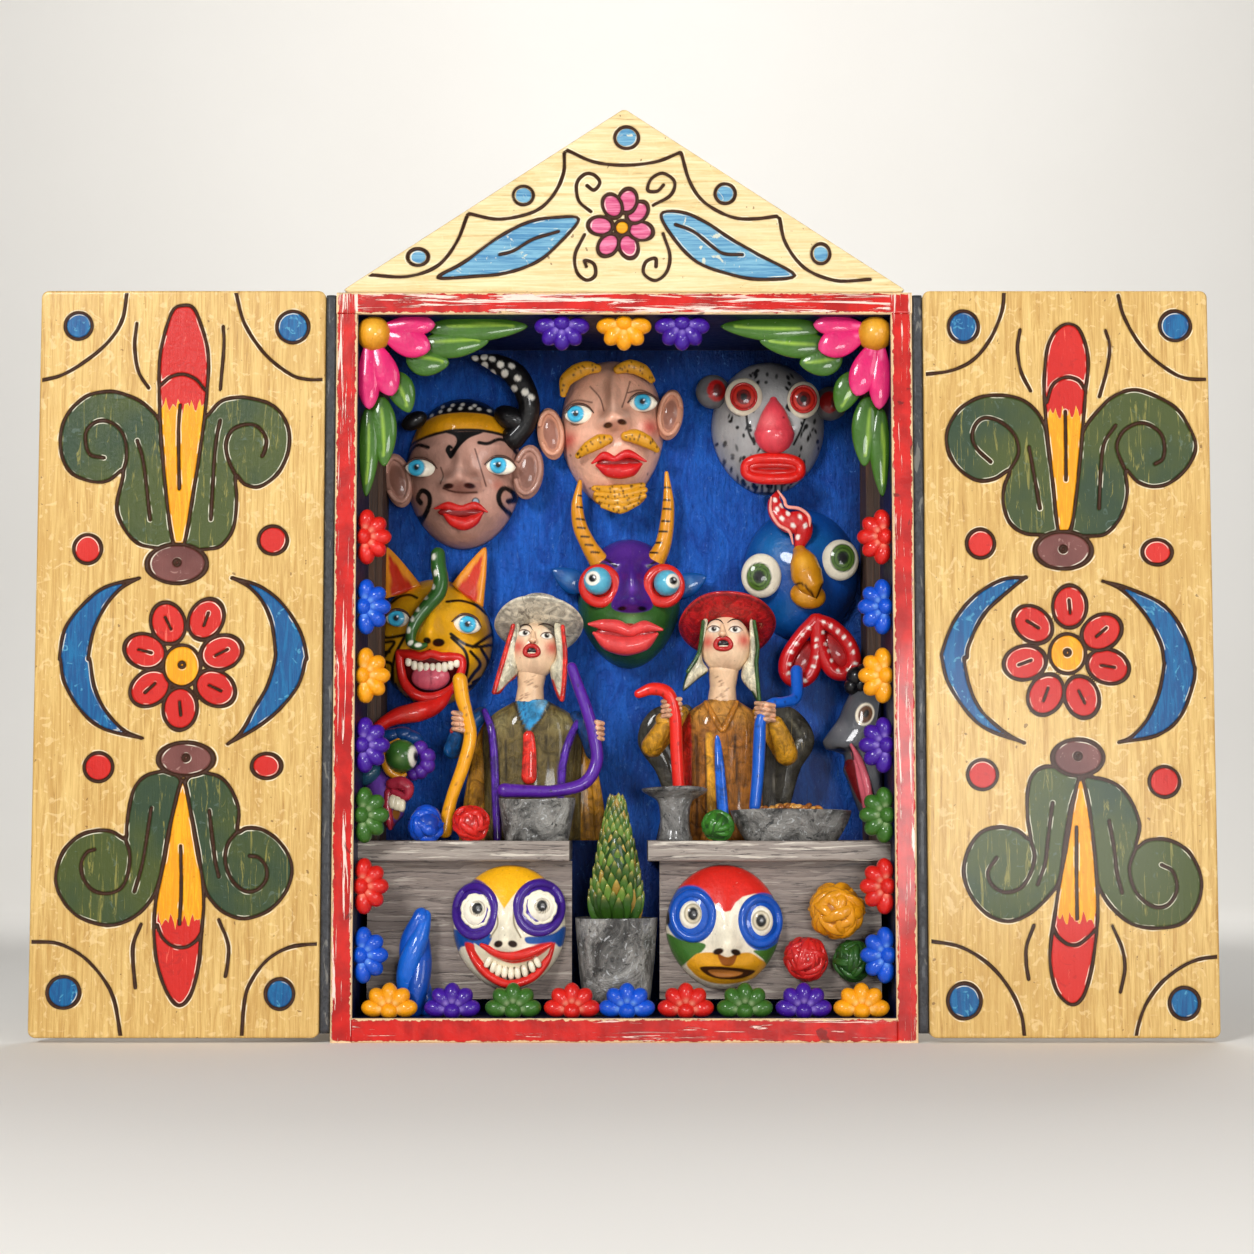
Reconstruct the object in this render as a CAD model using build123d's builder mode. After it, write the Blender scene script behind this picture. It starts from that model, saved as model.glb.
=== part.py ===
# Retablo box: a painted wooden case with a gabled top, two leather-hinged doors that fold flat
# open, and moulded-paste masks, figures, flowers and wares glued inside.
# Millimetres. X to the right, Y to the back, Z up. Z = 0 is the surface that the case stands on,
# X = 0 is the middle of the case and Y = 0 the middle of its depth.
from build123d import *
from math import cos, pi, radians, sin, sqrt, tan
import os

os.makedirs("parts", exist_ok=True)

# ---- the wooden case
case_width = 188.0
case_height = 243.0
side_thickness = 7.0
side_depth = 62.0
top_thickness = 7.3
bottom_thickness = 7.8
back_thickness = 4.0
edge_round = 0.8

pediment_half_width = 92.0
pediment_rise = 61.0
pediment_thickness = 7.0
cleat_size = 9.0
cleat_length = 110.0

nail_shaft_radius = 0.6
nail_length = 16.0
nail_head_radius = 1.7
nail_head_thickness = 0.6

batten_width = 4.6
batten_start = 40.0

# ---- the doors and their leather hinges
door_width = 93.0
door_height = 242.0
door_thickness = 7.0
door_lift = 1.5
door_corner = 2.0
hinge_gap = 3.5
closed_gap = 0.4
leather = 0.8
bead_radius = 0.8
bead_clearance = 0.3
strip_inset = 1.5
flange_length = 11.0

# ---- the two tables inside
table_top_height = 64.2
table_top_thickness = 6.6
table_front_edge = 14.0
table_panel_start = 20.0
table_panel_thickness = 4.0
panel_floor_gap = 4.8
panel_wall_gap = 2.6
table_left_end = -18.0
table_right_end = 7.8
panel_left_end = -17.2
panel_right_end = 11.6

# ---- small flowers of the border
petal_radius = 2.9
petal_ring = 5.7
petal_count = 5
petal_spread = 164.0
flower_heart = 3.3
flower_lift = 2.2
flower_start = 2.0
bottom_flowers_x = [-75.5, -55.3, -35.7, -16.8, 0.9, 19.8, 38.8, 57.7, 76.3]
side_flowers_z = [163.1, 140.2, 117.8, 95.2, 72.6, 49.7, 27.6]
top_flowers_x = [-20.5, -0.1, 19.0]

# ---- worked out from the sizes above
half_width = case_width / 2
wall_x = half_width - side_thickness
floor_z = bottom_thickness
ceiling_z = case_height - top_thickness
hinge_proud = closed_gap / 2 + bead_radius
total_depth = hinge_proud + side_depth + back_thickness
front_y = hinge_proud - total_depth / 2
inner_back_y = front_y + side_depth
axis_x = half_width + hinge_gap / 2
axis_y = front_y - closed_gap / 2
table_under_z = table_top_height - table_top_thickness


def at(x, z, depth):
    """A point x across and z up, at a depth behind the front edges of the case."""
    return Vector(x, front_y + depth, z)


def egg(middle, half):
    """Ellipsoid of three half sizes, with its poles fore and aft."""
    sphere = Sphere(1, rotation=(90, 0, 0), mode=Mode.PRIVATE)
    with Locations(middle):
        add(scale(sphere, by=half, mode=Mode.PRIVATE))


def ball(middle, radius):
    with Locations(middle):
        Sphere(radius)


def disc(middle, radius, thickness, rise=1.0):
    """A round plate that faces the front, as tall as rise times its width."""
    with BuildSketch(Plane(origin=middle, x_dir=(1, 0, 0), z_dir=(0, -1, 0))) as plate:
        Ellipse(radius, radius * rise)
    extrude(plate.sketch, amount=thickness)


def bend_radii(points):
    """For each inner point, the largest arc that its two runs allow."""
    radii = []
    for before, here, after in zip(points, points[1:], points[2:]):
        turn = (here - before).get_angle(after - here)
        shorter = min((here - before).length, (after - here).length)
        radii.append(0.45 * shorter / tan(radians(turn / 2)))
    return radii


def tube(points, radius):
    """A round rod along straight runs and tangent arcs, with round ends."""
    with BuildLine() as path:
        FilletPolyline(*points, radius=bend_radii(points))
    with BuildSketch(path.line ^ 0) as section:
        Circle(radius)
    sweep(section.sketch, path=path.line)
    with Locations(points[0], points[-1]):
        Sphere(radius)


def bar(start, end, stations):
    """A round bar with round ends, through (share of the length, radius) stations."""
    length = (end - start).length
    profile = [(radius, share * length) for share, radius in stations]
    low_radius, low = profile[0]
    high_radius, high = profile[-1]
    with BuildPart(mode=Mode.PRIVATE) as turned_bar:
        with BuildSketch(Plane.XZ):
            with BuildLine():
                CenterArc((0, low), low_radius, -90, 90)
                Polyline(*profile)
                CenterArc((0, high), high_radius, 0, 90)
                Line((0, high + high_radius), (0, low - low_radius))
            make_face()
        revolve(axis=Axis.Z)
    with Locations(Plane(origin=start, z_dir=end - start).location):
        add(turned_bar.part)


def rod(start, end, radius):
    bar(start, end, [(0, radius), (1, radius)])


def taper(points, radii):
    """A curved horn or tail: bars from point to point, each starting a little inside the last."""
    for start, end, start_radius, end_radius in zip(points, points[1:], radii, radii[1:]):
        bar(start, end, [(0, start_radius * 0.97), (1, end_radius)])


def petal(start, end, width):
    """A plump pad between two points, widest past its middle."""
    inward = (end - start).normalized()
    stations = [(0, width * 0.28), (0.34, width * 0.45), (0.64, width * 0.5), (1, width * 0.2)]
    bar(start + inward * width * 0.28, end - inward * width * 0.2, stations)


def on(mask, across, up, out):
    """A point across and up from a mask's middle, out from the board behind it."""
    return at(mask["x"] + across, mask["z"] + up, mask["back"] - out)


def dome(mask):
    egg(on(mask, 0, 0, 0), mask["half"])


def knob(mask, across, up, half, turn=0.0, sink=0.0):
    """A rounded bar on a mask's face, from its half width, how far it stands out, half height."""
    face_across, face_bulge, face_up = mask["half"]
    reached = (across / face_across) ** 2 + (up / face_up) ** 2
    face_out = face_bulge * sqrt(max(0.0, 1 - reached))
    half_across, bulge, half_up = half
    radius = min(half_across, half_up)
    reach = max(half_across, half_up) - radius
    angle = radians(turn) if half_across > half_up else radians(turn + 90)
    offset = Vector(reach * cos(angle), 0, reach * sin(angle))
    middle = on(mask, across, up, face_out + bulge - radius - sink)
    rod(middle - offset, middle + offset, radius)


# ---- templates: the inside of the case, one nail, one half flower
with BuildPart() as niche:
    with Locations(at(0, floor_z, 0)):
        Box(2 * wall_x, side_depth, ceiling_z - floor_z, align=(Align.CENTER, Align.MIN, Align.MIN))

with BuildPart() as nail:
    Cylinder(nail_shaft_radius, nail_length, align=(Align.CENTER, Align.CENTER, Align.MAX))
    Cylinder(nail_head_radius, nail_head_thickness, align=(Align.CENTER, Align.CENTER, Align.MAX))

side_nails = [
    Plane(origin=(side * half_width, front_y + depth, bottom_thickness / 2), z_dir=(side, 0, 0)).location
    for side in (-1, 1)
    for depth in (side_depth * 0.25, side_depth * 0.75)
]
top_nails = [
    Plane(origin=(side * (half_width - side_thickness / 2), front_y + depth, case_height)).location
    for side in (-1, 1)
    for depth in (side_depth * 0.25, side_depth * 0.75)
]
back_nails = [
    Plane(origin=(x, inner_back_y + back_thickness, z), z_dir=(0, 1, 0)).location
    for x in (-half_width + side_thickness / 2, half_width - side_thickness / 2)
    for z in (case_height * 0.15, case_height * 0.5, case_height * 0.85)
]
back_nails += [
    Plane(origin=(x, inner_back_y + back_thickness, bottom_thickness / 2), z_dir=(0, 1, 0)).location
    for x in (-case_width / 5, case_width / 5)
]
nail_places = side_nails + top_nails + back_nails

with BuildPart() as half_flower:
    for index in range(petal_count):
        angle = radians(90 + petal_spread * (index / (petal_count - 1) - 0.5))
        middle = (petal_ring * cos(angle), petal_radius, flower_lift + petal_ring * sin(angle))
        with Locations(middle):
            Sphere(petal_radius)
    with Locations((0, petal_radius, flower_lift)):
        Sphere(flower_heart)
    split(bisect_by=Plane.XY, keep=Keep.TOP)


def border(places, turn):
    """Half flowers at points (x, z) of the front view, with their flat side turned to a wall."""
    with Locations(*[Location(at(x, z, flower_start), (0, turn, 0)) for x, z in places]):
        add(half_flower.part)


def nail_holes():
    with Locations(*nail_places):
        add(nail.part, mode=Mode.SUBTRACT)


# ---- case boards
def side_board(side):
    with Locations(at(side * (half_width - side_thickness / 2), 0, 0)):
        Box(side_thickness, side_depth, ceiling_z, align=(Align.CENTER, Align.MIN, Align.MIN))
    front_edges = edges().filter_by(Axis.Z).group_by(Axis.Y)[0]
    fillet(front_edges, edge_round)
    nail_holes()


with BuildPart() as side_panel_left:
    side_board(-1)
side_panel_left.part.label = "side_panel_left"

with BuildPart() as side_panel_right:
    side_board(1)
side_panel_right.part.label = "side_panel_right"

with BuildPart() as top_panel:
    with Locations(at(0, ceiling_z, 0)):
        Box(case_width, side_depth, top_thickness, align=(Align.CENTER, Align.MIN, Align.MIN))
    fillet(edges().filter_by(Axis.X).group_by(Axis.Y)[0], edge_round)
    nail_holes()
top_panel.part.label = "top_panel"

with BuildPart() as bottom_panel:
    with Locations(at(0, 0, 0)):
        Box(2 * wall_x, side_depth, bottom_thickness, align=(Align.CENTER, Align.MIN, Align.MIN))
    fillet(edges().filter_by(Axis.X).group_by(Axis.Y)[0], edge_round)
    nail_holes()
bottom_panel.part.label = "bottom_panel"

with BuildPart() as back_panel:
    with Locations(at(0, 0, side_depth)):
        Box(case_width, back_thickness, case_height, align=(Align.CENTER, Align.MIN, Align.MIN))
    nail_holes()
back_panel.part.label = "back_panel"

with BuildPart() as pediment:
    with BuildSketch(Plane(origin=at(0, case_height, 0), x_dir=(1, 0, 0), z_dir=(0, -1, 0))):
        with BuildLine():
            Polyline(
                (-pediment_half_width, 0),
                (pediment_half_width, 0),
                (0, pediment_rise),
                close=True,
            )
        make_face()
    extrude(amount=-pediment_thickness)
    fillet(faces().sort_by(Axis.Y)[0].edges(), edge_round)
pediment.part.label = "pediment"

with BuildPart() as pediment_cleat:
    with Locations(at(0, case_height, pediment_thickness)):
        Box(cleat_length, cleat_size, cleat_size, align=(Align.CENTER, Align.MIN, Align.MIN))
    back_top_edge = edges().filter_by(Axis.X).group_by(Axis.Z)[-1].sort_by(Axis.Y)[-1]
    chamfer(back_top_edge, cleat_size * 0.6)
pediment_cleat.part.label = "pediment_cleat"

with BuildPart() as case_nails:
    with Locations(*nail_places):
        add(nail.part)
case_nails.part.label = "case_nails"

with BuildPart() as side_battens:
    batten_height = ceiling_z - table_top_height
    for side in (-1, 1):
        with Locations(at(side * (wall_x - batten_width / 2), table_top_height, batten_start)):
            Box(
                batten_width,
                side_depth - batten_start,
                batten_height,
                align=(Align.CENTER, Align.MIN, Align.MIN),
            )
side_battens.part.label = "side_battens"


# ---- tables
def table_top(outer_x, inner_x):
    middle = (outer_x + inner_x) / 2
    with Locations(at(middle, table_under_z, table_front_edge)):
        Box(
            abs(inner_x - outer_x),
            side_depth - table_front_edge,
            table_top_thickness,
            align=(Align.CENTER, Align.MIN, Align.MIN),
        )
    fillet(edges().filter_by(Axis.X).group_by(Axis.Y)[0], edge_round)


def table_panel(outer_x, inner_x):
    middle = (outer_x + inner_x) / 2
    with Locations(at(middle, floor_z + panel_floor_gap, table_panel_start)):
        Box(
            abs(inner_x - outer_x),
            table_panel_thickness,
            table_under_z - floor_z - panel_floor_gap,
            align=(Align.CENTER, Align.MIN, Align.MIN),
        )


with BuildPart() as table_top_left:
    table_top(-wall_x, table_left_end)
table_top_left.part.label = "table_top_left"

with BuildPart() as table_top_right:
    table_top(wall_x, table_right_end)
table_top_right.part.label = "table_top_right"

with BuildPart() as table_front_left:
    table_panel(panel_wall_gap - wall_x, panel_left_end)
table_front_left.part.label = "table_front_left"

with BuildPart() as table_front_right:
    table_panel(wall_x - panel_wall_gap, panel_right_end)
table_front_right.part.label = "table_front_right"


# ---- doors, open flat beside the case, and the leather strips that they swing on
def door_board(side):
    inner_x = half_width + hinge_gap
    front = Plane(origin=at(0, door_lift, 0), x_dir=(1, 0, 0), z_dir=(0, -1, 0))
    with BuildSketch(front) as outline:
        with Locations((side * (inner_x + door_width / 2), door_height / 2)):
            RectangleRounded(door_width, door_height, door_corner)
    extrude(outline.sketch, amount=-door_thickness)
    fillet(faces().sort_by(Axis.Y)[0].edges(), edge_round)


strip_bottom = door_lift + strip_inset
strip_height = door_height - 2 * strip_inset


def case_leaf(side):
    """Flange glued to the case's side, a web, and the bead that is the fold of the leather."""
    web_x = half_width + leather / 2
    with Locations((side * web_x, front_y, strip_bottom)):
        Box(leather, flange_length, strip_height, align=(Align.CENTER, Align.MIN, Align.MIN))
    with Locations((side * (half_width + axis_x) / 2, front_y, strip_bottom)):
        Box(axis_x - half_width, leather, strip_height, align=(Align.CENTER, Align.MIN, Align.MIN))
    with Locations((side * axis_x, axis_y, strip_bottom)):
        Cylinder(bead_radius, strip_height, align=(Align.CENTER, Align.CENTER, Align.MIN))


def door_leaf(side):
    """Flange glued to the door's edge and a web that ends in a hollow round the bead."""
    door_edge = half_width + hinge_gap
    flange_x = door_edge - leather / 2
    with Locations((side * flange_x, front_y, strip_bottom)):
        Box(leather, door_thickness, strip_height, align=(Align.CENTER, Align.MIN, Align.MIN))
    with Locations((side * (door_edge + axis_x) / 2, front_y, strip_bottom)):
        Box(door_edge - axis_x, leather, strip_height, align=(Align.CENTER, Align.MIN, Align.MIN))
    with Locations((side * axis_x, axis_y, strip_bottom)):
        Cylinder(
            bead_radius + bead_clearance,
            strip_height,
            align=(Align.CENTER, Align.CENTER, Align.MIN),
            mode=Mode.SUBTRACT,
        )


with BuildPart() as door_left:
    door_board(-1)
door_left.part.label = "door_left"

with BuildPart() as door_right:
    door_board(1)
door_right.part.label = "door_right"

with BuildPart() as hinge_case_leaves:
    case_leaf(-1)
    case_leaf(1)
hinge_case_leaves.part.label = "hinge_case_leaves"

with BuildPart() as hinge_door_leaf_left:
    door_leaf(-1)
hinge_door_leaf_left.part.label = "hinge_door_leaf_left"

with BuildPart() as hinge_door_leaf_right:
    door_leaf(1)
hinge_door_leaf_right.part.label = "hinge_door_leaf_right"

# ---- border of small flowers
with BuildPart() as flowers_bottom:
    border([(x, floor_z) for x in bottom_flowers_x], 0)
flowers_bottom.part.label = "flowers_bottom"

with BuildPart() as flowers_left:
    border([(-wall_x, z) for z in side_flowers_z], 90)
flowers_left.part.label = "flowers_left"

with BuildPart() as flowers_right:
    border([(wall_x, z) for z in side_flowers_z], -90)
flowers_right.part.label = "flowers_right"

with BuildPart() as flowers_top:
    border([(x, ceiling_z) for x in top_flowers_x], 180)
flowers_top.part.label = "flowers_top"

# ---- large flowers and leaves in the upper corners; offsets run inwards and down from the corner
corner_depth = 6.5
leaf_setback = 1.6
corner_heart = 5.4
heart_offset = (4.5, 5.3)
corner_petals = [
    ((8.5, 4.5), (24.9, 2.2), 6.2),
    ((8.0, 6.5), (23.3, 10.4), 8.6),
    ((6.0, 9.0), (10.9, 26.0), 8.0),
    ((3.3, 9.5), (3.4, 30.5), 6.6),
]
corner_leaves = [
    ((22.0, 3.2), (55.3, 2.2), 6.0),
    ((20.0, 8.6), (42.5, 6.9), 6.6),
    ((15.0, 12.5), (29.3, 14.6), 7.4),
    ((10.0, 17.5), (16.4, 31.0), 6.6),
    ((6.5, 25.5), (8.1, 49.0), 6.4),
    ((2.8, 29.0), (2.2, 59.0), 5.0),
]


def corner_pads(side, pads, depth):
    for start, end, width in pads:
        points = [at(side * (wall_x - across), ceiling_z - down, depth) for across, down in (start, end)]
        petal(points[0], points[1], width)


def corner_flower(side):
    across, down = heart_offset
    ball(at(side * (wall_x - across), ceiling_z - down, corner_depth), corner_heart)
    corner_pads(side, corner_petals, corner_depth)
    add(niche.part, mode=Mode.INTERSECT)


with BuildPart() as corner_flower_left:
    corner_flower(-1)
corner_flower_left.part.label = "corner_flower_left"

with BuildPart() as corner_flower_right:
    corner_flower(1)
corner_flower_right.part.label = "corner_flower_right"

with BuildPart() as corner_leaves_left:
    corner_pads(-1, corner_leaves, corner_depth + leaf_setback)
    add(niche.part, mode=Mode.INTERSECT)
corner_leaves_left.part.label = "corner_leaves_left"

with BuildPart() as corner_leaves_right:
    corner_pads(1, corner_leaves, corner_depth + leaf_setback)
    add(niche.part, mode=Mode.INTERSECT)
corner_leaves_right.part.label = "corner_leaves_right"

# ---- masks on the back panel: middle, half width, bulge and half height of each face
plumed = {"x": 30.9 - wall_x, "z": ceiling_z - 47.6, "half": (19.6, 18.0, 24.3), "back": side_depth}
moustached = {"x": -4.3, "z": ceiling_z - 31.2, "half": (17.6, 18.0, 24.6), "back": side_depth}
speckled = {"x": wall_x - 36.8, "z": ceiling_z - 29.4, "half": (19.6, 18.0, 22.0), "back": side_depth}
striped = {"x": 21.0 - wall_x, "z": ceiling_z - 103.1, "half": (20.4, 18.0, 22.4), "back": side_depth}
horned = {"x": 1.6, "z": ceiling_z - 90.7, "half": (17.5, 18.0, 22.2), "back": side_depth}
parrot = {"x": wall_x - 25.5, "z": ceiling_z - 79.4, "half": (20.3, 15.0, 23.4), "back": side_depth}

cap_growth = 0.8
cap_edge_rise = 19.9
with BuildPart() as plumed_cap:
    across, bulge, up = plumed["half"]
    middle = at(plumed["x"], plumed["z"], plumed["back"])
    egg(middle, (across + cap_growth, bulge + cap_growth, up + 2 * cap_growth))
    split(bisect_by=Plane.XY.offset(plumed["z"] + cap_edge_rise), keep=Keep.TOP)

with BuildPart() as mask_plumed:
    dome(plumed)
    add(plumed_cap.part)
    for ear_x, ear_z in ((-22.5, 1.2), (22.5, 2.9)):
        rod(on(plumed, ear_x, ear_z - 4, 4), on(plumed, ear_x, ear_z + 4, 4), 3.9)
    for eye_x in (-13.3, 13.3):
        knob(plumed, eye_x, 4.2, (4.8, 2.6, 3.2))
    knob(plumed, 0, -0.6, (3.8, 5.0, 6.5))
    knob(plumed, 0.2, -12.5, (7.8, 3.2, 3.2))
    plume = [(14.1, 13.9, 5), (20.1, 19.9, 8), (22.7, 27.9, 10), (17.8, 37.9, 10), (3.5, 41.9, 10)]
    taper([on(plumed, *point) for point in plume], [2.8, 3.2, 4.2, 3.6, 0.9])
    add(niche.part, mode=Mode.INTERSECT)
    add(side_battens.part, mode=Mode.SUBTRACT)
mask_plumed.part.label = "mask_plumed"

with BuildPart() as mask_moustache:
    dome(moustached)
    for ear_x, ear_z in ((-19.3, -1), (19.3, 5)):
        rod(on(moustached, ear_x, ear_z - 3, 4), on(moustached, ear_x, ear_z + 3, 4), 3.9)
    for eye_x, eye_z in ((-10.7, 6.3), (10.7, 9.7)):
        knob(moustached, eye_x, eye_z, (4.2, 3.0, 3.8))
    knob(moustached, -0.3, 3, (3.8, 5.5, 8.0))
    knob(moustached, -6.3, -5.1, (6.8, 3.8, 3.2), turn=14)
    knob(moustached, 9.7, -3.5, (6.8, 3.8, 3.2), turn=-10)
    knob(moustached, 1.9, -10.5, (8.0, 3.4, 3.4))
    knob(moustached, 1.5, -22.1, (9.6, 5.0, 5.0))
    knob(moustached, -9.7, 17.5, (8.0, 4.0, 3.6), turn=35, sink=1)
    knob(moustached, 8.9, 18.9, (8.4, 4.0, 3.6), turn=-22, sink=1)
    add(niche.part, mode=Mode.INTERSECT)
mask_moustache.part.label = "mask_moustache"

with BuildPart() as mask_speckled:
    dome(speckled)
    for ear_x, ear_z in ((-19, 12.3), (21.4, 9.3)):
        disc(on(speckled, ear_x, ear_z, 0), 5.6, 8.0)
    for eye_x, eye_z in ((-9.2, 10.2), (10.8, 9.9)):
        disc(on(speckled, eye_x, eye_z, 10), 6.6, 8.0)
        ball(on(speckled, eye_x, eye_z, 16), 3.8)
    knob(speckled, 1, 0.9, (6.6, 7.0, 5.4))
    knob(speckled, 1, 6.7, (3.6, 5.0, 5.0))
    knob(speckled, 0.2, -14.7, (11.8, 4.4, 5.0))
    add(niche.part, mode=Mode.INTERSECT)
mask_speckled.part.label = "mask_speckled"

ear_length = 17.0
ear_base = 7.0
ear_point = 0.8
snake_radius = 2.1
with BuildPart() as mask_striped_cat:
    dome(striped)
    for ear_x, ear_z, lean_out in ((-13.6, 24.0, -16), (16.0, 23.6, 12)):
        with Locations(Location(on(striped, ear_x, ear_z, 5), (0, lean_out, 0))):
            Cone(ear_base, ear_point, ear_length)
    for eye_x, eye_z in ((-11, 7), (11.7, 5.2)):
        knob(striped, eye_x, eye_z, (5.0, 2.8, 3.6))
    knob(striped, 0.4, 1.8, (5.4, 5.5, 5.5))
    knob(striped, -0.4, -11.2, (11.4, 4.6, 7.6))
    snake = [(1, 30.4, 13), (2.8, 22.4, 15), (2.6, 15.9, 17), (-3.2, 9.9, 18.5)]
    snake += [(-6.2, 3.9, 18), (-3, -1.6, 19)]
    tube([on(striped, *point) for point in snake], snake_radius)
    add(niche.part, mode=Mode.INTERSECT)
    add(side_battens.part, mode=Mode.SUBTRACT)
mask_striped_cat.part.label = "mask_striped_cat"

horn_radii = [3.2, 2.9, 2.5, 1.2]
with BuildPart() as mask_horned:
    dome(horned)
    left_horn = [(-10.6, 16), (-16.5, 25.5), (-18.2, 34), (-16.2, 42.6)]
    right_horn = [(9, 16), (12.6, 25), (14, 34.5), (12.7, 45.6)]
    for horn in (left_horn, right_horn):
        taper([on(horned, x, z, 9) for x, z in horn], horn_radii)
    for eye_x, eye_z in ((-9.8, 6.8), (10.8, 6.6)):
        disc(on(horned, eye_x, eye_z, 7), 6.4, 7.5)
        ball(on(horned, eye_x, eye_z + 0.6, 13), 4.8)
    knob(horned, 0.8, 5, (4.2, 5.0, 12.0))
    knob(horned, 0.8, 1.2, (6.4, 6.0, 3.6))
    knob(horned, -0.8, -11.6, (12.0, 4.0, 4.8))
    petal(on(horned, -14.6, 9, 5), on(horned, -26.8, 12.4, 5), 6.0)
    petal(on(horned, 14.4, 7.5, 5), on(horned, 26.6, 9.6, 5), 6.0)
    add(niche.part, mode=Mode.INTERSECT)
mask_horned.part.label = "mask_horned"

with BuildPart() as mask_parrot:
    dome(parrot)
    for eye_x, eye_z in ((-14.3, -1.4), (12.7, 4.3)):
        disc(on(parrot, eye_x, eye_z, 6), 6.9, 9.0, rise=1.06)
        ball(on(parrot, eye_x, eye_z, 13), 4.6)
    knob(parrot, 1.1, 0.5, (6.2, 9.0, 8.0))
    knob(parrot, 3.1, -7.3, (5.2, 7.0, 5.8))
    crest = [(-1.1, 7.7, 13), (-0.6, 14.2, 14), (-3.9, 20.7, 14), (-7.9, 27.7, 13)]
    taper([on(parrot, *point) for point in crest], [3.0, 3.8, 3.4, 1.8])
    add(niche.part, mode=Mode.INTERSECT)
mask_parrot.part.label = "mask_parrot"

# ---- the spotted heart hangs below the parrot, two lobes with blunt tips
heart_out = 15.0
left_lobe = [(3.1, -18.9), (-1.3, -30.9), (-1.9, -35.9)]
right_lobe = [(3.7, -18.9), (11.7, -30.3), (12.7, -34.7)]
lobe_radii = [2.4, 5.8, 2.6]
peg_radius = 3.4
with BuildPart() as spotted_heart:
    for lobe in (left_lobe, right_lobe):
        taper([on(parrot, x, z, heart_out) for x, z in lobe], lobe_radii)
    with BuildSketch(Plane(origin=on(parrot, 3.4, -25.8, 0), z_dir=(0, -1, 0))):
        Circle(peg_radius)
    extrude(amount=heart_out)
    add(mask_parrot.part, mode=Mode.SUBTRACT)
spotted_heart.part.label = "spotted_heart"


# ---- masks in profile on the side walls; they stand above the tables
def beside(side, inwards, above, depth):
    """A point in from a side wall and above the tables."""
    return at(side * (wall_x - inwards), table_top_height + above, depth)


profile_depth = 33.0
with BuildPart() as mask_profile:
    rod(beside(1, 3.4, 23.8, profile_depth), beside(1, 3.4, 46.8, profile_depth), 8.2)
    taper([beside(1, 5.0, 40.8, profile_depth), beside(1, 15.6, 35.2, profile_depth)], [6.4, 2.9])
    ball(beside(1, 6.4, 42.4, profile_depth - 5.6), 3.8)
    lip_route = [(11.5, 32.2), (10.2, 19.8), (6.6, 7.8)]
    tube([beside(1, inwards, above, profile_depth - 5.5) for inwards, above in lip_route], 2.0)
    taper([beside(1, 3.4, 25.8, profile_depth), beside(1, 4.4, 9.8, profile_depth)], [7.8, 4.6])
    add(niche.part, mode=Mode.INTERSECT)
    add(side_battens.part, mode=Mode.SUBTRACT)
mask_profile.part.label = "mask_profile"

chili_radius = 3.2
with BuildPart() as red_chili:
    chili_route = [(27.0, 50.4, 41), (16.3, 40.4, 37), (3.0, 36.2, 36)]
    tube([beside(-1, *point) for point in chili_route], chili_radius)
    add(niche.part, mode=Mode.INTERSECT)
    add(mask_striped_cat.part, mode=Mode.SUBTRACT)
red_chili.part.label = "red_chili"

goggle_depth = 31.0
with BuildPart() as mask_goggle:
    cheek = (beside(-1, 3.9, 10.8, goggle_depth), beside(-1, 3.9, 25.3, goggle_depth))
    bar(*cheek, [(0, 5.4), (1, 7.0)])
    eye = (beside(-1, 12.2, 27.8, goggle_depth - 0.4), beside(-1, 17.6, 27.1, goggle_depth + 1.7))
    bar(*eye, [(0, 5.3), (1, 3.7)])
    rod(beside(-1, 7.0, 17.2, goggle_depth - 1), beside(-1, 12.5, 17.5, goggle_depth - 1), 2.8)
    ball(beside(-1, 11.0, 12.9, goggle_depth - 0.7), 2.7)
    rod(beside(-1, 5.3, 10.0, goggle_depth - 0.6), beside(-1, 8.6, 6.2, goggle_depth - 0.6), 3.3)
    split(bisect_by=Plane(origin=at(-wall_x, 0, 0), z_dir=(1, 0, 0)), keep=Keep.TOP)
mask_goggle.part.label = "mask_goggle"

# ---- masks on the table fronts, hung down from the table tops
purple_ringed = {"x": -37.6, "z": table_top_height - 28.3, "half": (18.6, 10.5, 20.4)}
blue_ringed = {"x": 32.4, "z": table_top_height - 28.2, "half": (19.0, 10.5, 20.4)}
for mask in (purple_ringed, blue_ringed):
    mask["back"] = table_panel_start

with BuildPart() as mask_purple_rings:
    dome(purple_ringed)
    for eye_x, eye_z in ((-10.4, 6.7), (10.4, 6.9)):
        knob(purple_ringed, eye_x, eye_z, (4.2, 2.4, 4.8))
    knob(purple_ringed, -0.3, -1.3, (2.8, 2.8, 5.2))
    knob(purple_ringed, -0.4, -12.3, (12.4, 2.2, 6.4))
    split(bisect_by=Plane(origin=at(0, 0, table_panel_start), z_dir=(0, -1, 0)))
mask_purple_rings.part.label = "mask_purple_rings"

with BuildPart() as mask_blue_rings:
    dome(blue_ringed)
    for eye_x, eye_z in ((-10.4, 4.4), (11.6, 2.6)):
        knob(blue_ringed, eye_x, eye_z, (4.4, 2.4, 4.8))
    knob(blue_ringed, 0.8, -4, (4.4, 2.8, 5.4))
    knob(blue_ringed, 0.6, -12.8, (12.2, 2.6, 4.6))
    split(bisect_by=Plane(origin=at(0, 0, table_panel_start), z_dir=(0, -1, 0)))
mask_blue_rings.part.label = "mask_blue_rings"

# ---- the two singing figures; their heights count from the table tops
figure_depth = 42.0
head_height = 66.0
neck_foot = 43.8
neck_radius = 4.0
head_radius = 8.2
nose_radius = 1.8
sleeve_radius = 3.3
hand_radius = 3.7
serpent_radius = 2.0
left_x = -30.6
right_x = 34.0


def by(figure_x, across, above, depth):
    """A point beside a figure's middle and above the tables."""
    return at(figure_x + across, table_top_height + above, depth)


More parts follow.
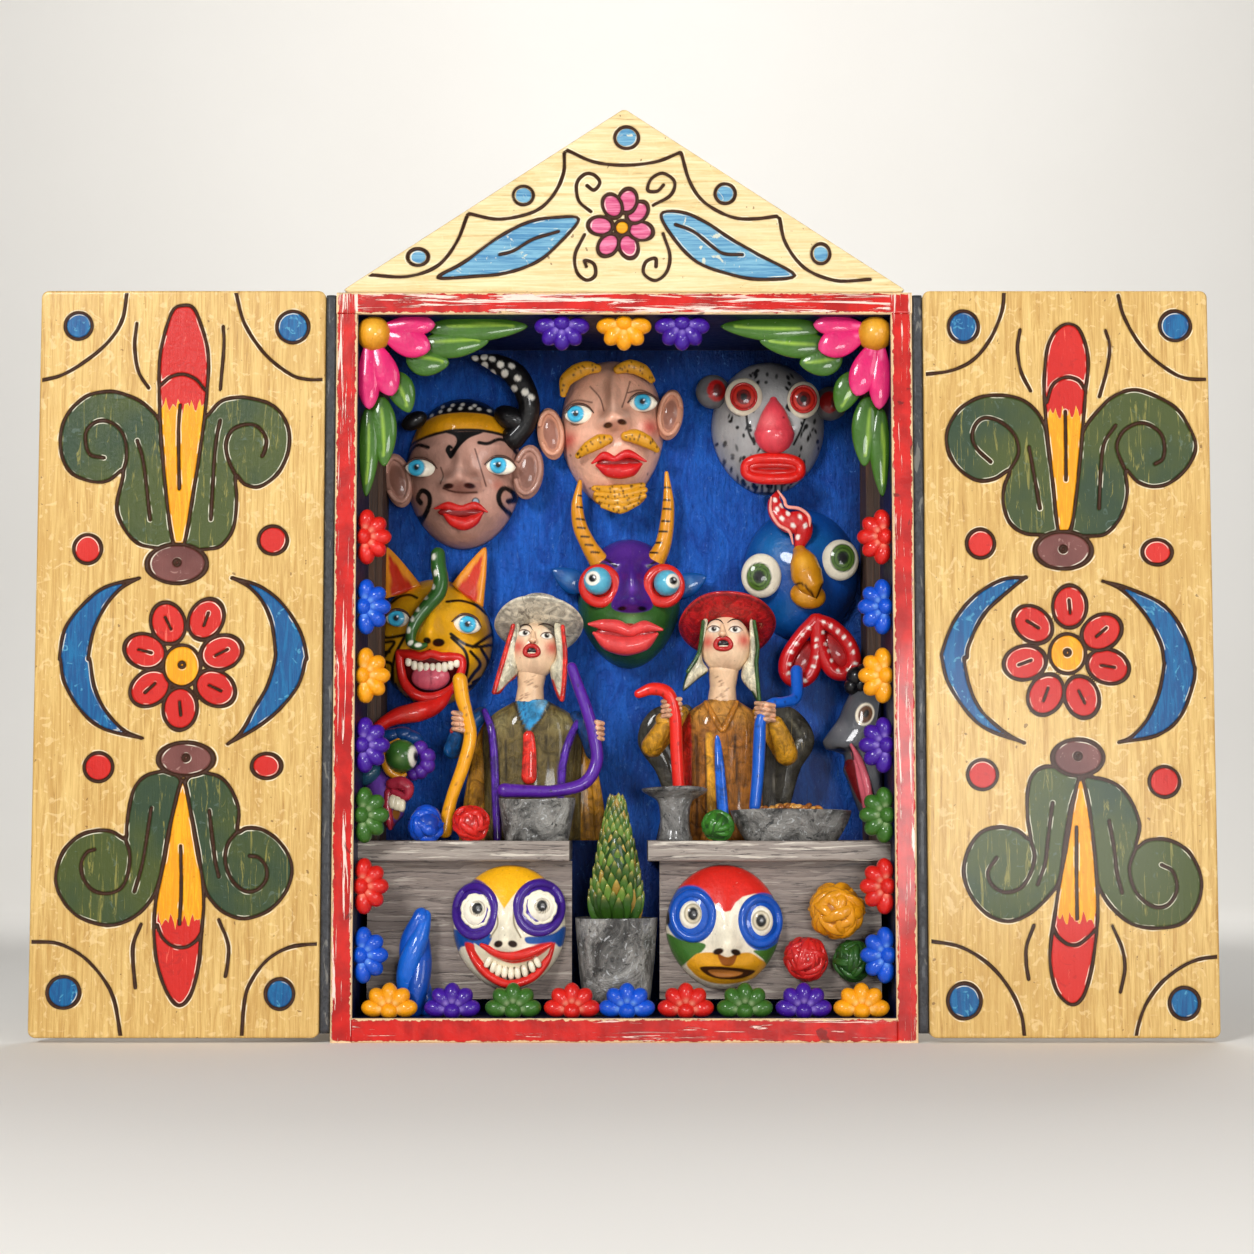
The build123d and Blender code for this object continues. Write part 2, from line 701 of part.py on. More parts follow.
def robe(figure_x, rings, depth=figure_depth):
    """A loft through ovals (height above the table, half width, half depth)."""
    ovals = []
    for above, half_across, half_deep in rings:
        with BuildSketch(Plane(origin=by(figure_x, 0, above, depth))) as oval:
            Ellipse(half_across, half_deep)
        ovals.append(oval.sketch)
    loft(ovals)


cape_setback = 5.0
cape_half_depth = 4.6
cape_height = 39.8


def cape(figure_x, bottom_half, top_half):
    """A flatter wrap behind the robe that shows at both sides of it."""
    rings = [(0, bottom_half, cape_half_depth), (cape_height, top_half, cape_half_depth)]
    robe(figure_x, rings, figure_depth + cape_setback)


def head(figure_x):
    neck = head_height - head_radius * 0.9 - neck_foot
    with Locations(by(figure_x, 0, neck_foot, figure_depth)):
        Cylinder(neck_radius, neck, align=(Align.CENTER, Align.CENTER, Align.MIN))
    chin = by(figure_x, 0, head_height - 3.4, figure_depth - 1)
    crown = by(figure_x, 0, head_height + 3.4, figure_depth + 1)
    bar(chin, crown, [(0, head_radius * 0.86), (0.6, head_radius), (1, head_radius * 0.95)])
    ball(by(figure_x, 0, head_height + 0.5, figure_depth - head_radius), nose_radius)


hat_lean = -32.0
brim_height = 72.3
brim_thickness = 1.8
crown_radius = 9.0
crown_height = 9.0
flap_width = 5.4


def hat(figure_x, brim_radius, flaps):
    """Brim and crown on one leaning axis, and two ear flaps that hang from the brim."""
    leaning = Location(by(figure_x, 1, brim_height, figure_depth + 1.5), (hat_lean, 0, 0))
    with BuildSketch(Plane(leaning)) as brim:
        Circle(brim_radius)
    extrude(brim.sketch, amount=brim_thickness)
    fillet(edges(), brim_thickness * 0.44)
    with Locations(leaning):
        Cone(crown_radius, crown_radius * 0.86, crown_height, align=(Align.CENTER, Align.CENTER, Align.MIN))
    fillet(edges().sort_by(Axis(leaning.position, Plane(leaning).z_dir))[-1], crown_height * 0.45)
    for start, end in flaps:
        petal(by(figure_x, *start, figure_depth - 2), by(figure_x, *end, figure_depth - 2), flap_width)


with BuildPart() as figure_left_body:
    robe(left_x, [(0, 18.0, 8.4), (27.8, 18.2, 8.4), (39.8, 14.4, 7.4), (45.8, 7.0, 5.6)])
    cape(left_x, 23.4, 15.0)
    add(niche.part, mode=Mode.INTERSECT)
figure_left_body.part.label = "figure_left_body"

with BuildPart() as figure_right_body:
    robe(right_x, [(0, 17.6, 8.4), (27.8, 17.0, 8.4), (39.8, 13.4, 7.4), (45.8, 7.0, 5.6)])
    cape(right_x, 24.6, 14.6)
    add(niche.part, mode=Mode.INTERSECT)
figure_right_body.part.label = "figure_right_body"

with BuildPart() as figure_left_hat:
    hat(left_x, 14.6, [((-7.4, 74.8), (-13, 49.4)), ((7.4, 74.8), (9.6, 48.2))])
    add(figure_left_body.part, mode=Mode.SUBTRACT)
figure_left_hat.part.label = "figure_left_hat"

with BuildPart() as figure_right_hat:
    hat(right_x, 15.8, [((-7, 74.8), (-13.4, 50.8)), ((7, 74.8), (10.4, 47.6))])
    add(figure_right_body.part, mode=Mode.SUBTRACT)
figure_right_hat.part.label = "figure_right_hat"

with BuildPart() as figure_left_head:
    head(left_x)
    add(figure_left_body.part, mode=Mode.SUBTRACT)
    add(figure_left_hat.part, mode=Mode.SUBTRACT)
figure_left_head.part.label = "figure_left_head"

with BuildPart() as figure_right_head:
    head(right_x)
    add(figure_right_body.part, mode=Mode.SUBTRACT)
    add(figure_right_hat.part, mode=Mode.SUBTRACT)
figure_right_head.part.label = "figure_right_head"

# ---- wares on the tables
ware_depth = 25.0


def turned(x, z, depth, profile, squash=1.0):
    """A body of revolution from points (radius, height above z), squashed front to back."""
    with BuildPart(mode=Mode.PRIVATE) as lathe:
        with BuildSketch(Plane.XZ):
            with BuildLine():
                Polyline((0, profile[0][1]), *profile, (0, profile[-1][1]), close=True)
            make_face()
        revolve(axis=Axis.Z)
    return scale(lathe.part, by=(1, squash, 1), mode=Mode.PRIVATE).moved(Location(at(x, z, depth)))


bowl_profile = [(10.5, 0), (12.7, 13.6), (11.2, 13.6), (9.6, 10.8)]
cup_profile = [(5.6, 0), (4.6, 3), (4.4, 9), (5.6, 13.2), (10.6, 16.2), (10.8, 17.6), (9.4, 17.6), (6, 15.4)]
dish_profile = [(15.4, 0), (19.2, 7.4), (19.8, 10.2), (18.4, 10.2), (16, 7.6)]
dish_x = right_x + 21.5

with BuildPart() as stone_bowl:
    add(turned(left_x + 1.3, table_top_height, ware_depth, bowl_profile, 0.66))
stone_bowl.part.label = "stone_bowl"

with BuildPart() as pedestal_cup:
    add(turned(right_x - 17.2, table_top_height, ware_depth + 1, cup_profile))
pedestal_cup.part.label = "pedestal_cup"

with BuildPart() as food_dish:
    add(turned(dish_x, table_top_height, ware_depth, dish_profile, 0.5))
food_dish.part.label = "food_dish"

crumb_count = 7
crumb_pitch = 4.2
crumb_radius = 3.3
crumb_lift = 8.4
with BuildPart() as dish_food:
    for crumb in range(crumb_count):
        crumb_x = dish_x + (crumb - (crumb_count - 1) / 2) * crumb_pitch
        crumb_z = table_top_height + crumb_lift + 0.9 * (crumb % 2)
        ball(at(crumb_x, crumb_z, ware_depth + 1.6 * (crumb % 3 - 1)), crumb_radius)
    add(food_dish.part, mode=Mode.SUBTRACT)
dish_food.part.label = "dish_food"

# ---- serpents that the figures hold: points (across from the figure, above the table, depth)
with BuildPart() as serpent_yellow:
    yellow_route = [(-24.3, 51.8, 28), (-21.8, 42.4, 27), (-20.8, 34.6, 27), (-22.8, 25.4, 27)]
    yellow_route += [(-27.4, 12.4, 28), (-28.8, serpent_radius, 29)]
    tube([by(left_x, *point) for point in yellow_route], serpent_radius)
serpent_yellow.part.label = "serpent_yellow"

with BuildPart() as serpent_purple:
    purple_route = [(13.0, 56.8, 29), (17.0, 46.4, 28), (20.3, 35.4, 27), (21.4, 26.8, 27)]
    purple_route += [(18.2, 19.4, 26), (7.2, 16.2, 25), (-8.8, 16.4, 25)]
    tube([by(left_x, *point) for point in purple_route], serpent_radius)
    add(stone_bowl.part, mode=Mode.SUBTRACT)
serpent_purple.part.label = "serpent_purple"

with BuildPart() as serpent_red:
    red_route = [(-28.4, 49.2, 27), (-20.6, 49.8, 27), (-17.2, 41.8, 27), (-16.2, 16.0, 26)]
    tube([by(right_x, *point) for point in red_route], serpent_radius)
    add(pedestal_cup.part, mode=Mode.SUBTRACT)
serpent_red.part.label = "serpent_red"

with BuildPart() as serpent_blue:
    blue_route = [(9.6, 11.2, 27), (10.8, 31.8, 27), (11.2, 40.0, 27), (15.4, 46.6, 29)]
    blue_route += [(23.0, 48.4, 34), (24.6, 56.8, 41)]
    tube([by(right_x, *point) for point in blue_route], serpent_radius)
    add(food_dish.part, mode=Mode.SUBTRACT)
    add(dish_food.part, mode=Mode.SUBTRACT)
    add(spotted_heart.part, mode=Mode.SUBTRACT)
serpent_blue.part.label = "serpent_blue"


# ---- the arms close round the serpents
def arm(figure_x, shoulder, elbow, wrist, hand):
    tube([by(figure_x, *point) for point in (shoulder, elbow, wrist)], sleeve_radius)
    ball(by(figure_x, *hand), hand_radius)


with BuildPart() as figure_left_arms:
    arm(left_x, (-12.4, 39.3, 38), (-24.8, 31.4, 33), (-23.4, 38.2, 29), (-23.6, 39.8, 28.5))
    arm(left_x, (12.0, 39.3, 38), (20.0, 29.8, 34), (20.8, 35.8, 30), (21.2, 37.0, 28.5))
    add(figure_left_body.part, mode=Mode.SUBTRACT)
    add(serpent_yellow.part, mode=Mode.SUBTRACT)
    add(serpent_purple.part, mode=Mode.SUBTRACT)
figure_left_arms.part.label = "figure_left_arms"

with BuildPart() as figure_right_arms:
    arm(right_x, (-11.4, 39.8, 38), (-24.2, 32.2, 33), (-19.2, 42.4, 29), (-18.7, 44.0, 28.5))
    arm(right_x, (11.6, 39.8, 38), (21.4, 31.0, 33), (13.6, 41.4, 29), (12.8, 42.8, 28.5))
    add(figure_right_body.part, mode=Mode.SUBTRACT)
    add(serpent_red.part, mode=Mode.SUBTRACT)
    add(serpent_blue.part, mode=Mode.SUBTRACT)
figure_right_arms.part.label = "figure_right_arms"

# ---- glossy balls in front of the figures, flat where they are glued to the table
ball_sink = 0.06
with BuildPart() as table_balls:
    for ball_x, radius, depth in ((left_x - 34.9, 5.3, 21), (left_x - 20, 5.7, 21), (right_x - 3.2, 5, 20)):
        ball(at(ball_x, table_top_height + radius * (1 - ball_sink), depth), radius)
    split(bisect_by=Plane.XY.offset(table_top_height), keep=Keep.TOP)
table_balls.part.label = "table_balls"

# ---- pot with its cone of leaves, between the tables
pot_x = -2.6
pot_depth = 22.0
pot_height = 30.5
pot_shape = turned(
    pot_x, floor_z, pot_depth, [(10.4, 0), (13.6, pot_height), (12.0, pot_height), (11.6, pot_height - 2)]
)
with BuildPart() as plant_pot:
    add(pot_shape)
plant_pot.part.label = "plant_pot"

leaf_tiers = 8
cone_base_z = floor_z + pot_height - 2
cone_height = 43.0
cone_radius = 9.8
tier_profile = []
for tier in range(leaf_tiers):
    low = cone_height * tier / leaf_tiers
    outer = cone_radius * (1 - tier / leaf_tiers) ** 0.8
    inner = 0.74 * cone_radius * (1 - (tier + 1) / leaf_tiers) ** 0.8
    tier_profile += [(outer, low + 2.0), (max(inner, 0.9), low + cone_height / leaf_tiers)]
tier_profile = [(cone_radius * 0.8, 0.0)] + tier_profile
cone_shape = turned(pot_x, cone_base_z, pot_depth, tier_profile)
with BuildPart() as cone_plant:
    add(cone_shape)
cone_plant.part.label = "cone_plant"

# ---- balls of yarn modelled in paste, and a twisted bundle, against the table fronts
strand = 0.7


def yarn_ball(x, z, radius):
    """A ball with raised bands of yarn, flat where it is glued to the table front."""
    depth = table_panel_start - radius * 0.85
    ball(at(x, z, depth), radius)
    for lean, turn in ((12, 8), (62, 20), (-44, 40)):
        with Locations(Location(at(x, z, depth), (90 + lean, turn, 0))):
            Torus(radius, strand)
    split(bisect_by=Plane(origin=at(0, 0, table_panel_start), z_dir=(0, -1, 0)))


with BuildPart() as yarn_ball_yellow:
    yarn_ball(wall_x - 17.8, 41.6, 8.6)

with BuildPart() as yarn_ball_red:
    yarn_ball(wall_x - 27.7, 25.9, 7.1)

with BuildPart() as yarn_ball_green:
    yarn_ball(wall_x - 12.6, 25.2, 6.4)

with BuildPart() as yarn_balls:
    add(yarn_ball_yellow.part)
    add(yarn_ball_red.part)
    add(yarn_ball_green.part)
yarn_balls.part.label = "yarn_balls"

bundle_x = 19.4 - wall_x
bundle_depth = 13.6
bundle_strand = 3.1
bundle_height = 35.0
bundle_turns = 0.75
bundle_steps = 9
with BuildPart() as twisted_bundle:
    for step in range(bundle_steps + 1):
        share = step / bundle_steps
        plump = 0.55 + 0.45 * sin(pi * (0.12 + 0.8 * share))
        lift = Plane(origin=at(bundle_x, floor_z + bundle_height * share, bundle_depth))
        with BuildSketch(lift.rotated((0, 0, 360 * bundle_turns * share))):
            with PolarLocations(bundle_strand * 0.72 * plump, 3):
                Circle(bundle_strand * plump)
    loft()
twisted_bundle.part.label = "twisted_bundle"

finished = [
    side_panel_left, side_panel_right, top_panel, bottom_panel, back_panel, pediment,
    pediment_cleat, case_nails, side_battens, table_top_left, table_top_right, table_front_left,
    table_front_right, door_left, door_right, hinge_case_leaves, hinge_door_leaf_left,
    hinge_door_leaf_right, flowers_bottom, flowers_left, flowers_right, flowers_top,
    corner_flower_left, corner_flower_right, corner_leaves_left, corner_leaves_right,
    mask_plumed, mask_moustache, mask_speckled, mask_striped_cat, mask_horned, mask_parrot,
    spotted_heart, mask_profile, red_chili, mask_goggle, mask_purple_rings, mask_blue_rings,
    figure_left_body, figure_right_body, figure_left_arms, figure_right_arms, figure_left_head,
    figure_right_head, figure_left_hat, figure_right_hat, stone_bowl, pedestal_cup, food_dish,
    dish_food, serpent_yellow, serpent_purple, serpent_red, serpent_blue, table_balls,
    plant_pot, cone_plant, yarn_balls, twisted_bundle,
]
for piece in finished:
    export_step(piece.part, f"parts/{piece.part.label}.step")
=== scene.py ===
# Retablo box: materials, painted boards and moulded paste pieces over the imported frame.
# Shapes are written in millimetres as (x, depth behind the front edges, z) and turned into
# metres when a mesh is made.
from math import atan, cos, pi, radians, sin

import bpy
import numpy as np
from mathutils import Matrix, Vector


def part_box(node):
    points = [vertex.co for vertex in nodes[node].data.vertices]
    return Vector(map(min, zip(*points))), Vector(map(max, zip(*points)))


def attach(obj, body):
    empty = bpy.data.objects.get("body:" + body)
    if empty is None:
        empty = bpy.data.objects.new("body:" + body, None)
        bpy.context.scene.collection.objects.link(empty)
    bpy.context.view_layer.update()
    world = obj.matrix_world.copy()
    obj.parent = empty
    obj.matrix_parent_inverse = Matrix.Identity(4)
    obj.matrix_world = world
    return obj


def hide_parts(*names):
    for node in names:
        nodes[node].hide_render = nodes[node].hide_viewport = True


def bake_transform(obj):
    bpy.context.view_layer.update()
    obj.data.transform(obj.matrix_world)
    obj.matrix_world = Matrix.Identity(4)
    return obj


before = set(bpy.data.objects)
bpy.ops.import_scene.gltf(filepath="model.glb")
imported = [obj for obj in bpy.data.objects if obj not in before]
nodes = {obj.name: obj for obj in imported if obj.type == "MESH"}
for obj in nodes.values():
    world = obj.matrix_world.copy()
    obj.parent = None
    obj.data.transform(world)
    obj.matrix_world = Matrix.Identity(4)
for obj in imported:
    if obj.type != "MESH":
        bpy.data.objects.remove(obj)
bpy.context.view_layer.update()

frontY = -32.5            # y of the case's front edges
wallX = 87.0              # inner face of the side walls
floorZ = 7.8
ceilingZ = 235.7
tableZ = 64.2
backWall = 62.0           # depth of the back panel's face
panelFace = 20.0          # depth of the table fronts
rng = np.random.default_rng(7)


# ---------- numbers that vary over a surface, and the nodes that make them
class Value:
    def __init__(self, finish, socket):
        self.finish = finish
        self.socket = socket

    def math(self, operation, *values):
        return self.finish.node("ShaderNodeMath", {"operation": operation}, list(values))

    def __add__(self, other):
        return self.math("ADD", self, other)

    def __radd__(self, other):
        return self.math("ADD", other, self)

    def __sub__(self, other):
        return self.math("SUBTRACT", self, other)

    def __rsub__(self, other):
        return self.math("SUBTRACT", other, self)

    def __mul__(self, other):
        return self.math("MULTIPLY", self, other)

    def __rmul__(self, other):
        return self.math("MULTIPLY", other, self)

    def __truediv__(self, other):
        return self.math("DIVIDE", self, other)

    def least(self, other):
        return self.math("MINIMUM", self, other)

    def most(self, other):
        return self.math("MAXIMUM", self, other)

    def size(self):
        return self.math("ABSOLUTE", self)

    def over(self, low, high):          # 0 below low, 1 above high, smooth between
        return self.finish.node(
            "ShaderNodeMapRange", {"interpolation_type": "SMOOTHSTEP"}, {0: self, 1: low, 2: high})

    def under(self, low, high):
        return 1 - self.over(low, high)


class Finish:
    def __init__(self, name, roughness=0.5, coat=0.0, coatRoughness=0.1, specular=0.5):
        self.material = bpy.data.materials.new(name)
        self.material.use_nodes = True
        self.tree = self.material.node_tree
        self.shader = self.tree.nodes["Principled BSDF"]
        self.shader.inputs["Roughness"].default_value = roughness
        self.shader.inputs["Coat Weight"].default_value = coat
        self.shader.inputs["Coat Roughness"].default_value = coatRoughness
        self.shader.inputs["Specular IOR Level"].default_value = specular
        self.place = self.node("ShaderNodeTexCoord", {}, {}, 3)      # object coordinates, metres

    def node(self, kind, settings, inputs, output=0):
        made = self.tree.nodes.new(kind)
        for key, value in settings.items():
            if key == "stops":
                ramp = made.color_ramp
                while len(ramp.elements) < len(value):
                    ramp.elements.new(0.5)
                for element, (position, colour) in zip(ramp.elements, value):
                    element.position = position
                    element.color = (*colour, 1)
            else:
                setattr(made, key, value)
        pairs = inputs.items() if isinstance(inputs, dict) else enumerate(inputs)
        for key, value in pairs:
            socket = made.inputs[key]
            if isinstance(value, Value):
                self.tree.links.new(value.socket, socket)
            elif isinstance(value, tuple) and len(value) == 3 and socket.type == "RGBA":
                socket.default_value = (*value, 1)
            else:
                socket.default_value = value
        return Value(self, made.outputs[output])

    def noise(self, scale, detail=3, place=None, distortion=0.0, roughness=0.5):
        return self.node("ShaderNodeTexNoise", {"noise_dimensions": "3D"},
                         {"Vector": place or self.place, "Scale": scale, "Detail": detail,
                          "Roughness": roughness, "Distortion": distortion})

    def stretched(self, x, y, z):
        return self.node("ShaderNodeMapping", {}, {"Vector": self.place, "Scale": (x, y, z)})

    def axis(self, number):
        return self.node("ShaderNodeSeparateXYZ", {}, [self.place], number)

    def mix(self, factor, first, second):
        return self.node("ShaderNodeMix", {"data_type": "RGBA"}, {0: factor, 6: first, 7: second}, 2)

    def shade(self, colour, amount):    # multiplies a colour by a grey amount
        grey = self.node("ShaderNodeCombineColor", {}, [amount, amount, amount])
        return self.node("ShaderNodeMix", {"data_type": "RGBA", "blend_type": "MULTIPLY"},
                         {0: 1.0, 6: colour, 7: grey}, 2)

    def attribute(self, name, output=2):
        return self.node("ShaderNodeAttribute", {"attribute_name": name}, {}, output)

    def ramp(self, factor, stops):
        return self.node("ShaderNodeValToRGB", {"stops": stops}, [factor])

    def bump(self, height, distance, strength=1.0, normal=None):
        inputs = {"Height": height, "Distance": distance, "Strength": strength}
        if normal:
            inputs["Normal"] = normal
        return self.node("ShaderNodeBump", {}, inputs)

    def set(self, name, value):
        self.tree.links.new(value.socket, self.shader.inputs[name])


def rgb(code):                          # screen colour written in hex, as linear light
    parts = np.array([int(code[i:i + 2], 16) for i in (0, 2, 4)]) / 255
    linear = np.where(parts <= 0.04045, parts / 12.92, ((parts + 0.055) / 1.055) ** 2.4)
    return tuple(float(c) for c in linear)


# ---------- distances in a picture plane (x, z), whole arrays at once
def smoothLine(points, count=40, closed=False):
    # Catmull-Rom: p(t) = 0.5 (2b + (c-a)t + (2a-5b+4c-d)t^2 + (3b-a-3c+d)t^3)
    p = np.array(points, float)
    p = np.vstack([p[-1], p, p[:2]]) if closed else np.vstack([2 * p[0] - p[1], p, 2 * p[-1] - p[-2]])
    spans = len(p) - 3
    s = np.linspace(0, spans, count, endpoint=not closed)
    i = np.minimum(s.astype(int), spans - 1)
    t = (s - i)[:, None]
    a, b, c, d = p[i], p[i + 1], p[i + 2], p[i + 3]
    return 0.5 * (2 * b + (c - a) * t + (2 * a - 5 * b + 4 * c - d) * t**2 + (3 * b - a - 3 * c + d) * t**3)


def lineDistance(x, z, line, closed=False):
    # least distance from each point to the runs of a line
    line = np.array(line, float)
    if closed:
        line = np.vstack([line, line[:1]])
    a, run = line[:-1], np.diff(line, axis=0)
    length = (run**2).sum(1) + 1e-12
    best = np.full(x.shape, 1e9)
    for (ax, az), (rx, rz), squared in zip(a, run, length):
        t = np.clip(((x - ax) * rx + (z - az) * rz) / squared, 0, 1)
        best = np.minimum(best, (x - ax - t * rx)**2 + (z - az - t * rz)**2)
    return np.sqrt(best)


def patchDistance(x, z, line):
    # distance to a closed outline, negative inside it (even-odd rule)
    line = np.array(line, float)
    inside = np.zeros(x.shape, bool)
    for (ax, az), (bx, bz) in zip(line, np.roll(line, -1, axis=0)):
        if az != bz:
            inside ^= ((az > z) != (bz > z)) & (x < (bx - ax) * (z - az) / (bz - az) + ax)
    return lineDistance(x, z, line, closed=True) * np.where(inside, -1, 1)


def ovalDistance(x, z, middle, half, turn=0.0):
    # (|p / half| - 1) times the smaller half size, turned by degrees
    c, s = cos(radians(turn)), sin(radians(turn))
    u = ((x - middle[0]) * c + (z - middle[1]) * s) / half[0]
    v = ((z - middle[1]) * c - (x - middle[0]) * s) / half[1]
    return (np.sqrt(u * u + v * v) - 1) * min(half)


def step(value, soft=0.25):             # 1 where value is below 0, with an edge soft wide
    return np.clip(0.5 - value / (2 * soft), 0, 1)


# ---------- meshes
def makePiece(name, points, faces, finish, body, slot, replaced=(), colours=None, fields=None, smooth=True):
    mesh = bpy.data.meshes.new(name)
    metres = np.array(points, float)
    metres = np.column_stack([metres[:, 0], metres[:, 1] + frontY, metres[:, 2]]) * 0.001
    mesh.from_pydata(metres.tolist(), [], faces.tolist() if isinstance(faces, np.ndarray) else faces)
    mesh.validate()
    if colours is not None:
        layer = mesh.color_attributes.new("paint", "FLOAT_COLOR", "POINT")
        layer.data.foreach_set("color", np.column_stack([colours, np.ones(len(colours))]).ravel())
    for key, values in (fields or {}).items():
        layer = mesh.attributes.new(key, "FLOAT", "POINT")
        layer.data.foreach_set("value", np.asarray(values, np.float32))
    mesh.polygons.foreach_set("use_smooth", [smooth] * len(mesh.polygons))
    mesh.update()
    piece = bpy.data.objects.new(name, mesh)
    bpy.context.scene.collection.objects.link(piece)
    mesh.materials.append(finish.material)
    if body:
        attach(piece, body)
    if replaced:
        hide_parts(*replaced)
    return piece


def shell(rows):
    # rows[i, j] is a closed ring j for each i; the first and last rows shrink to poles
    n, m, _ = rows.shape
    middle = rows[1:-1]
    k = n - 2
    points = np.vstack([rows[0].mean(0)[None], middle.reshape(-1, 3), rows[-1].mean(0)[None]])
    j = np.arange(m)
    nextJ = (j + 1) % m
    ring = 1 + (np.arange(k - 1)[:, None] * m)
    quads = np.stack([ring + j, ring + nextJ, ring + m + nextJ, ring + m + j], -1).reshape(-1, 4)
    last = len(points) - 1
    start = np.stack([np.zeros(m, int), 1 + nextJ, 1 + j], -1)
    end = np.stack([np.full(m, last), 1 + (k - 1) * m + j, 1 + (k - 1) * m + nextJ], -1)
    triangles = np.vstack([start, end, quads[:, [0, 1, 2]], quads[:, [0, 2, 3]]])
    a, b, c = (points[triangles[:, i]] for i in range(3))
    if (np.cross(a, b) * c).sum() < 0:          # signed volume: faces have to point outwards
        return points, [f[::-1] for f in start.tolist() + end.tolist() + quads.tolist()]
    return points, start.tolist() + end.tolist() + quads.tolist()


class Clay:
    # gathers closed surfaces with their colours into one mesh
    def __init__(self):
        self.points, self.faces, self.colours, self.count = [], [], [], 0

    def add(self, rows, base, marks=()):
        points, faces = shell(rows)
        self.points.append(points)
        self.faces += [[i + self.count for i in face] for face in faces]
        self.count += len(points)
        self.colours.append(paint(points, base, marks))

    def blob(self, middle, half, base, marks=(), turn=0.0, lean=0.0, rings=20, sides=28, power=1.0, taper=0.0):
        # ellipsoid with poles fore and aft; turn is in the picture plane, lean tips it up
        # taper widens its upper end; power below 1 squares it
        v = np.linspace(0, pi, rings)[:, None]
        u = np.linspace(0, 2 * pi, sides, endpoint=False)[None]
        bend = lambda w: np.sign(w) * np.abs(w)**power
        x = bend(np.sin(v)) * bend(np.cos(u)) * half[0]
        z = bend(np.sin(v)) * bend(np.sin(u)) * half[2]
        y = -bend(np.cos(v)) * half[1] * np.ones_like(u)
        x = x * (1 + taper * z / half[2])
        c, s = cos(radians(turn)), sin(radians(turn))
        x, z = x * c - z * s, x * s + z * c
        c, s = cos(radians(lean)), sin(radians(lean))
        y, z = y * c - z * s, y * s + z * c
        self.add(np.stack([x + middle[0], y + middle[1], z + middle[2]], -1), base, marks)

    def roll(self, path, radii, base, marks=(), sides=14, count=None, flat=1.0, closed=False, twist=None):
        # a rolled rod along a smooth line: ring r(t) (side cos u + flat up sin u), round ends
        path = np.array(path, float)
        count = count or max(8, 6 * len(path))
        line = smoothLine(path, count)
        radii = np.atleast_1d(np.array(radii, float))
        r = np.interp(np.linspace(0, 1, count), np.linspace(0, 1, len(radii)), radii)
        tangent = np.gradient(line, axis=0)
        tangent /= np.linalg.norm(tangent, axis=1)[:, None] + 1e-9
        side = np.cross(tangent, np.array([0.0, 1.0, 0.0]))
        thin = np.linalg.norm(side, axis=1) < 0.2
        side[thin] = np.cross(tangent[thin], np.array([0.0, 0.0, 1.0]))
        side /= np.linalg.norm(side, axis=1)[:, None]
        up = np.cross(side, tangent)
        caps = np.linspace(0, pi / 2, 5)[1:]
        head = [(0, -r[0] * cos(a), r[0] * sin(a)) for a in np.linspace(0, pi / 2, 5)[:-1]]
        tail = [(count - 1, r[-1] * sin(a), r[-1] * cos(a)) for a in caps]
        body = [(i, 0.0, r[i]) for i in range(count)]
        index, shift, wide = (np.array(w) for w in zip(*(head + body + tail)))
        index = index.astype(int)
        u = np.linspace(0, 2 * pi, sides, endpoint=False)
        ring = side[index][:, None] * np.cos(u)[None, :, None] + flat * up[index][:, None] * np.sin(u)[None, :, None]
        rows = (line[index] + tangent[index] * shift[:, None])[:, None] + ring * wide[:, None, None]
        if twist is not None:
            rows = rows + ring * twist(np.linspace(0, 1, len(index))[:, None], u[None])[..., None]
        self.add(rows, base, marks)

    def pad(self, start, end, width, thick, base, marks=(), groove=0.0, bend=0.0, rows=18, sides=20, widest=0.5,
            blunt=0.7, droop=0.0):
        # a petal or leaf from start to end: half width sin(pi t^e)^blunt, e set by where it is widest
        start, end = np.array(start, float), np.array(end, float)
        along = end - start
        length = np.linalg.norm(along)
        along /= length
        across = np.cross(along, np.array([0.0, 1.0, 0.0]))
        across /= np.linalg.norm(across)
        up = np.cross(across, along)
        t = np.linspace(0, 1, rows)[:, None]
        shape = np.maximum(np.sin(pi * t**(np.log(0.5) / np.log(widest))), 0)
        w = shape**blunt * width / 2
        u = np.linspace(0, 2 * pi, sides, endpoint=False)[None]
        out = np.sin(u)
        high = thick * shape**0.6
        lift = np.where(out > 0, out * (1 - groove * np.exp(-(np.cos(u) / 0.22)**2)), out * 0.5)
        points = (start + along * length * t[..., None]
                  + across * (w * np.cos(u) + bend * np.sin(pi * t) * np.ones_like(u))[..., None]
                  + up * (high * lift - droop * t**2)[..., None])
        self.add(points, base, marks)

    def finish(self, name, finish, body, slot, replaced=()):
        return makePiece(name, np.vstack(self.points), self.faces, finish, body, slot, replaced,
                         colours=np.vstack(self.colours))


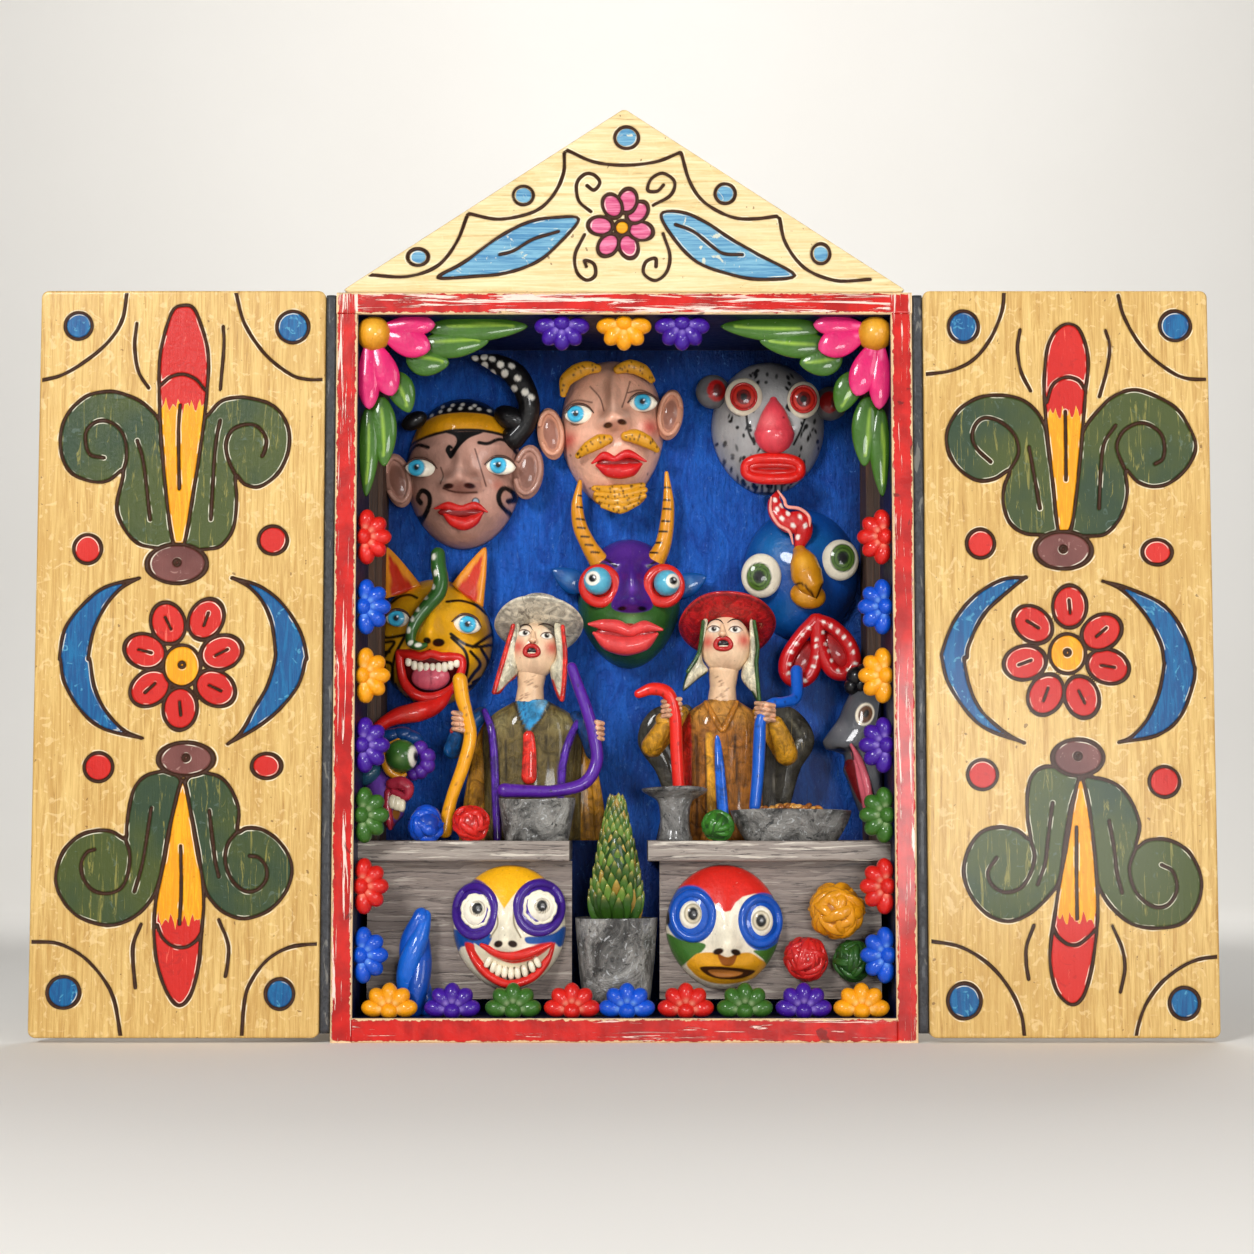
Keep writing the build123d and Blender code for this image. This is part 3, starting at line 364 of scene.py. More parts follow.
def paint(points, base, marks):
    # each mark lays its colour where its distance is below zero
    x, y, z = points.T
    colours = np.tile(np.array(rgb(base), float), (len(points), 1))
    for mark in marks:
        kind, colour, *rest = mark
        soft = 0.18
        if kind == "oval":
            amount = step(ovalDistance(x, z, *rest), soft)
        elif kind == "line":
            line, width = rest
            amount = step(lineDistance(x, z, smoothLine(line, 6 * len(line)) if len(line) > 2 else line) - width / 2, soft)
        elif kind == "patch":
            amount = step(patchDistance(x, z, smoothLine(rest[0], 6 * len(rest[0]), closed=True)), soft)
        elif kind == "poly":
            amount = step(patchDistance(x, z, rest[0]), soft)
        elif kind == "above":
            amount = step(rest[0] - z, soft if len(rest) < 2 else rest[1])
        elif kind == "below":
            amount = step(z - rest[0], soft if len(rest) < 2 else rest[1])
        elif kind == "dots":
            spots, radius = rest
            amount = np.zeros(len(points))
            for spot in spots:
                near = (x - spot[0])**2 + (z - spot[1])**2
                if len(spot) > 2:
                    near = near + (y - spot[2])**2
                amount = np.maximum(amount, step(np.sqrt(near) - radius, soft))
        # a soft round spot of colour: tints of the paint, and on faces, robes and the beak also painted shade and
        # painted highlights
        elif kind == "glow":
            amount = rest[2] * np.exp(-(((x - rest[0][0])**2 + (z - rest[0][1])**2) / rest[1]**2))
        elif kind == "where":
            amount = rest[0](x, y, z)
        amount = np.clip(amount, 0, 1)[:, None]
        colours = colours * (1 - amount) + np.array(rgb(colour)) * amount
    return colours
leftArt = {
    "bud": [[(-144.5, 238.5), (-147.4, 236.9), (-149.8, 230.1), (-151.3, 222.5), (-151.6, 214.9),
        (-151, 200.7), (-148.6, 175.6), (-146, 160.2), (-142.7, 160.2), (-139.9, 177.2), (-137.2, 196.5),
        (-135.8, 211.6), (-135.7, 222.5), (-137.7, 230.9), (-140.7, 237.7)]],
    "arch": [[(-151, 212.2), (-147.9, 214.9), (-143.7, 215.8), (-139.6, 214.1), (-136.6, 210.6)]],
    "budLine": [[(-144.6, 205.7), (-145, 196.5), (-144.5, 178.1)]],
    "scrollL": [[(-151.4, 200.7), (-156.9, 206.5), (-163.6, 209.5), (-168.6, 210.1), (-175.2, 208.6),
        (-180.9, 203.2), (-183.3, 196.5), (-182.8, 188.9), (-179.3, 183.1), (-172.2, 180.4),
        (-167.3, 181), (-162.8, 183.9), (-164.7, 173.1), (-163.3, 167.2), (-159.5, 161.8),
        (-154.5, 159.3), (-146, 160.2), (-148.6, 175.6), (-150.8, 194.8)]],
    "curlL": [[(-162.8, 183.9), (-161.8, 188.1), (-162.1, 193.1), (-163.8, 197.3), (-167.6, 200.2),
        (-171.8, 200.2), (-174.9, 197.3), (-175.1, 193.1), (-173.6, 189.4), (-169.1, 188.3)]],
    "veinL": [[(-158.4, 194), (-156.2, 186.4), (-153.8, 168.1)]],
    "scrollR": [[(-136.7, 200.7), (-134.8, 203.2), (-131.2, 207), (-126.2, 208.2), (-122, 208),
        (-115.4, 206.1), (-111.2, 202.3), (-109, 196.5), (-109.4, 189.8), (-112.6, 183.1),
        (-118.4, 178.9), (-123.3, 179.7), (-126.3, 182.7), (-125.8, 174.7), (-126.5, 166.4),
        (-128.9, 161.4), (-133, 158.7), (-142.7, 160.2), (-139.9, 177.2), (-137.5, 194.8)]],
    "curlR": [[(-126.3, 182.7), (-128.8, 188.1), (-129.5, 193.1), (-127.7, 197.3), (-123.6, 199.2),
        (-119.4, 198.6), (-116.5, 194.8), (-116.8, 191), (-117.7, 188.9)]],
    "veinR": [[(-131.5, 200.7), (-133, 191.4), (-134.1, 168.1)]],
    "strokes": [[(-159.1, 232.6), (-159.7, 225), (-158.3, 216.6), (-154.9, 211.2)],
        [(-130.9, 231.6), (-130.6, 225), (-131.6, 210.7)],
        [(-154.7, 37.7), (-157, 31.7), (-157.1, 26), (-156.2, 17.5)],
        [(-129.8, 39.1), (-126.8, 31.7), (-126.7, 26), (-127.5, 21.1)]],
    "corner": [[(-162.5, 243.2), (-164, 233.5), (-168.9, 225.9), (-177.1, 219.1), (-183.7, 215.4),
        (-189.9, 213.8)],
        [(-127, 243.2), (-124, 232.6), (-117.2, 222.5), (-108.8, 215.8), (-103, 214.1), (-97.2, 214.1)],
        [(-190.3, 32.1), (-181.1, 31.5), (-172.9, 27.2), (-166.2, 19.9), (-162.8, 13), (-160.6, 1.6)],
        [(-97.4, 31.5), (-106.8, 30.4), (-114.1, 26.4), (-119.3, 19.5), (-121.3, 13), (-122.1, 1.6)]],
    "crescent": [[(-157.7, 148.8), (-168.3, 146), (-175.7, 139.8), (-180.9, 132.4), (-182.4, 123.3),
        (-182, 122.5), (-180.6, 115), (-175.1, 106), (-167.6, 100.2), (-156, 97.4), (-161.8, 100.2),
        (-167.7, 106.8), (-171.1, 114.2), (-172.5, 122.5), (-173.1, 123.3), (-171.4, 132.4),
        (-167.4, 140.6), (-162.6, 146)],
        [(-126.4, 148.9), (-118, 146.4), (-110.5, 140.6), (-104.6, 131.5), (-102.5, 123.3),
        (-102.9, 122.5), (-105.2, 114.2), (-111.7, 106), (-119.1, 100.2), (-127.2, 95.7), (-123.2, 99.4),
        (-119.2, 106.8), (-115.1, 114.2), (-112.8, 122.5), (-112.8, 126.6), (-114.1, 134.8),
        (-117.1, 141.5), (-121.3, 146)]],
    "dots": [(-178.1, 231.8), (-108.2, 231.4), (-173.9, 158.5), (-113.9, 161.4), (-144.9, 153.7),
        (-169.2, 87.9), (-115.1, 88.3), (-179.2, 16), (-110.1, 15.5), (-141.1, 90.5)],
    "flower": [(-142.8, 120.5)],
    "petals": [(-147.5, 134.4), (-135.2, 135.7), (-154.8, 125.3), (-130.1, 124.9), (-153, 113.4),
        (-132, 113.4), (-143.2, 106.8)],
    "bud2": [[(-141.9, 83.8), (-145, 73.2), (-147.2, 60.1), (-149.1, 50.3), (-150.3, 43), (-150.5, 34.1),
        (-149.2, 24.4), (-145.8, 15.5), (-142, 11.8), (-138.4, 15.5), (-136.1, 24.4), (-135.4, 34.1),
        (-134.7, 43.8), (-135.3, 52), (-137, 60.9), (-139.2, 72.4)]],
    "arch2": [[(-149.6, 37.3), (-147.7, 33.3), (-144.4, 30.7), (-140.3, 30.4), (-137, 32.5),
        (-135.2, 35.3)]],
    "budLine2": [[(-142.4, 62.6), (-142, 48.7), (-142.4, 37.7)]],
    "scroll2L": [[(-147.2, 86.3), (-149.7, 86.4), (-154.2, 85), (-157.4, 81.4), (-159, 75.6),
        (-159.8, 69.1), (-160.2, 65), (-164.6, 67.3), (-169.5, 67.6), (-175.2, 65.8), (-180, 60.9),
        (-182.3, 53.6), (-181, 47.1), (-175.6, 40.6), (-167.3, 37.5), (-160.8, 38.1), (-155.1, 41.4),
        (-151.1, 46.3), (-149.2, 51.2), (-148, 56.9), (-145.8, 69.9), (-142.5, 83)]],
    "curl2L": [[(-160.2, 65), (-158.7, 60.1), (-159, 54.4), (-161, 49.5), (-165, 47.5), (-170, 48.3),
        (-173.3, 52), (-174.2, 56.9), (-172.5, 60.5), (-170, 61.5)]],
    "vein2L": [[(-152, 74.8), (-153.1, 66.6), (-154.6, 56.9), (-157, 48.1)]],
    "scroll2R": [[(-137, 85.9), (-133.7, 85.9), (-129.6, 84.5), (-126.2, 80.5), (-123.8, 74),
        (-124.2, 67.3), (-121.2, 68.4), (-116.2, 67.9), (-111.3, 64.6), (-107.5, 59.3), (-106.6, 53.6),
        (-109, 47.1), (-114.3, 41.8), (-121.6, 39.4), (-128.2, 41.4), (-133.1, 46.3), (-135, 51.2),
        (-136.6, 60.1), (-138.8, 71.5), (-141.2, 83)]],
    "curl2R": [[(-124.2, 67.3), (-127.2, 63.4), (-128, 57.7), (-125.9, 52), (-121.7, 48.3),
        (-117.6, 48.7), (-114.8, 52), (-114.9, 56), (-117.3, 58.9), (-120.2, 59.5)]],
    "vein2R": [[(-133.4, 74), (-132.2, 65), (-131.2, 57.7), (-130, 52.8)]],
}
rightArt = {
    "bud": [[(144.6, 232.5), (140.8, 230.1), (138.2, 225), (137.2, 218.3), (136.8, 209.9),
        (137.5, 197.3), (139.3, 179.7), (140.9, 164.3), (144.5, 164.3), (146.7, 175.6), (149.1, 197.3),
        (150.3, 209.9), (151.3, 218.3), (150.7, 225), (148.3, 230.9)]],
    "arch": [[(137.6, 206.5), (139.7, 212.4), (143.9, 214.8), (148.1, 213.7), (150.5, 209.9)]],
    "budLine": [[(143.6, 203.6), (143.6, 192.3), (143.5, 181)]],
    "scrollL": [[(137.2, 197.7), (134.6, 203.2), (129.7, 207.4), (123.1, 208.9), (115.6, 208.2),
        (108.9, 204), (105.1, 197.3), (105.3, 190.6), (108.7, 184.8), (114.4, 181), (120.3, 181.4),
        (125.3, 184.3), (123.4, 178.9), (123.1, 173.1), (125, 167.2), (129.1, 163.9), (134.1, 163.2),
        (140.9, 164.3), (139.3, 179.7), (137.5, 194.8)]],
    "curlL": [[(125.3, 184.3), (128.2, 189.8), (127.1, 195.6), (123, 199.8), (118, 201.5),
        (114.7, 199.8), (113.2, 195.6), (114.6, 191.4), (119.1, 187)]],
    "veinL": [[(131.6, 191.9), (133.1, 183.1), (134.9, 171.8)]],
    "scrollR": [[(149.5, 197.3), (152.9, 202.3), (158.8, 208.2), (165.5, 210.7), (172.1, 209.1),
        (179.5, 204.9), (183.6, 199), (185.9, 192.3), (183.3, 185.6), (177.4, 180.2), (171.6, 178.9),
        (166.6, 180.6), (163, 184.3), (163.4, 177.2), (161.5, 169.7), (157.3, 164.3), (153.1, 162.8),
        (144.5, 164.3), (146.7, 175.6), (148.8, 193.1)]],
    "curlR": [[(162.6, 184.8), (160.2, 191.4), (161.9, 196.5), (166.1, 199.4), (170.3, 199.4),
        (174.4, 196.5), (175.7, 192.3), (175.1, 188.1), (172.5, 186.3)]],
    "veinR": [[(159.9, 199), (156.1, 193.1), (154.9, 184.8), (154.1, 171.8)]],
    "strokes": [[(129.2, 230.5), (128.3, 224.2), (129.4, 216.6), (132.4, 210.3)],
        [(157.1, 230.3), (158.4, 225), (157.4, 217.5), (154.8, 208.4)],
        [(131.2, 37.3), (128.8, 30.8), (128.6, 25.2), (129.3, 20.2)],
        [(156.3, 37.2), (159.3, 30), (160.1, 23.6), (158.6, 16.1)]],
    "corner": [[(124.2, 243.8), (123.4, 236.9), (120, 228.4), (114.1, 220.8), (106.5, 217), (96.4, 215.6)],
        [(161.4, 241.9), (163.4, 234.3), (169, 224.6), (176.4, 217.9), (183, 214.5), (192, 214.1)],
        [(97.9, 32.3), (107.8, 30.4), (116.8, 24.8), (123.2, 17.1), (126.8, 9), (127.9, 0.8)],
        [(192, 27.6), (182.1, 26), (173, 20.3), (167.1, 13), (164.2, 5.8), (163, -0.3)]],
    "crescent": [[(129.8, 149.2), (122.3, 148.5), (113.2, 143.1), (106.5, 134.8), (102.9, 125.7),
        (102.7, 122.5), (104.6, 115), (110.3, 106), (116.8, 100.2), (128.1, 96), (121.8, 99.8),
        (115.2, 106), (111.6, 113.4), (109.8, 122.5), (110.7, 123.3), (111.4, 127.4), (116.4, 137.3),
        (124.8, 145.2)],
        [(155.4, 147.9), (163.6, 145.6), (175.1, 139.8), (181.5, 129.9), (184.2, 120), (184.2, 120),
        (183.7, 115), (179.4, 104.3), (171.9, 98.2), (160.2, 96.1), (163.6, 97.8), (168.7, 103.5),
        (172.5, 111.8), (174.3, 120.8), (174.3, 121.6), (173.2, 128.2), (168.4, 137.3), (161.1, 145.2)]],
    "dots": [(110.7, 231.5), (179.8, 231.8), (115.5, 160.3), (172.7, 157.5), (142.3, 158.1),
        (115.3, 85.5), (173.8, 83.2), (108.7, 13.3), (179, 12.6), (146.1, 91)],
    "flower": [(143.2, 124.5)],
    "petals": [(144.1, 139.8), (132.1, 134), (154.3, 131.5), (129.4, 121.6), (156.2, 120.4),
        (136, 111.3), (147.6, 110.5)],
    "bud2": [[(146.8, 84.8), (144.4, 76.4), (142.2, 63.4), (139.8, 52), (138.2, 42.2), (136.6, 32.5),
        (136.3, 24.4), (138.3, 16.3), (142.7, 12.1), (146.4, 14.3), (148.9, 21.1), (150.7, 30.8),
        (151.7, 40.6), (151.6, 50.3), (150.9, 61.7), (149.2, 76.4)]],
    "arch2": [[(137.3, 36.9), (138.9, 33.7), (142.1, 31.3), (145.4, 31.3), (148.7, 33.7), (150.9, 36.1)]],
    "budLine2": [[(145.3, 68.7), (145.1, 52.8), (145.1, 39.4)]],
    "scroll2L": [[(141.3, 87.3), (135.6, 88.1), (131.4, 85.5), (129.7, 79.7), (129.6, 71.5),
        (130.3, 64.8), (126.3, 67.6), (120.6, 68.7), (114.8, 67.1), (110.6, 61.7), (108.9, 54.4),
        (110.9, 47.1), (116.1, 41), (122.6, 38.6), (129.2, 40.6), (135.8, 46.3), (139.6, 52),
        (141.4, 63.4), (143.6, 75.6), (146.2, 84.5)]],
    "curl2L": [[(130.5, 64.6), (131.7, 59.3), (130.2, 53.6), (126.9, 49.1), (121.9, 47.9), (117.9, 50.3),
        (116.7, 54.4), (119.5, 58.9)]],
    "vein2L": [[(137.7, 76.4), (136.1, 65), (135.2, 57.7), (132.6, 50.3)]],
    "scroll2R": [[(151.5, 84.5), (158.5, 82.2), (163.3, 76.4), (165.6, 69.1), (164.3, 62.2), (168, 64.4),
        (174.6, 64.6), (181.1, 60.9), (185, 52.8), (184, 44.6), (179, 38.1), (170.8, 36.4),
        (162.7, 37.7), (156.2, 43), (152.2, 49.5), (151.3, 55.2), (150, 65), (147.6, 83)]],
    "curl2R": [[(164.3, 62.2), (162.1, 55.2), (164.1, 47.9), (169.3, 43.4), (174.2, 43.8), (177.2, 48.7),
        (176, 54.4), (172.4, 56.6)]],
    "vein2R": [[(155.8, 70.7), (157.3, 61.7), (158, 54.4), (159.6, 47.7)]],
}
gableArt = {
    "scallop": [[(-18.7, 290.2), (-9.9, 286.3), (0.1, 285.2), (10.2, 286.3), (18.4, 289.5)],
        [(-19.7, 289.3), (-20, 282.2), (-23.7, 274.6), (-30, 269.5), (-41.2, 267.2), (-51, 269.1)],
        [(-51.5, 268.2), (-55, 259.3), (-61.2, 251.6), (-71.2, 248.1), (-83.3, 248.7)],
        [(18.7, 289.3), (21.5, 279.7), (26.5, 272.6), (35.3, 267.9), (42.8, 267.3), (50, 268.2)],
        [(50.9, 267.5), (52.8, 259.3), (59, 251), (69, 246.8), (80.5, 247.2)]],
    "dots": [(0.8, 294.4), (-33.1, 275.1), (33.1, 275.7), (-67.5, 254.6), (64.3, 255.7)],
    "flower": [(-0.7, 264.4)],
    "petals": [(-3.9, 271.6), (1.1, 273.3), (4.3, 269.5), (5.4, 263.3), (1.4, 258.2), (-5.2, 258.6),
        (-7.8, 265)],
    "curl": [[(-10.9, 269.7), (-14.9, 273.3), (-15.6, 279), (-13, 282.2), (-9.9, 282), (-8, 279.4),
        (-9.9, 276.9), (-12.2, 278.4)],
        [(9.5, 271.8), (15.2, 275.2), (16.5, 279.7), (12.7, 282.5), (8.9, 280.7), (7.7, 276.9),
        (10.8, 276.5), (12.9, 278.6)],
        [(-13, 262.1), (-16.1, 255.4), (-15.5, 249.7), (-12.4, 246.9), (-9.5, 248.5), (-9.9, 252.3),
        (-13, 253.5), (-12.4, 251.4)],
        [(12.7, 262.4), (14.9, 255.4), (13.9, 249.7), (10.2, 246.8), (6.4, 249.1), (7, 252.9),
        (10.2, 254.2), (10.4, 251.4)]],
    "leaf": [[(-14.9, 267.2), (-22.4, 267.8), (-31.2, 266.3), (-41.2, 261.2), (-52.4, 252.9),
        (-60.9, 247.8), (-48.7, 248.2), (-38.7, 249.3), (-28.7, 252.9), (-21.2, 259.3)],
        [(12.1, 268.8), (19, 269.5), (26.5, 266.3), (35.2, 260.5), (44, 255.4), (55.8, 248.5),
        (43.9, 247.2), (33.9, 249.1), (23.9, 252.9), (16.4, 260.5)]],
    "midrib": [[(-21.5, 263.1), (-29.9, 260.5), (-36.2, 256.7), (-40.8, 255.4)],
        [(16.8, 265.4), (22.7, 263.1), (29, 258), (32.7, 255.7), (38.7, 255.4)]],
}


# ---------- camera, light and floor
def setStage():
    scene = bpy.context.scene
    scene.view_settings.view_transform = "Standard"
    eye = bpy.data.cameras.new("camera")
    eye.lens = 71.27
    eye.sensor_width = 36
    eye.clip_start = 0.05
    camera = bpy.data.objects.new("camera", eye)
    camera.location = (0.0009, -0.8325, 0.0688)
    camera.rotation_euler = (radians(94.6), 0, 0)
    scene.collection.objects.link(camera)
    scene.camera = camera

    for name, place, aim, size, power in (
            ("key", (-0.55, -1.2, 0.7), (0, 0, 0.14), 0.35, 13.5),
            ("fill", (0.85, -1.1, 0.5), (0, 0, 0.12), 0.6, 5.5),
            ("front", (0.25, -1.3, 0.02), (0, 0, 0.17), 0.4, 8.0),
            ("rim", (0.3, 0.9, 1.1), (0, 0, 0.12), 0.7, 5.0),
            ("wash", (0, 0.9, 1.3), (0, 2.4, 0.9), 1.2, 16.0)):
        light = bpy.data.lights.new(name, "AREA")
        light.shape = "DISK"
        light.size = size
        light.energy = power
        lamp = bpy.data.objects.new(name, light)
        lamp.location = place
        away = np.array(place) - np.array(aim)
        lamp.rotation_euler = (np.arctan2(np.hypot(away[0], away[1]), away[2]), 0, np.arctan2(away[0], -away[1]))
        scene.collection.objects.link(lamp)

    # floor running up into a backdrop: y and z along the profile, straight, quarter circle, straight
    turn = np.linspace(0, pi / 2, 24)
    y = np.concatenate([[-3.0], 1.3 + 0.9 * np.sin(turn), [2.2]])
    z = np.concatenate([[0.0], 0.9 - 0.9 * np.cos(turn), [3.5]])
    points = [(x, b, c) for b, c in zip(y, z) for x in (-4.0, 4.0)]
    faces = [(2 * i, 2 * i + 1, 2 * i + 3, 2 * i + 2) for i in range(len(y) - 1)]
    mesh = bpy.data.meshes.new("floor")
    mesh.from_pydata(points, [], faces)
    mesh.polygons.foreach_set("use_smooth", [True] * len(faces))
    floor = bpy.data.objects.new("floor", mesh)
    scene.collection.objects.link(floor)
    f = Finish("floor", roughness=0.8, specular=0.2)
    f.set("Base Color", f.mix(f.noise(3.0, 4), rgb("ebe7e0"), rgb("f2efe9")))
    mesh.materials.append(f.material)

    world = bpy.data.worlds.new("studio")
    world.use_nodes = True
    world.node_tree.nodes["Background"].inputs[0].default_value = (0.80, 0.82, 0.86, 1)
    world.node_tree.nodes["Background"].inputs[1].default_value = 0.17
    scene.world = world


setStage()
print("stage")


# ---------- boards that keep their CAD shape
def caseFinish():
    f = Finish("caseBoards", roughness=0.3, coat=0.15, coatRoughness=0.08, specular=0.22)
    x, y, z = (f.axis(i) * 1000 for i in range(3))
    depth = y + 32.5
    side = x.size()
    outer = (94 - side).least(z).least(243 - z)                     # mm to the frame's outer arris
    inner = (side - 87).most(7.8 - z).most(z - 235.7)               # mm to its inner arris
    ragged = f.noise(420, 5, roughness=0.65)
    front = (depth - 1.3 * ragged).under(0.1, 0.35)
    upright = side.over(86.5, 87.5)
    lengthways = f.node("ShaderNodeMix", {"data_type": "FLOAT"}, {
        0: upright, 2: f.noise(1.0, 6, f.stretched(26, 500, 620), 0.8, 0.7),
        3: f.noise(1.0, 6, f.stretched(620, 500, 26), 0.8, 0.7)})
    topWear = z.over(225, 242)
    scratch = (lengthways + 0.07 * topWear).over(0.585, 0.60)
    wear = (outer.least(inner) - 2.6 * (ragged - 0.3)).under(0.0, 0.25)
    red = f.mix(f.noise(120, 4).over(0.35, 0.65), rgb("c81a12"), rgb("a3120e"))
    red = f.mix(f.noise(1.0, 4, f.stretched(300, 300, 30)).over(0.55, 0.7) * 0.5, red, rgb("cc2a1e"))
    edge = f.mix(scratch * 0.95, red, rgb("f8d2c4"))
    edge = f.mix(wear * 0.92, edge, f.mix(ragged, rgb("f3ddb4"), rgb("d8b27c")))
    crack = f.noise(1.0, 4, f.stretched(60, 300, 60), 1.5).over(0.66, 0.69)
    edge = f.mix(crack * 0.7, edge, rgb("5a1410"))
    # inside faces of the boards: the blue paint darkened to near black, painted shade inside the box
    dark = f.mix(f.noise(90, 4), rgb("0c1030"), rgb("161d4c"))
    outside = f.mix(f.noise(1.0, 5, f.stretched(60, 60, 900)), rgb("d9bd84"), rgb("c2a066"))
    outside = f.mix(f.noise(500, 3).over(0.66, 0.72) * 0.6, outside, rgb("7d5c36"))
    walls = f.mix(outer.under(0.15, 0.3), dark, outside)
    walls = f.mix((depth - 59).over(1, 4) * outer.over(0.3, 0.6), walls, rgb("4a3524"))
    f.set("Base Color", f.mix(front, walls, edge))
    f.set("Roughness", 0.24 + 0.3 * ragged + 0.2 * scratch * front)
    f.set("Coat Weight", 0.05 + 0.2 * front)
    height = f.noise(260, 4) + 0.8 * (1 - scratch * front) + 0.7 * (1 - wear * front)
    f.set("Normal", f.bump(height, 0.0003, 0.8))
    return f


def backFinish():
    f = Finish("backPanel", roughness=0.4, coat=0.04, coatRoughness=0.2, specular=0.25)
    x, y, z = (f.axis(i) * 1000 for i in range(3))
    brush = f.noise(1.0, 6, f.stretched(140, 100, 60), 1.2, 0.7)
    fine = f.noise(1.0, 5, f.stretched(900, 900, 160), 0.6, 0.7)
    blue = f.mix(brush.over(0.3, 0.7), rgb("11429c"), rgb("1c62c6"))
    blue = f.mix((1 - fine.over(0.25, 0.5)) * 0.45, blue, rgb("0b2668"))
    # painted shade: the blue darkens within 16 mm of the side walls and the ceiling
    edge = (87 - x.size()).least(235.7 - z)
    blue = f.mix(edge.under(1, 16) * 0.75, blue, rgb("0a1238"))
    # painted shade: the blue is darker below the table tops
    blue = f.mix(z.under(60, 70) * 0.7, blue, rgb("101c56"))
    blue = f.mix(f.noise(1.0, 5, f.stretched(520, 500, 260), 1.6, 0.7).over(0.6, 0.68) * 0.5, blue, rgb("5a8ed8"))
    bare = f.mix(f.noise(1.0, 5, f.stretched(500, 60, 18), 1.0), rgb("5b4029"), rgb("7c5b3c"))
    f.set("Base Color", f.mix((y - 30.5).over(0, 0.4), blue, bare))
    f.set("Roughness", 0.3 + 0.3 * fine)
    f.set("Normal", f.bump(fine + 0.8 * brush + 0.7 * f.noise(420, 3, distortion=1.0), 0.0014, 1.0))
    return f


def tableFinish(name, pale):
    f = Finish(name, roughness=0.55, coat=0.12, coatRoughness=0.3)
    x, y, z = (f.axis(i) * 1000 for i in range(3))
    wave = f.node("ShaderNodeTexWave", {"wave_type": "BANDS", "bands_direction": "Z", "wave_profile": "SAW"}, {
        "Vector": f.stretched(18, 40, 60), "Scale": 1.2, "Distortion": 7.0, "Detail": 4, "Detail Scale": 1.4,
        "Detail Roughness": 0.62}, 1)
    grain = f.noise(1.0, 6, f.stretched(50, 200, 900), 1.4, 0.7)
    base = f.mix(wave * 0.6 + grain * 0.4, rgb("6d6059" if not pale else "80746c"), rgb("96897f" if not pale else "aba095"))
    base = f.mix(grain.under(0.38, 0.46) * 0.85, base, rgb("352c29"))
    worn = f.noise(1.0, 5, f.stretched(40, 700, 700), 0.5, 0.6)
    base = f.mix(worn.over(0.56, 0.64) * (0.9 if pale else 0.35), base, rgb("d8cfc0"))
    f.set("Base Color", base)
    f.set("Roughness", 0.42 + 0.3 * grain)
    f.set("Normal", f.bump(grain + 0.6 * wave, 0.0006, 0.9))
    return f


def plainWood(name, dark, light):
    f = Finish(name, roughness=0.6)
    grain = f.noise(1.0, 6, f.stretched(500, 300, 22), 1.2, 0.65)
    f.set("Base Color", f.mix(grain.over(0.25, 0.75), rgb(dark), rgb(light)))
    f.set("Roughness", 0.5 + 0.3 * grain)
    f.set("Normal", f.bump(grain, 0.0006, 0.8))
    return f


def nailFinish():
    f = Finish("nails", roughness=0.4)
    f.shader.inputs["Metallic"].default_value = 0.9
    rust = f.noise(1500, 4)
    f.set("Base Color", f.mix(rust.over(0.45, 0.6), rgb("5b5650"), rgb("6b4026")))
    f.set("Roughness", 0.3 + 0.4 * rust)
    return f


def dress(names, finish):
    for name in names.split():
        nodes[name].data.materials.clear()
        nodes[name].data.materials.append(finish.material)


dress("side_panel_left side_panel_right top_panel bottom_panel", caseFinish())
dress("back_panel", backFinish())
dress("table_top_left table_top_right", tableFinish("tableTops", True))
dress("table_front_left table_front_right", tableFinish("tableFronts", False))
dress("pediment_cleat", plainWood("cleat", "4a3524", "7a5a3c"))
dress("side_battens", plainWood("battens", "1e130d", "5a3c28"))
dress("case_nails", nailFinish())
print("boards")


# ---------- doors and pediment: painted boards with cut lines
def slab(x, z, front, thick, edge):
    # front face is the grid (x, z); its border runs round the arris, then straight back, and
    # the back is one flat face: ring k sits edge sin(a) outwards and edge (1 - cos(a)) back
    rows, columns = x.shape
    grid = np.stack([x, np.full(x.shape, front), z], -1).reshape(-1, 3)
    index = np.arange(rows * columns).reshape(rows, columns)
    faces = np.stack([index[:-1, :-1], index[:-1, 1:], index[1:, 1:], index[1:, :-1]], -1).reshape(-1, 4)
    border = np.concatenate([index[0, :-1], index[:-1, -1], index[-1, :0:-1], index[:0:-1, 0]])
    line = grid[border]
    run = np.roll(line, -1, axis=0) - np.roll(line, 1, axis=0)
    out = np.column_stack([run[:, 2], np.zeros(len(run)), -run[:, 0]])
    out /= np.linalg.norm(out, axis=1)[:, None] + 1e-12
    turns = np.linspace(0, pi / 2, 5)[1:]
    sides = [(edge * sin(a), edge * (1 - cos(a))) for a in turns]
    sides += [(edge * cos(a), thick - edge * (1 - sin(a))) for a in turns]
    points, m, last = [grid], len(border), border
    faces = faces.tolist()
    for k, (outwards, back) in enumerate(sides):
        ring = line + out * outwards
        ring[:, 1] = front + back
        points.append(ring)
        now = rows * columns + k * m + np.arange(m)
        faces += np.stack([np.roll(last, -1), last, now, np.roll(now, -1)], -1).tolist()
        last = now
    faces.append(last[::-1].tolist())
    return np.vstack(points), faces, rows * columns


def sharp(line):                        # doubles the top and bottom points, so that they stay pointed
    heights = [p[1] for p in line]
    ends = {heights.index(max(heights)), heights.index(min(heights))}
    return [p for i, p in enumerate(line) for p in ([p] * (3 if i in ends else 1))]


def union(*parts):
    return np.minimum.reduce(parts)


def closed(x, z, line, pointed=False):
    points = sharp(line) if pointed else line
    return patchDistance(x, z, smoothLine(points, 5 * len(points), closed=True))


def open_(x, z, lines):
    return union(*[lineDistance(x, z, smoothLine(line, 5 * len(line))) for line in lines])


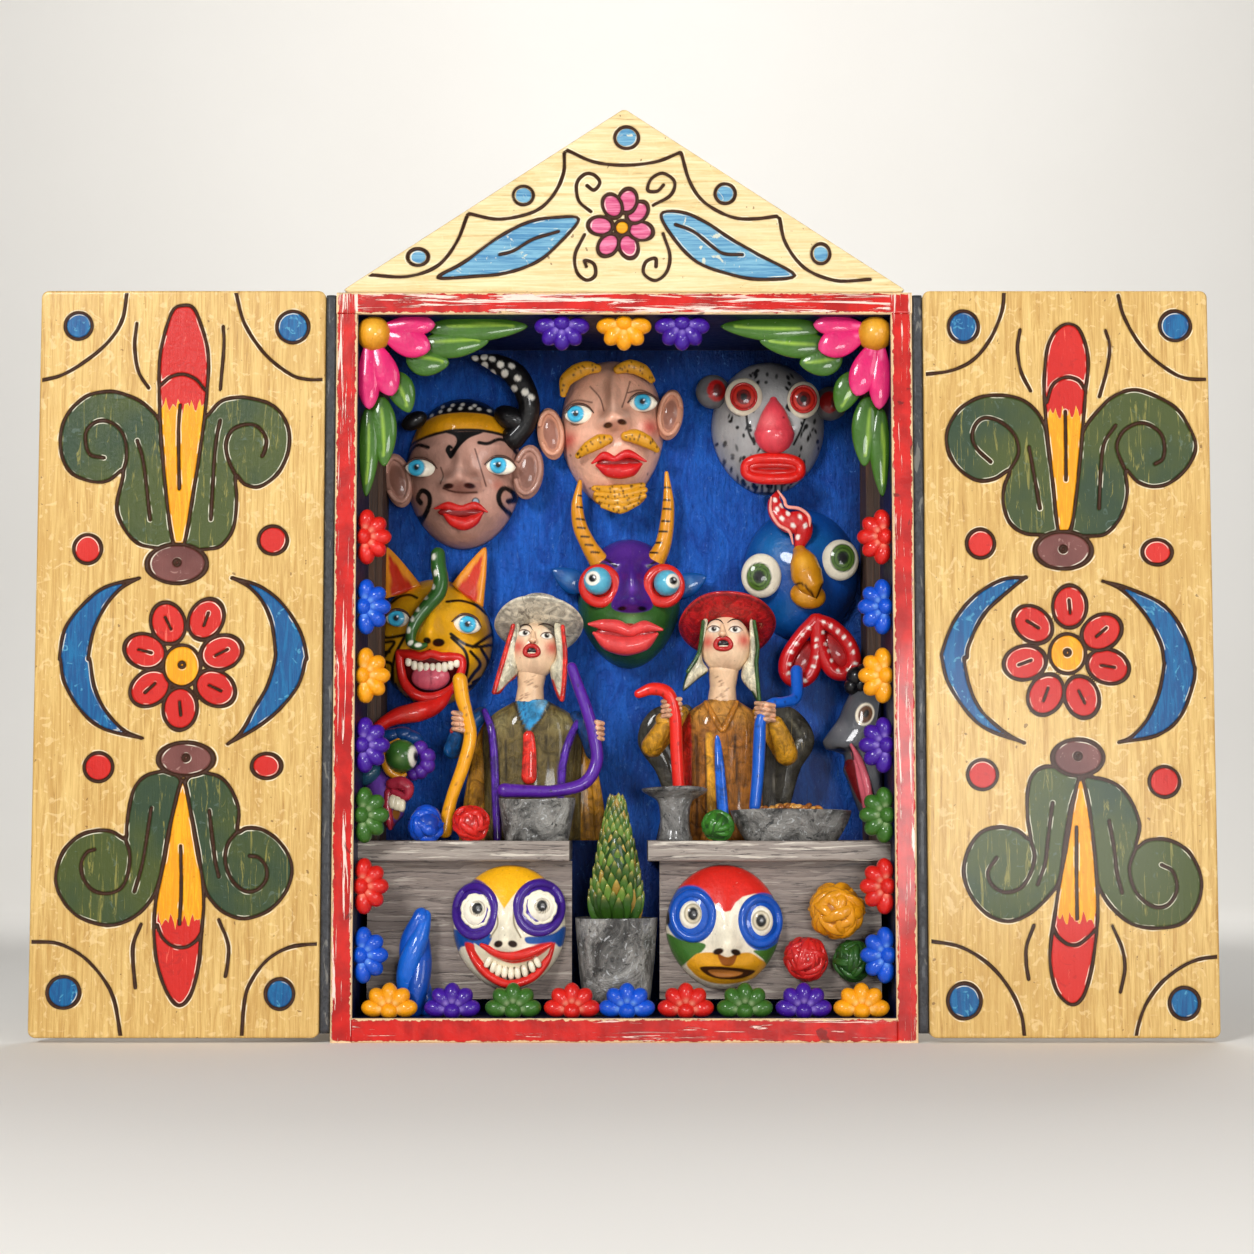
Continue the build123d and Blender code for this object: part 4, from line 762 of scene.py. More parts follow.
def flowerFields(x, z, middle, heart, petals, petalHalf, stroke):
    core = ovalDistance(x, z, middle, heart)
    fill, cuts, laid = np.full(x.shape, 99.0), np.abs(core), core
    for px, pz in petals:
        away = np.degrees(np.arctan2(pz - middle[1], px - middle[0]))
        one = ovalDistance(x, z, (px, pz), petalHalf, away)
        cuts = np.where(laid > 0.0, np.minimum(cuts, np.abs(one)), cuts)
        laid = np.minimum(laid, one)
        fill = np.minimum(fill, one)
        if stroke:
            c, s = cos(radians(away + 8)), sin(radians(away + 8))
            cuts = np.minimum(cuts, lineDistance(x, z, [(px - stroke * c, pz - stroke * s), (px + stroke * c, pz + stroke * s)]) + 0.08)
    return core, np.maximum(fill, -core), np.where(core < 0, np.abs(core), cuts)


def doorFields(x, z, art, dots, heart, redUpper, redLower, seed):
    fingers = 1.3 * np.sin(2.9 * x + seed) + 1.1 * np.sin(1.6 * x + 2 * seed) + 0.7 * np.sin(5.3 * x)
    bud, bud2 = closed(x, z, art["bud"][0]), closed(x, z, art["bud2"][0])
    ovals = [ovalDistance(x, z, place, half) for place, half in zip(art["dots"], dots)]
    brown = union(ovals[4], ovals[9])
    red = union(np.maximum(bud, redUpper - z + fingers), np.maximum(bud2, z - redLower - fingers),
                *[ovals[i] for i in (2, 3, 5, 6)])
    yellow = union(np.maximum(bud, z - redUpper - fingers), np.maximum(bud2, redLower - z + fingers))
    green = union(*[np.maximum(closed(x, z, art[k][0]), -other) for k, other in
                    (("scrollL", bud), ("scrollR", bud), ("scroll2L", bud2), ("scroll2R", bud2))])
    scrolls = [np.abs(closed(x, z, art[k][0])) + 99 * (other < 0) for k, other in
               (("scrollL", bud), ("scrollR", bud), ("scroll2L", bud2), ("scroll2R", bud2))]
    blue = union(*[closed(x, z, c, True) for c in art["crescent"]], *[ovals[i] for i in (0, 1, 7, 8)])
    core, petals, flowerCuts = flowerFields(x, z, art["flower"][0], heart, art["petals"], (6.9, 5.5), 2.2)
    cuts = union(open_(x, z, art["arch"] + art["arch2"]), open_(x, z, art["budLine"] + art["budLine2"]),
                 open_(x, z, sum((art[k] for k in ("curlL", "curlR", "curl2L", "curl2R",
                                                   "veinL", "veinR", "vein2L", "vein2R")), [])),
                 open_(x, z, art["strokes"] + art["corner"]), *scrolls, np.abs(bud), np.abs(bud2))
    cuts = np.where(brown < 0, 9, cuts)
    cuts = union(cuts, np.abs(blue), flowerCuts, *[np.abs(d) for d in ovals])
    pips = [(p[0], p[1] + 0.4) for p in (art["dots"][4], art["dots"][9], art["flower"][0])]
    cuts = union(cuts, *[np.abs(np.hypot(x - a, z - b) - 0.9) for a, b in pips])
    over = lambda d: np.maximum(d, -brown)
    return {"red": over(union(red, petals)), "yellow": over(union(yellow, core)), "green": over(green),
            "blue": blue, "brown": brown, "cuts": cuts}


def gableFields(x, z, art):
    sizes = ((3.9, 3.6), (3.3, 3.1), (3.3, 3.3), (3.4, 2.8), (3.0, 3.3))
    ovals = [ovalDistance(x, z, place, half) for place, half in zip(art["dots"], sizes)]
    leaf = union(*[closed(x, z, line, False) for line in art["leaf"]])
    core, petals, flowerCuts = flowerFields(x, z, art["flower"][0], (2.4, 2.4), art["petals"], (4.1, 3.1), 0)
    dots = union(*ovals)
    cuts = union(np.abs(leaf), np.abs(dots), flowerCuts,
                 open_(x, z, art["scallop"] + art["curl"] + art["midrib"]))
    return {"blue": union(leaf, dots + 0.5), "pink": petals, "yellow": core, "cuts": cuts}


def paintedFinish(name, kind):
    f = Finish(name, roughness=0.36, coat=0.12, coatRoughness=0.12, specular=0.25)
    x, y, z = (f.axis(i) * 1000 for i in range(3))
    gable = kind == "gable"
    along = f.stretched(40, 300, 800) if gable else f.stretched(800, 300, 45)
    grain = f.noise(1.0, 6, along, 0.7, 0.7)
    broad = f.noise(22, 4, roughness=0.6)
    swirl = f.noise(260, 4, distortion=1.5)
    fine = f.noise(1400, 3)
    cream = f.mix(grain.over(0.32, 0.68), rgb("b98f4c" if not gable else "d2b478"), rgb("dcba74" if not gable else "ecd9ac"))
    cream = f.mix(broad.over(0.42, 0.72) * 0.45, cream, rgb("bf964f" if not gable else "e0c493"))
    cream = f.mix(swirl.over(0.56, 0.66) * 0.4, cream, rgb("ecd19a"))
    cream = f.mix(grain.under(0.30, 0.36) * 0.55, cream, rgb("8a6537"))
    cream = f.mix(f.noise(430, 2).over(0.70, 0.73) * 0.7, cream, rgb("6e4c28"))
    wobble = (f.noise(330, 3) - 0.5) * 1.1
    streak = f.noise(1.0, 5, along if gable else f.stretched(620, 300, 60), 1.1, 0.7)

    def paint(colour, key, tone, inset=0.15):
        return f.mix((f.attribute(key) + wobble * 0.6 + inset).under(-0.1, 0.14), colour, tone)

    red = f.mix(broad.over(0.35, 0.7), rgb("bd1810"), rgb("c9261c"))
    red = f.mix(streak.over(0.62, 0.68) * 0.5, red, rgb("f07a66"))
    red = f.mix(swirl.under(0.34, 0.4) * 0.5, red, rgb("a81a16"))
    yellow = f.mix(streak.over(0.45, 0.65), rgb("e29206"), rgb("f0aa12"))
    yellow = f.mix(f.noise(520, 2).over(0.66, 0.72) * 0.6, yellow, rgb("c77d0c"))
    green = f.mix(broad.over(0.40, 0.60), rgb("424d1e"), rgb("2b3f28"))
    green = f.mix(streak.over(0.57, 0.66) * 0.75, green, rgb("8b8440"))
    green = f.mix(swirl.over(0.62, 0.72) * 0.35, green, rgb("62766e"))
    blue = f.mix(streak.over(0.4, 0.65), rgb("064a80"), rgb("0a6496"))
    blue = f.mix(swirl.over(0.62, 0.68) * 0.55, blue, rgb("57a6c2"))
    brown = f.mix(broad.over(0.4, 0.6), rgb("5e312c"), rgb("774640"))
    brown = f.mix(swirl.over(0.62, 0.7) * 0.6, brown, rgb("a77f74"))
    colour = cream
    if gable:
        wash = f.mix(streak.over(0.35, 0.6), rgb("3c7aa4"), rgb("74a8c0"))
        wash = f.mix(swirl.over(0.63, 0.68) * 0.8, wash, rgb("d5d2b8"))
        pink = f.mix(streak.over(0.4, 0.65), rgb("c0406e"), rgb("de7c9c"))
        colour = paint(colour, "blue", wash)
        colour = paint(colour, "pink", pink)
        colour = paint(colour, "yellow", yellow)
    else:
        for key, tone in (("green", green), ("red", red), ("yellow", yellow), ("blue", blue), ("brown", brown)):
            colour = paint(colour, key, tone)
    cuts = f.attribute("cuts")
    inked = cuts + (f.noise(200, 3) - 0.5) * 0.5
    # painted highlight: broken pale patches just outside each cut line
    glint = inked.over(0.62, 0.72) * inked.under(0.85, 1.05) * f.noise(120, 2).over(0.5, 0.6)
    colour = f.mix(glint * 0.7, colour, rgb("fbf3dc"))
    line = inked.under(0.42 if gable else 0.46, 0.66)
    colour = f.mix(line, colour, f.mix(fine, rgb("2a160c"), rgb("4a2b17")))
    depth = y + 32.5
    colour = f.mix(depth.over(0.6, 2.5) * 0.55, colour, f.mix(grain, rgb("8a6238"), rgb("c19a5e")))
    bare = f.mix(f.noise(1.0, 5, f.stretched(500, 60, 18), 1.0), rgb("80603c"), rgb("b08d5c"))
    colour = f.mix((depth - 6.6).over(0, 0.3), colour, bare)
    f.set("Base Color", colour)
    f.set("Roughness", 0.26 + 0.25 * grain + 0.15 * line)
    height = cuts.over(0.05, 0.95) * 2.2 + 0.5 * grain + 0.35 * swirl + 0.12 * fine
    f.set("Normal", f.bump(height, 0.00035, 1.0))
    return f


def roundedGrid(x0, x1, z0, z1, corner, pitch):
    # a square-cornered grid whose corner squares are drawn in to quarter discs
    columns, rows = int((x1 - x0) / pitch), int((z1 - z0) / pitch)
    x, z = np.meshgrid(np.linspace(x0, x1, columns), np.linspace(z0, z1, rows))
    a = x - np.clip(x, x0 + corner, x1 - corner)
    b = z - np.clip(z, z0 + corner, z1 - corner)
    most, length = np.maximum(np.abs(a), np.abs(b)), np.hypot(a, b)
    pull = np.where((a != 0) & (b != 0), most / np.maximum(length, 1e-9), 1)
    return x - a + a * pull, z - b + b * pull


def makeBoard(name, x, z, fields, finish, body, front, thick, edge):
    points, faces, face = slab(x, z, front, thick, edge)
    rest = len(points) - face
    fields = {key: np.concatenate([values.ravel(), np.full(rest, 30.0)]) for key, values in fields.items()}
    return makePiece(name, points, faces, finish, body, "cream_board", [body if body != "case" else "pediment"],
                     fields=fields)


doorFinish = paintedFinish("doorPaint", "door")
for name, art, dots, heart, split in (
        ("door_left", leftArt, ((4.4, 4.4), (5.2, 5.2), (4.5, 4.7), (4.7, 4.6), (9.7, 6.4), (4.6, 4.6),
                                (4.8, 4.0), (5.2, 5.0), (4.5, 4.8), (8.9, 5.4)), (6.0, 6.8), (205.5, 39.0)),
        ("door_right", rightArt, ((4.9, 5.2), (5.0, 4.9), (4.5, 4.7), (4.8, 4.1), (9.2, 6.1), (4.8, 4.8),
                                  (4.9, 4.9), (5.3, 5.6), (4.8, 5.0), (8.2, 5.9)), (5.8, 6.4), (203.0, 39.5))):
    low, high = (np.array(corner) * 1000 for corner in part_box(name))
    x, z = roundedGrid(low[0] + 0.8, high[0] - 0.8, low[2] + 0.8, high[2] - 0.8, 1.6, 0.55)
    fields = doorFields(x, z, art, dots, heart, *split, 1.0 if name == "door_left" else 2.3)
    makeBoard(name + "_board", x, z, fields, doorFinish, name, low[1] - frontY, high[1] - low[1], 0.8)

low, high = (np.array(corner) * 1000 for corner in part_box("pediment"))
t = np.linspace(0, 1, 125)[:, None]
across = np.linspace(-1, 1, 300)[None]
x = across * ((high[0] - 1.6) * (1 - t) + 0.5)
z = low[2] + 0.7 + (high[2] - low[2] - 1.5) * t + 0 * across
makeBoard("pediment_board", x, z, gableFields(x, z, gableArt), paintedFinish("gablePaint", "gable"), "case",
          low[1] - frontY, high[1] - low[1], 0.7)
print("painted boards")


# ---------- leather hinges: a strip across each joint, with a flange behind it
def leatherFinish():
    f = Finish("leather", roughness=0.6, coat=0.1)
    crease = f.noise(700, 5, distortion=0.6, roughness=0.65)
    worn = f.noise(1.0, 5, f.stretched(500, 500, 120), 0.8)
    colour = f.mix(crease.over(0.35, 0.65), rgb("232427"), rgb("3b3c40"))
    f.set("Base Color", f.mix(worn.over(0.6, 0.68) * 0.7, colour, rgb("77746c")))
    f.set("Roughness", 0.5 + 0.3 * crease)
    f.set("Normal", f.bump(crease, 0.0004, 0.9))
    return f


def leatherStrip(sign, finish):
    leaf = "hinge_door_leaf_left" if sign < 0 else "hinge_door_leaf_right"
    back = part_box("hinge_case_leaves")[1].y * 1000 - frontY
    # section from the case's side, round the front of the gap, to the door's edge, 0.8 thick
    inner, outer = 94.05, 97.45
    mid = [(inner + 0.4, back - 0.2), (inner + 0.4, 6.0), (inner + 0.4, 2.0), (inner + 0.7, 0.75),
           (95.75, 0.55), (outer - 0.7, 0.75), (outer - 0.4, 2.0), (outer - 0.4, 4.2), (outer - 0.4, 6.6)]
    line = smoothLine(mid, 56)
    normal = np.gradient(line, axis=0)
    normal /= np.linalg.norm(normal, axis=1)[:, None]
    normal = np.column_stack([-normal[:, 1], normal[:, 0]])
    around = np.vstack([line + 0.38 * normal, (line - 0.38 * normal)[::-1]])
    z = np.linspace(3.0, 242.0, 160)
    wave = 0.12 * np.sin(0.21 * z) + 0.08 * np.sin(0.53 * z + 1)
    rows = np.stack([np.column_stack([sign * around[:, 0], around[:, 1] + w, np.full(len(around), h)])
                     for h, w in zip(z, wave)])
    rows = np.concatenate([rows[:1], rows, rows[-1:]])
    points, faces = shell(rows)
    name = "leather_" + ("left" if sign < 0 else "right")
    strip = makePiece(name, points, faces, finish, None, "leather", ["hinge_case_leaves", leaf])
    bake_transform(strip)


leather = leatherFinish()
for sign in (-1, 1):
    leatherStrip(sign, leather)
print("leather")


# ---------- lacquered paste
def lacquer(name, roughness=0.3, coat=0.4, mottle=0.5, dirt=0.45, lumps=0.0007):
    # paint held in the mesh, uneven in tone, with small dark flecks and a lumpy surface
    f = Finish(name, roughness=roughness, coat=coat, coatRoughness=0.05, specular=0.25)
    broad = f.noise(110, 4, roughness=0.6)
    fine = f.noise(700, 4, roughness=0.65)
    colour = f.attribute("paint", 0)
    streaks = f.noise(1.0, 5, f.stretched(330, 200, 140), 1.6, 0.7)
    colour = f.shade(colour, (1 - mottle) + mottle * (broad + streaks))
    colour = f.mix(fine.over(0.66, 0.74) * dirt, colour, rgb("24140c"))
    colour = f.mix(fine.under(0.26, 0.32) * 0.22, colour, rgb("f4ead4"))
    f.set("Base Color", colour)
    f.set("Roughness", roughness - 0.08 + 0.3 * fine)
    f.set("Normal", f.bump(broad + 0.25 * fine, lumps, 0.9))
    return f


def stoneFinish():
    f = Finish("stonePaste", roughness=0.4, coat=0.45, coatRoughness=0.12, specular=0.4)
    broad = f.noise(75, 6, distortion=1.2, roughness=0.7)
    fine = f.noise(380, 5, distortion=1.0, roughness=0.7)
    colour = f.shade(f.attribute("paint", 0), broad.over(0.32, 0.7) * 1.6 + 0.12)
    # pale flecks: a lighter mottle in the paste, and painted fine highlights as well
    colour = f.mix(fine.over(0.57, 0.66) * 0.75, colour, rgb("c4c6c6"))
    colour = f.mix(fine.under(0.36, 0.44) * 0.85, colour, rgb("1c1e20"))
    f.set("Base Color", colour)
    f.set("Roughness", 0.28 + 0.3 * fine)
    f.set("Normal", f.bump(broad + 0.35 * fine, 0.0030, 1.0))
    return f


def clothFinish():
    f = Finish("clothPaste", roughness=0.34, coat=0.4, coatRoughness=0.07, specular=0.25)
    streak = f.noise(1.0, 6, f.stretched(420, 300, 45), 1.4, 0.7)
    broad = f.noise(240, 5, distortion=1.2, roughness=0.65)
    colour = f.shade(f.attribute("paint", 0), broad.over(0.3, 0.7) * 1.0 + 0.55)
    colour = f.mix(streak.under(0.34, 0.44) * 0.6, colour, rgb("2a1c0e"))
    colour = f.mix(streak.over(0.63, 0.70) * 0.45, colour, rgb("d8c08a"))
    f.set("Base Color", colour)
    f.set("Roughness", 0.2 + 0.3 * streak)
    f.set("Normal", f.bump(streak + broad, 0.0008, 0.9))
    return f


gloss = lacquer("gloss")
skin = lacquer("skinPaste", 0.34, 0.3, 0.55, 0.5, 0.0009)
stone = stoneFinish()
cloth = clothFinish()


def at(x, depth, z):
    return np.array([x, depth, z], float)


def routed(*points):                    # (x, z, depth) to (x, depth, z)
    return [(x, d, z) for x, z, d in points]


# ---------- border flowers: a half-round heart and five petals fanned over 164 degrees
petalColours = {"red": "cc1c14", "blue": "0c4cc0", "yellow": "ea980c", "purple": "3c148c", "green": "34621e"}


def borderFlower(clay, place, up, colour):
    # up points away from the wall; petals are egg shapes with pale seams where they meet the heart
    tone = petalColours[colour]
    pale = {"red": "f2a488", "blue": "7fb2ee", "yellow": "f9dc8e", "purple": "a890dd", "green": "a5b98a"}[colour]
    side = np.array([up[2], 0, -up[0]])
    heart = place + up * 2.1
    angle = np.degrees(np.arctan2(up[2], up[0])) - 90
    for k, a in enumerate(np.linspace(-82, 82, 5)):
        a = radians(a)
        way = up * cos(a) + side * sin(a)
        middle = place + up * 2.1 + way * (5.2 if k in (1, 2, 3) else 5.4)
        turn = np.degrees(np.arctan2(way[2], way[0]))
        seam = place + up * 2.3 + way * 2.9
        clay.blob(middle, (3.75, 3.0, 2.8), tone, [("glow", pale, (seam[0], seam[2]), 0.9, 0.6)],
                  turn=turn, rings=20, sides=28, taper=0.0)
    rim = lambda x, y, z: np.exp(-((np.hypot((x - heart[0]), (z - heart[2])) - 3.05) / 0.28)**2) * 0.8
    clay.blob(heart, (3.1, 3.6, 2.7), tone, [("where", pale, rim)], turn=angle, rings=18, sides=26)


def borderFlowers(name, node, places, up, colours):
    clay = Clay()
    for place, colour in zip(places, colours.split()):
        borderFlower(clay, np.array(place, float), np.array(up, float), colour)
    clay.finish(name, gloss, "case", "flower_paste", [node])


flowerDepth = 5.4
borderFlowers("flowers_low", "flowers_bottom",
              [(x, flowerDepth, floorZ) for x in (-75.5, -55.3, -35.7, -16.8, 0.9, 19.8, 38.8, 57.7, 76.3)],
              (0, 0, 1), "yellow purple green red blue red green purple yellow")
sideZ = (163.1, 140.2, 117.8, 95.2, 72.6, 49.7, 27.6)
borderFlowers("flowers_port", "flowers_left", [(-wallX, flowerDepth, z) for z in sideZ], (1, 0, 0),
              "red blue yellow purple green red blue")
borderFlowers("flowers_starboard", "flowers_right", [(wallX, flowerDepth, z) for z in sideZ], (-1, 0, 0),
              "red blue yellow purple green red blue")
borderFlowers("flowers_high", "flowers_top", [(x, flowerDepth, ceilingZ) for x in (-20.5, -0.1, 19.0)],
              (0, 0, -1), "purple yellow purple")


# ---------- corner flowers and leaves
cornerPetals = (((8.5, 4.5), (24.9, 2.2), 6.6), ((8, 6.5), (23.3, 10.4), 9.0),
                ((6, 9), (10.9, 26), 8.4), ((3.3, 9.5), (3.4, 30.5), 6.8))
cornerLeaves = (((22, 3.2), (55.3, 2.2), 6.4), ((20, 8.6), (42.5, 6.9), 7.0), ((15, 12.5), (29.3, 14.6), 7.6),
                ((10, 17.5), (16.4, 31), 7.0), ((6.5, 25.5), (8.1, 49), 6.8), ((2.8, 29), (2.2, 59), 5.2))


def corner(sign, side):
    def place(across, down, depth):
        return at(sign * (wallX - across), depth, ceilingZ - down)

    flower, leaves = Clay(), Clay()
    for start, end, width in cornerPetals:
        a, b = place(start[0] * 0.7, start[1] * 0.7, 5.6), place(*end, 6.6)
        middle = (a + b) / 2
        seam = lambda x, y, z, a=a, b=b: 0.45 * np.exp(-(lineDistance(x, z, [(a[0], a[2]), (b[0] * 0.3 + a[0] * 0.7, b[2] * 0.3 + a[2] * 0.7)]) / 0.5)**2)
        flower.pad(a, b, width * 1.12, 3.6, "cc1c62", [("where", "f28ab4", seam),
                                                      ("glow", "e85a94", (b[0], b[2]), 3.0, 0.4)],
                   groove=0.22, rows=30, sides=32, widest=0.62, blunt=0.62, droop=0.6)
    flower.blob(place(4.6, 5.3, 6.3), (5.7, 5.2, 5.9), "c98312", [("glow", "e4ae3a", tuple(place(5.4, 4.4, 0)[[0, 2]]), 3.2, 0.7)],
                rings=24, sides=36)
    for i, (start, end, width) in enumerate(cornerLeaves):
        a, b = place(*start, 8.4), place(*end, 8.9)
        ways = np.array([b[0] - a[0], b[2] - a[2]])
        normal = np.array([-ways[1], ways[0]]) / np.linalg.norm(ways)
        p = [np.array([a[0], a[2]]) + ways * t + normal * s for t, s in ((0.2, 0.3), (0.55, 0.7), (0.85, 0.1))]
        leaves.pad(a, b, width * 1.3, 3.1, "3a6418", [("line", "86a834", p, 0.9), ("glow", "22400f", (a[0], a[2]), 7.0, 0.7)],
                   groove=0.25, rows=34, sides=28, widest=0.42, blunt=0.62, bend=0.6 * sign * (1 if i < 3 else -1))
    flower.finish("corner_bloom_" + side, gloss, "case", "flower_paste", ["corner_flower_" + side])
    leaves.finish("corner_leaf_" + side, gloss, "case", "leaf_paste", ["corner_leaves_" + side])


corner(-1, "left")
corner(1, "right")
print("flowers")


# ---------- serpents
def serpent(name, node, path, radii, tone, dark, body_slot, freckles=True):
    clay = Clay()
    line = routed(*path)
    marks = []
    if freckles:
        for x, d, z in smoothLine(line, 9)[1:-1]:
            marks.append(("oval", dark, (x + rng.uniform(-1, 1), z + rng.uniform(-1.4, 1.4)), (0.35, 0.5)))
    clay.roll(line, radii, tone, marks, sides=20, count=110)
    clay.finish(name, gloss, "case", body_slot, [node])


serpent("serpent_a", "serpent_yellow",
        [(-54.9, 117.6, 27.6), (-54.0, 111.6, 27.2), (-52.6, 106.4, 27), (-51.3, 98.8, 27), (-53.4, 89.6, 27),
         (-57.6, 77.6, 27.6), (-59.6, 67.4, 28)], (2.5, 2.4, 2.1, 2.2, 2.2, 2.0, 2.4), "e39a14", "8a520a", "yellow_paste")
serpent("serpent_b", "serpent_purple",
        [(-17.6, 122.0, 29), (-15.4, 115.6, 28.5), (-12.6, 108.0, 27.6), (-10.1, 99.0, 27), (-9.2, 90.4, 27),
         (-13.4, 83.2, 26), (-23.4, 80.6, 25), (-33.0, 80.6, 25), (-39.8, 80.8, 25)],
        (1.7, 1.9, 2.0, 2.1, 2.1, 2.1, 2.0, 2.1, 2.4), "521f92", "2a0d52", "purple_paste")
serpent("serpent_c", "serpent_red",
        [(4.8, 113.0, 27), (9.4, 114.6, 27), (14.4, 113.2, 27), (16.8, 106.4, 27), (17.4, 94.0, 26.6),
         (18.2, 80.0, 26)], (1.5, 2.1, 2.2, 2.1, 2.1, 2.0), "dc2418", "9c130c", "red_paste")
serpent("serpent_d", "serpent_blue",
        [(43.4, 75.4, 27), (44.4, 86.0, 27), (45.0, 97.0, 27), (45.6, 104.4, 27), (49.0, 109.6, 28.6),
         (53.4, 110.4, 31), (57.8, 112.4, 34.6), (58.4, 121.4, 40)],
        (1.9, 2.0, 2.1, 1.9, 1.8, 1.8, 2.0, 2.1), "1458bc", "0a2c66", "blue_paste")
print("serpents")


# ---------- stone wares, balls, plant and column
def turnedWare(clay, place, profile, base, squash=1.0, wobble=0.35, sides=72):
    # profile of (radius, height) turned round the upright axis, radius (1 + wobble waves)
    line = smoothLine([p for p in profile for _ in range(1)], 60)
    line = np.vstack([[0.01, line[0, 1]], line, [0.01, line[-1, 1]]])
    u = np.linspace(0, 2 * pi, sides, endpoint=False)
    wave = 1 + wobble * 0.02 * (np.sin(3 * u + place[0]) + 0.7 * np.sin(5 * u + 1) + 0.5 * np.sin(9 * u))
    high = 0.25 * wobble * np.sin(2 * u + place[0])
    r, h = line[:, 0][:, None], line[:, 1][:, None]
    top = h / max(line[:, 1])
    rows = np.stack([place[0] + r * wave * np.cos(u), place[1] + r * wave * squash * np.sin(u),
                     place[2] + h + high * top], -1)
    clay.add(rows, base)


def ware(name, node, x, depth, z, profile, squash=1.0, wobble=1.0, tone="7d7b76"):
    clay = Clay()
    turnedWare(clay, (x, depth, z), profile, tone, squash, wobble)
    clay.finish(name, stone, "case", "grey_paste", [node])


ware("bowl", "stone_bowl", -29.3, 25, tableZ,
     [(9.9, 0), (10.6, 0.6), (11.8, 7), (12.7, 13.2), (12.2, 13.8), (11.2, 13.4), (9.8, 10.8), (6.0, 9.8)], 0.66)
ware("cup", "pedestal_cup", 16.8, 26, tableZ,
     [(5.9, 0), (5.8, 0.8), (5.0, 4), (4.9, 9), (5.8, 13.2), (8.6, 15.2), (10.7, 16.6), (10.6, 17.6), (9.2, 17.4), (5.8, 15.4)],
     1.0, 1.4, "6e6c69")
ware("dish", "food_dish", 55.5, 25, tableZ,
     [(14.2, 0), (15.4, 0.5), (18.2, 5.4), (19.7, 9.6), (19.4, 10.3), (18.2, 9.9), (16, 7.6), (9, 6.8)], 0.5, 1.3, "777571")
ware("pot", "plant_pot", -2.6, 22, floorZ,
     [(9.6, 0), (10.5, 0.8), (12.0, 12), (13.5, 29.6), (13.1, 30.6), (12.0, 30.2), (11.6, 28.5), (7, 28.0)], 1.0, 0.5, "84827d")

food = Clay()
for i in range(90):
    a, q = rng.uniform(0, 2 * pi), rng.uniform(0, 1)**0.5
    x, d = 55.6 + 15.2 * q * cos(a), 25 + 6.8 * q * sin(a)
    top = 72.6 + 2.6 * (1 - q**2) + rng.uniform(-0.4, 0.5)
    food.blob((x, d, top), (rng.uniform(1.1, 2.0), rng.uniform(1.0, 1.6), rng.uniform(0.8, 1.3)),
              ("a9692a", "c1843a", "8c5220", "d29a4c")[i % 4], turn=rng.uniform(-60, 60), rings=9, sides=12)
food.blob((55.5, 25, 70.6), (17.0, 7.8, 4.4), "7d4a1e", rings=16, sides=40)
food.finish("crumbs", gloss, "case", "yellow_paste", ["dish_food"])


def woundBall(clay, middle, radius, tone, dark, strands, width, seed):
    # a ball under strands: each strand is part of a great circle, raised a little
    middle = np.array(middle, float)
    clay.blob(middle, (radius * 0.93,) * 3, dark, rings=20, sides=28)
    draw = np.random.default_rng(seed)
    for i in range(strands):
        axis = draw.normal(size=3)
        axis /= np.linalg.norm(axis)
        first = np.cross(axis, draw.normal(size=3))
        first /= np.linalg.norm(first)
        second = np.cross(axis, first)
        t = np.linspace(0, draw.uniform(1.2, 2.6), 9)[:, None]
        lift = radius * (0.86 + 0.07 * draw.uniform())
        path = middle + lift * (np.cos(t) * first + np.sin(t) * second) * (1 - 0.02 * np.cos(3 * t))
        clay.roll(path, [width * 0.3, width * 0.8, width, width * 0.8, width * 0.3], tone, sides=10, count=26, flat=0.55)


balls = Clay()
woundBall(balls, (-65.5, 21, tableZ + 5.2), 5.2, "0c48b8", "0a3a9c", 22, 1.9, 3)
woundBall(balls, (-50.6, 21, tableZ + 5.6), 5.6, "cc2018", "a81810", 44, 1.35, 4)
woundBall(balls, (30.8, 20, tableZ + 4.9), 4.9, "34701f", "25501a", 44, 1.1, 5)
balls.finish("small_balls", gloss, "case", "blue_paste", ["table_balls"])
yarn = Clay()
woundBall(yarn, (69.2, panelFace - 6.6, 41.6), 8.3, "d28a10", "a8660c", 52, 2.0, 6)
woundBall(yarn, (59.3, panelFace - 5.4, 25.9), 6.9, "c0201e", "941412", 62, 1.35, 7)
woundBall(yarn, (74.4, panelFace - 4.9, 25.2), 6.2, "28541e", "1c4016", 56, 1.25, 8)
yarn.finish("yarn", gloss, "case", "yellow_paste", ["yarn_balls"])

plant = Clay()
count = 190
for i in range(count):
    t = i / (count - 1)
    a = i * 2.39996
    height = 37.2 + 37.0 * t**1.05
    radius = (9.0 - 6.9 * t**1.25) * (1 - 0.1 * (i % 3 == 0))
    out = np.array([cos(a), sin(a), 0])
    base = at(-2.6, 22, height - 1.5) + out * radius * 0.6
    tip = at(-2.6, 22, height + 8.6 - 2.6 * t) + out * (radius * 1.06)
    tone = ("2f5418", "456d22", "27470f", "5a7c28", "39611c")[i % 5] if i % 9 else "9a7a2e"
    plant.pad(base, tip, 3.9 - 0.9 * t, 1.3, tone, [("glow", "b9a554", (tip[0], tip[2]), 1.4, 0.7)],
              groove=0.3, rows=12, sides=12, widest=0.42, blunt=0.8)
plant.blob((-2.6, 22, 54), (6.4, 6.4, 17.5), "22401a", rings=20, sides=28, taper=-0.35)
plant.blob((-2.6, 22, 77.2), (1.7, 1.7, 2.0), "a5843a", rings=12, sides=16)
plant.finish("plant", gloss, "case", "leaf_paste", ["cone_plant"])

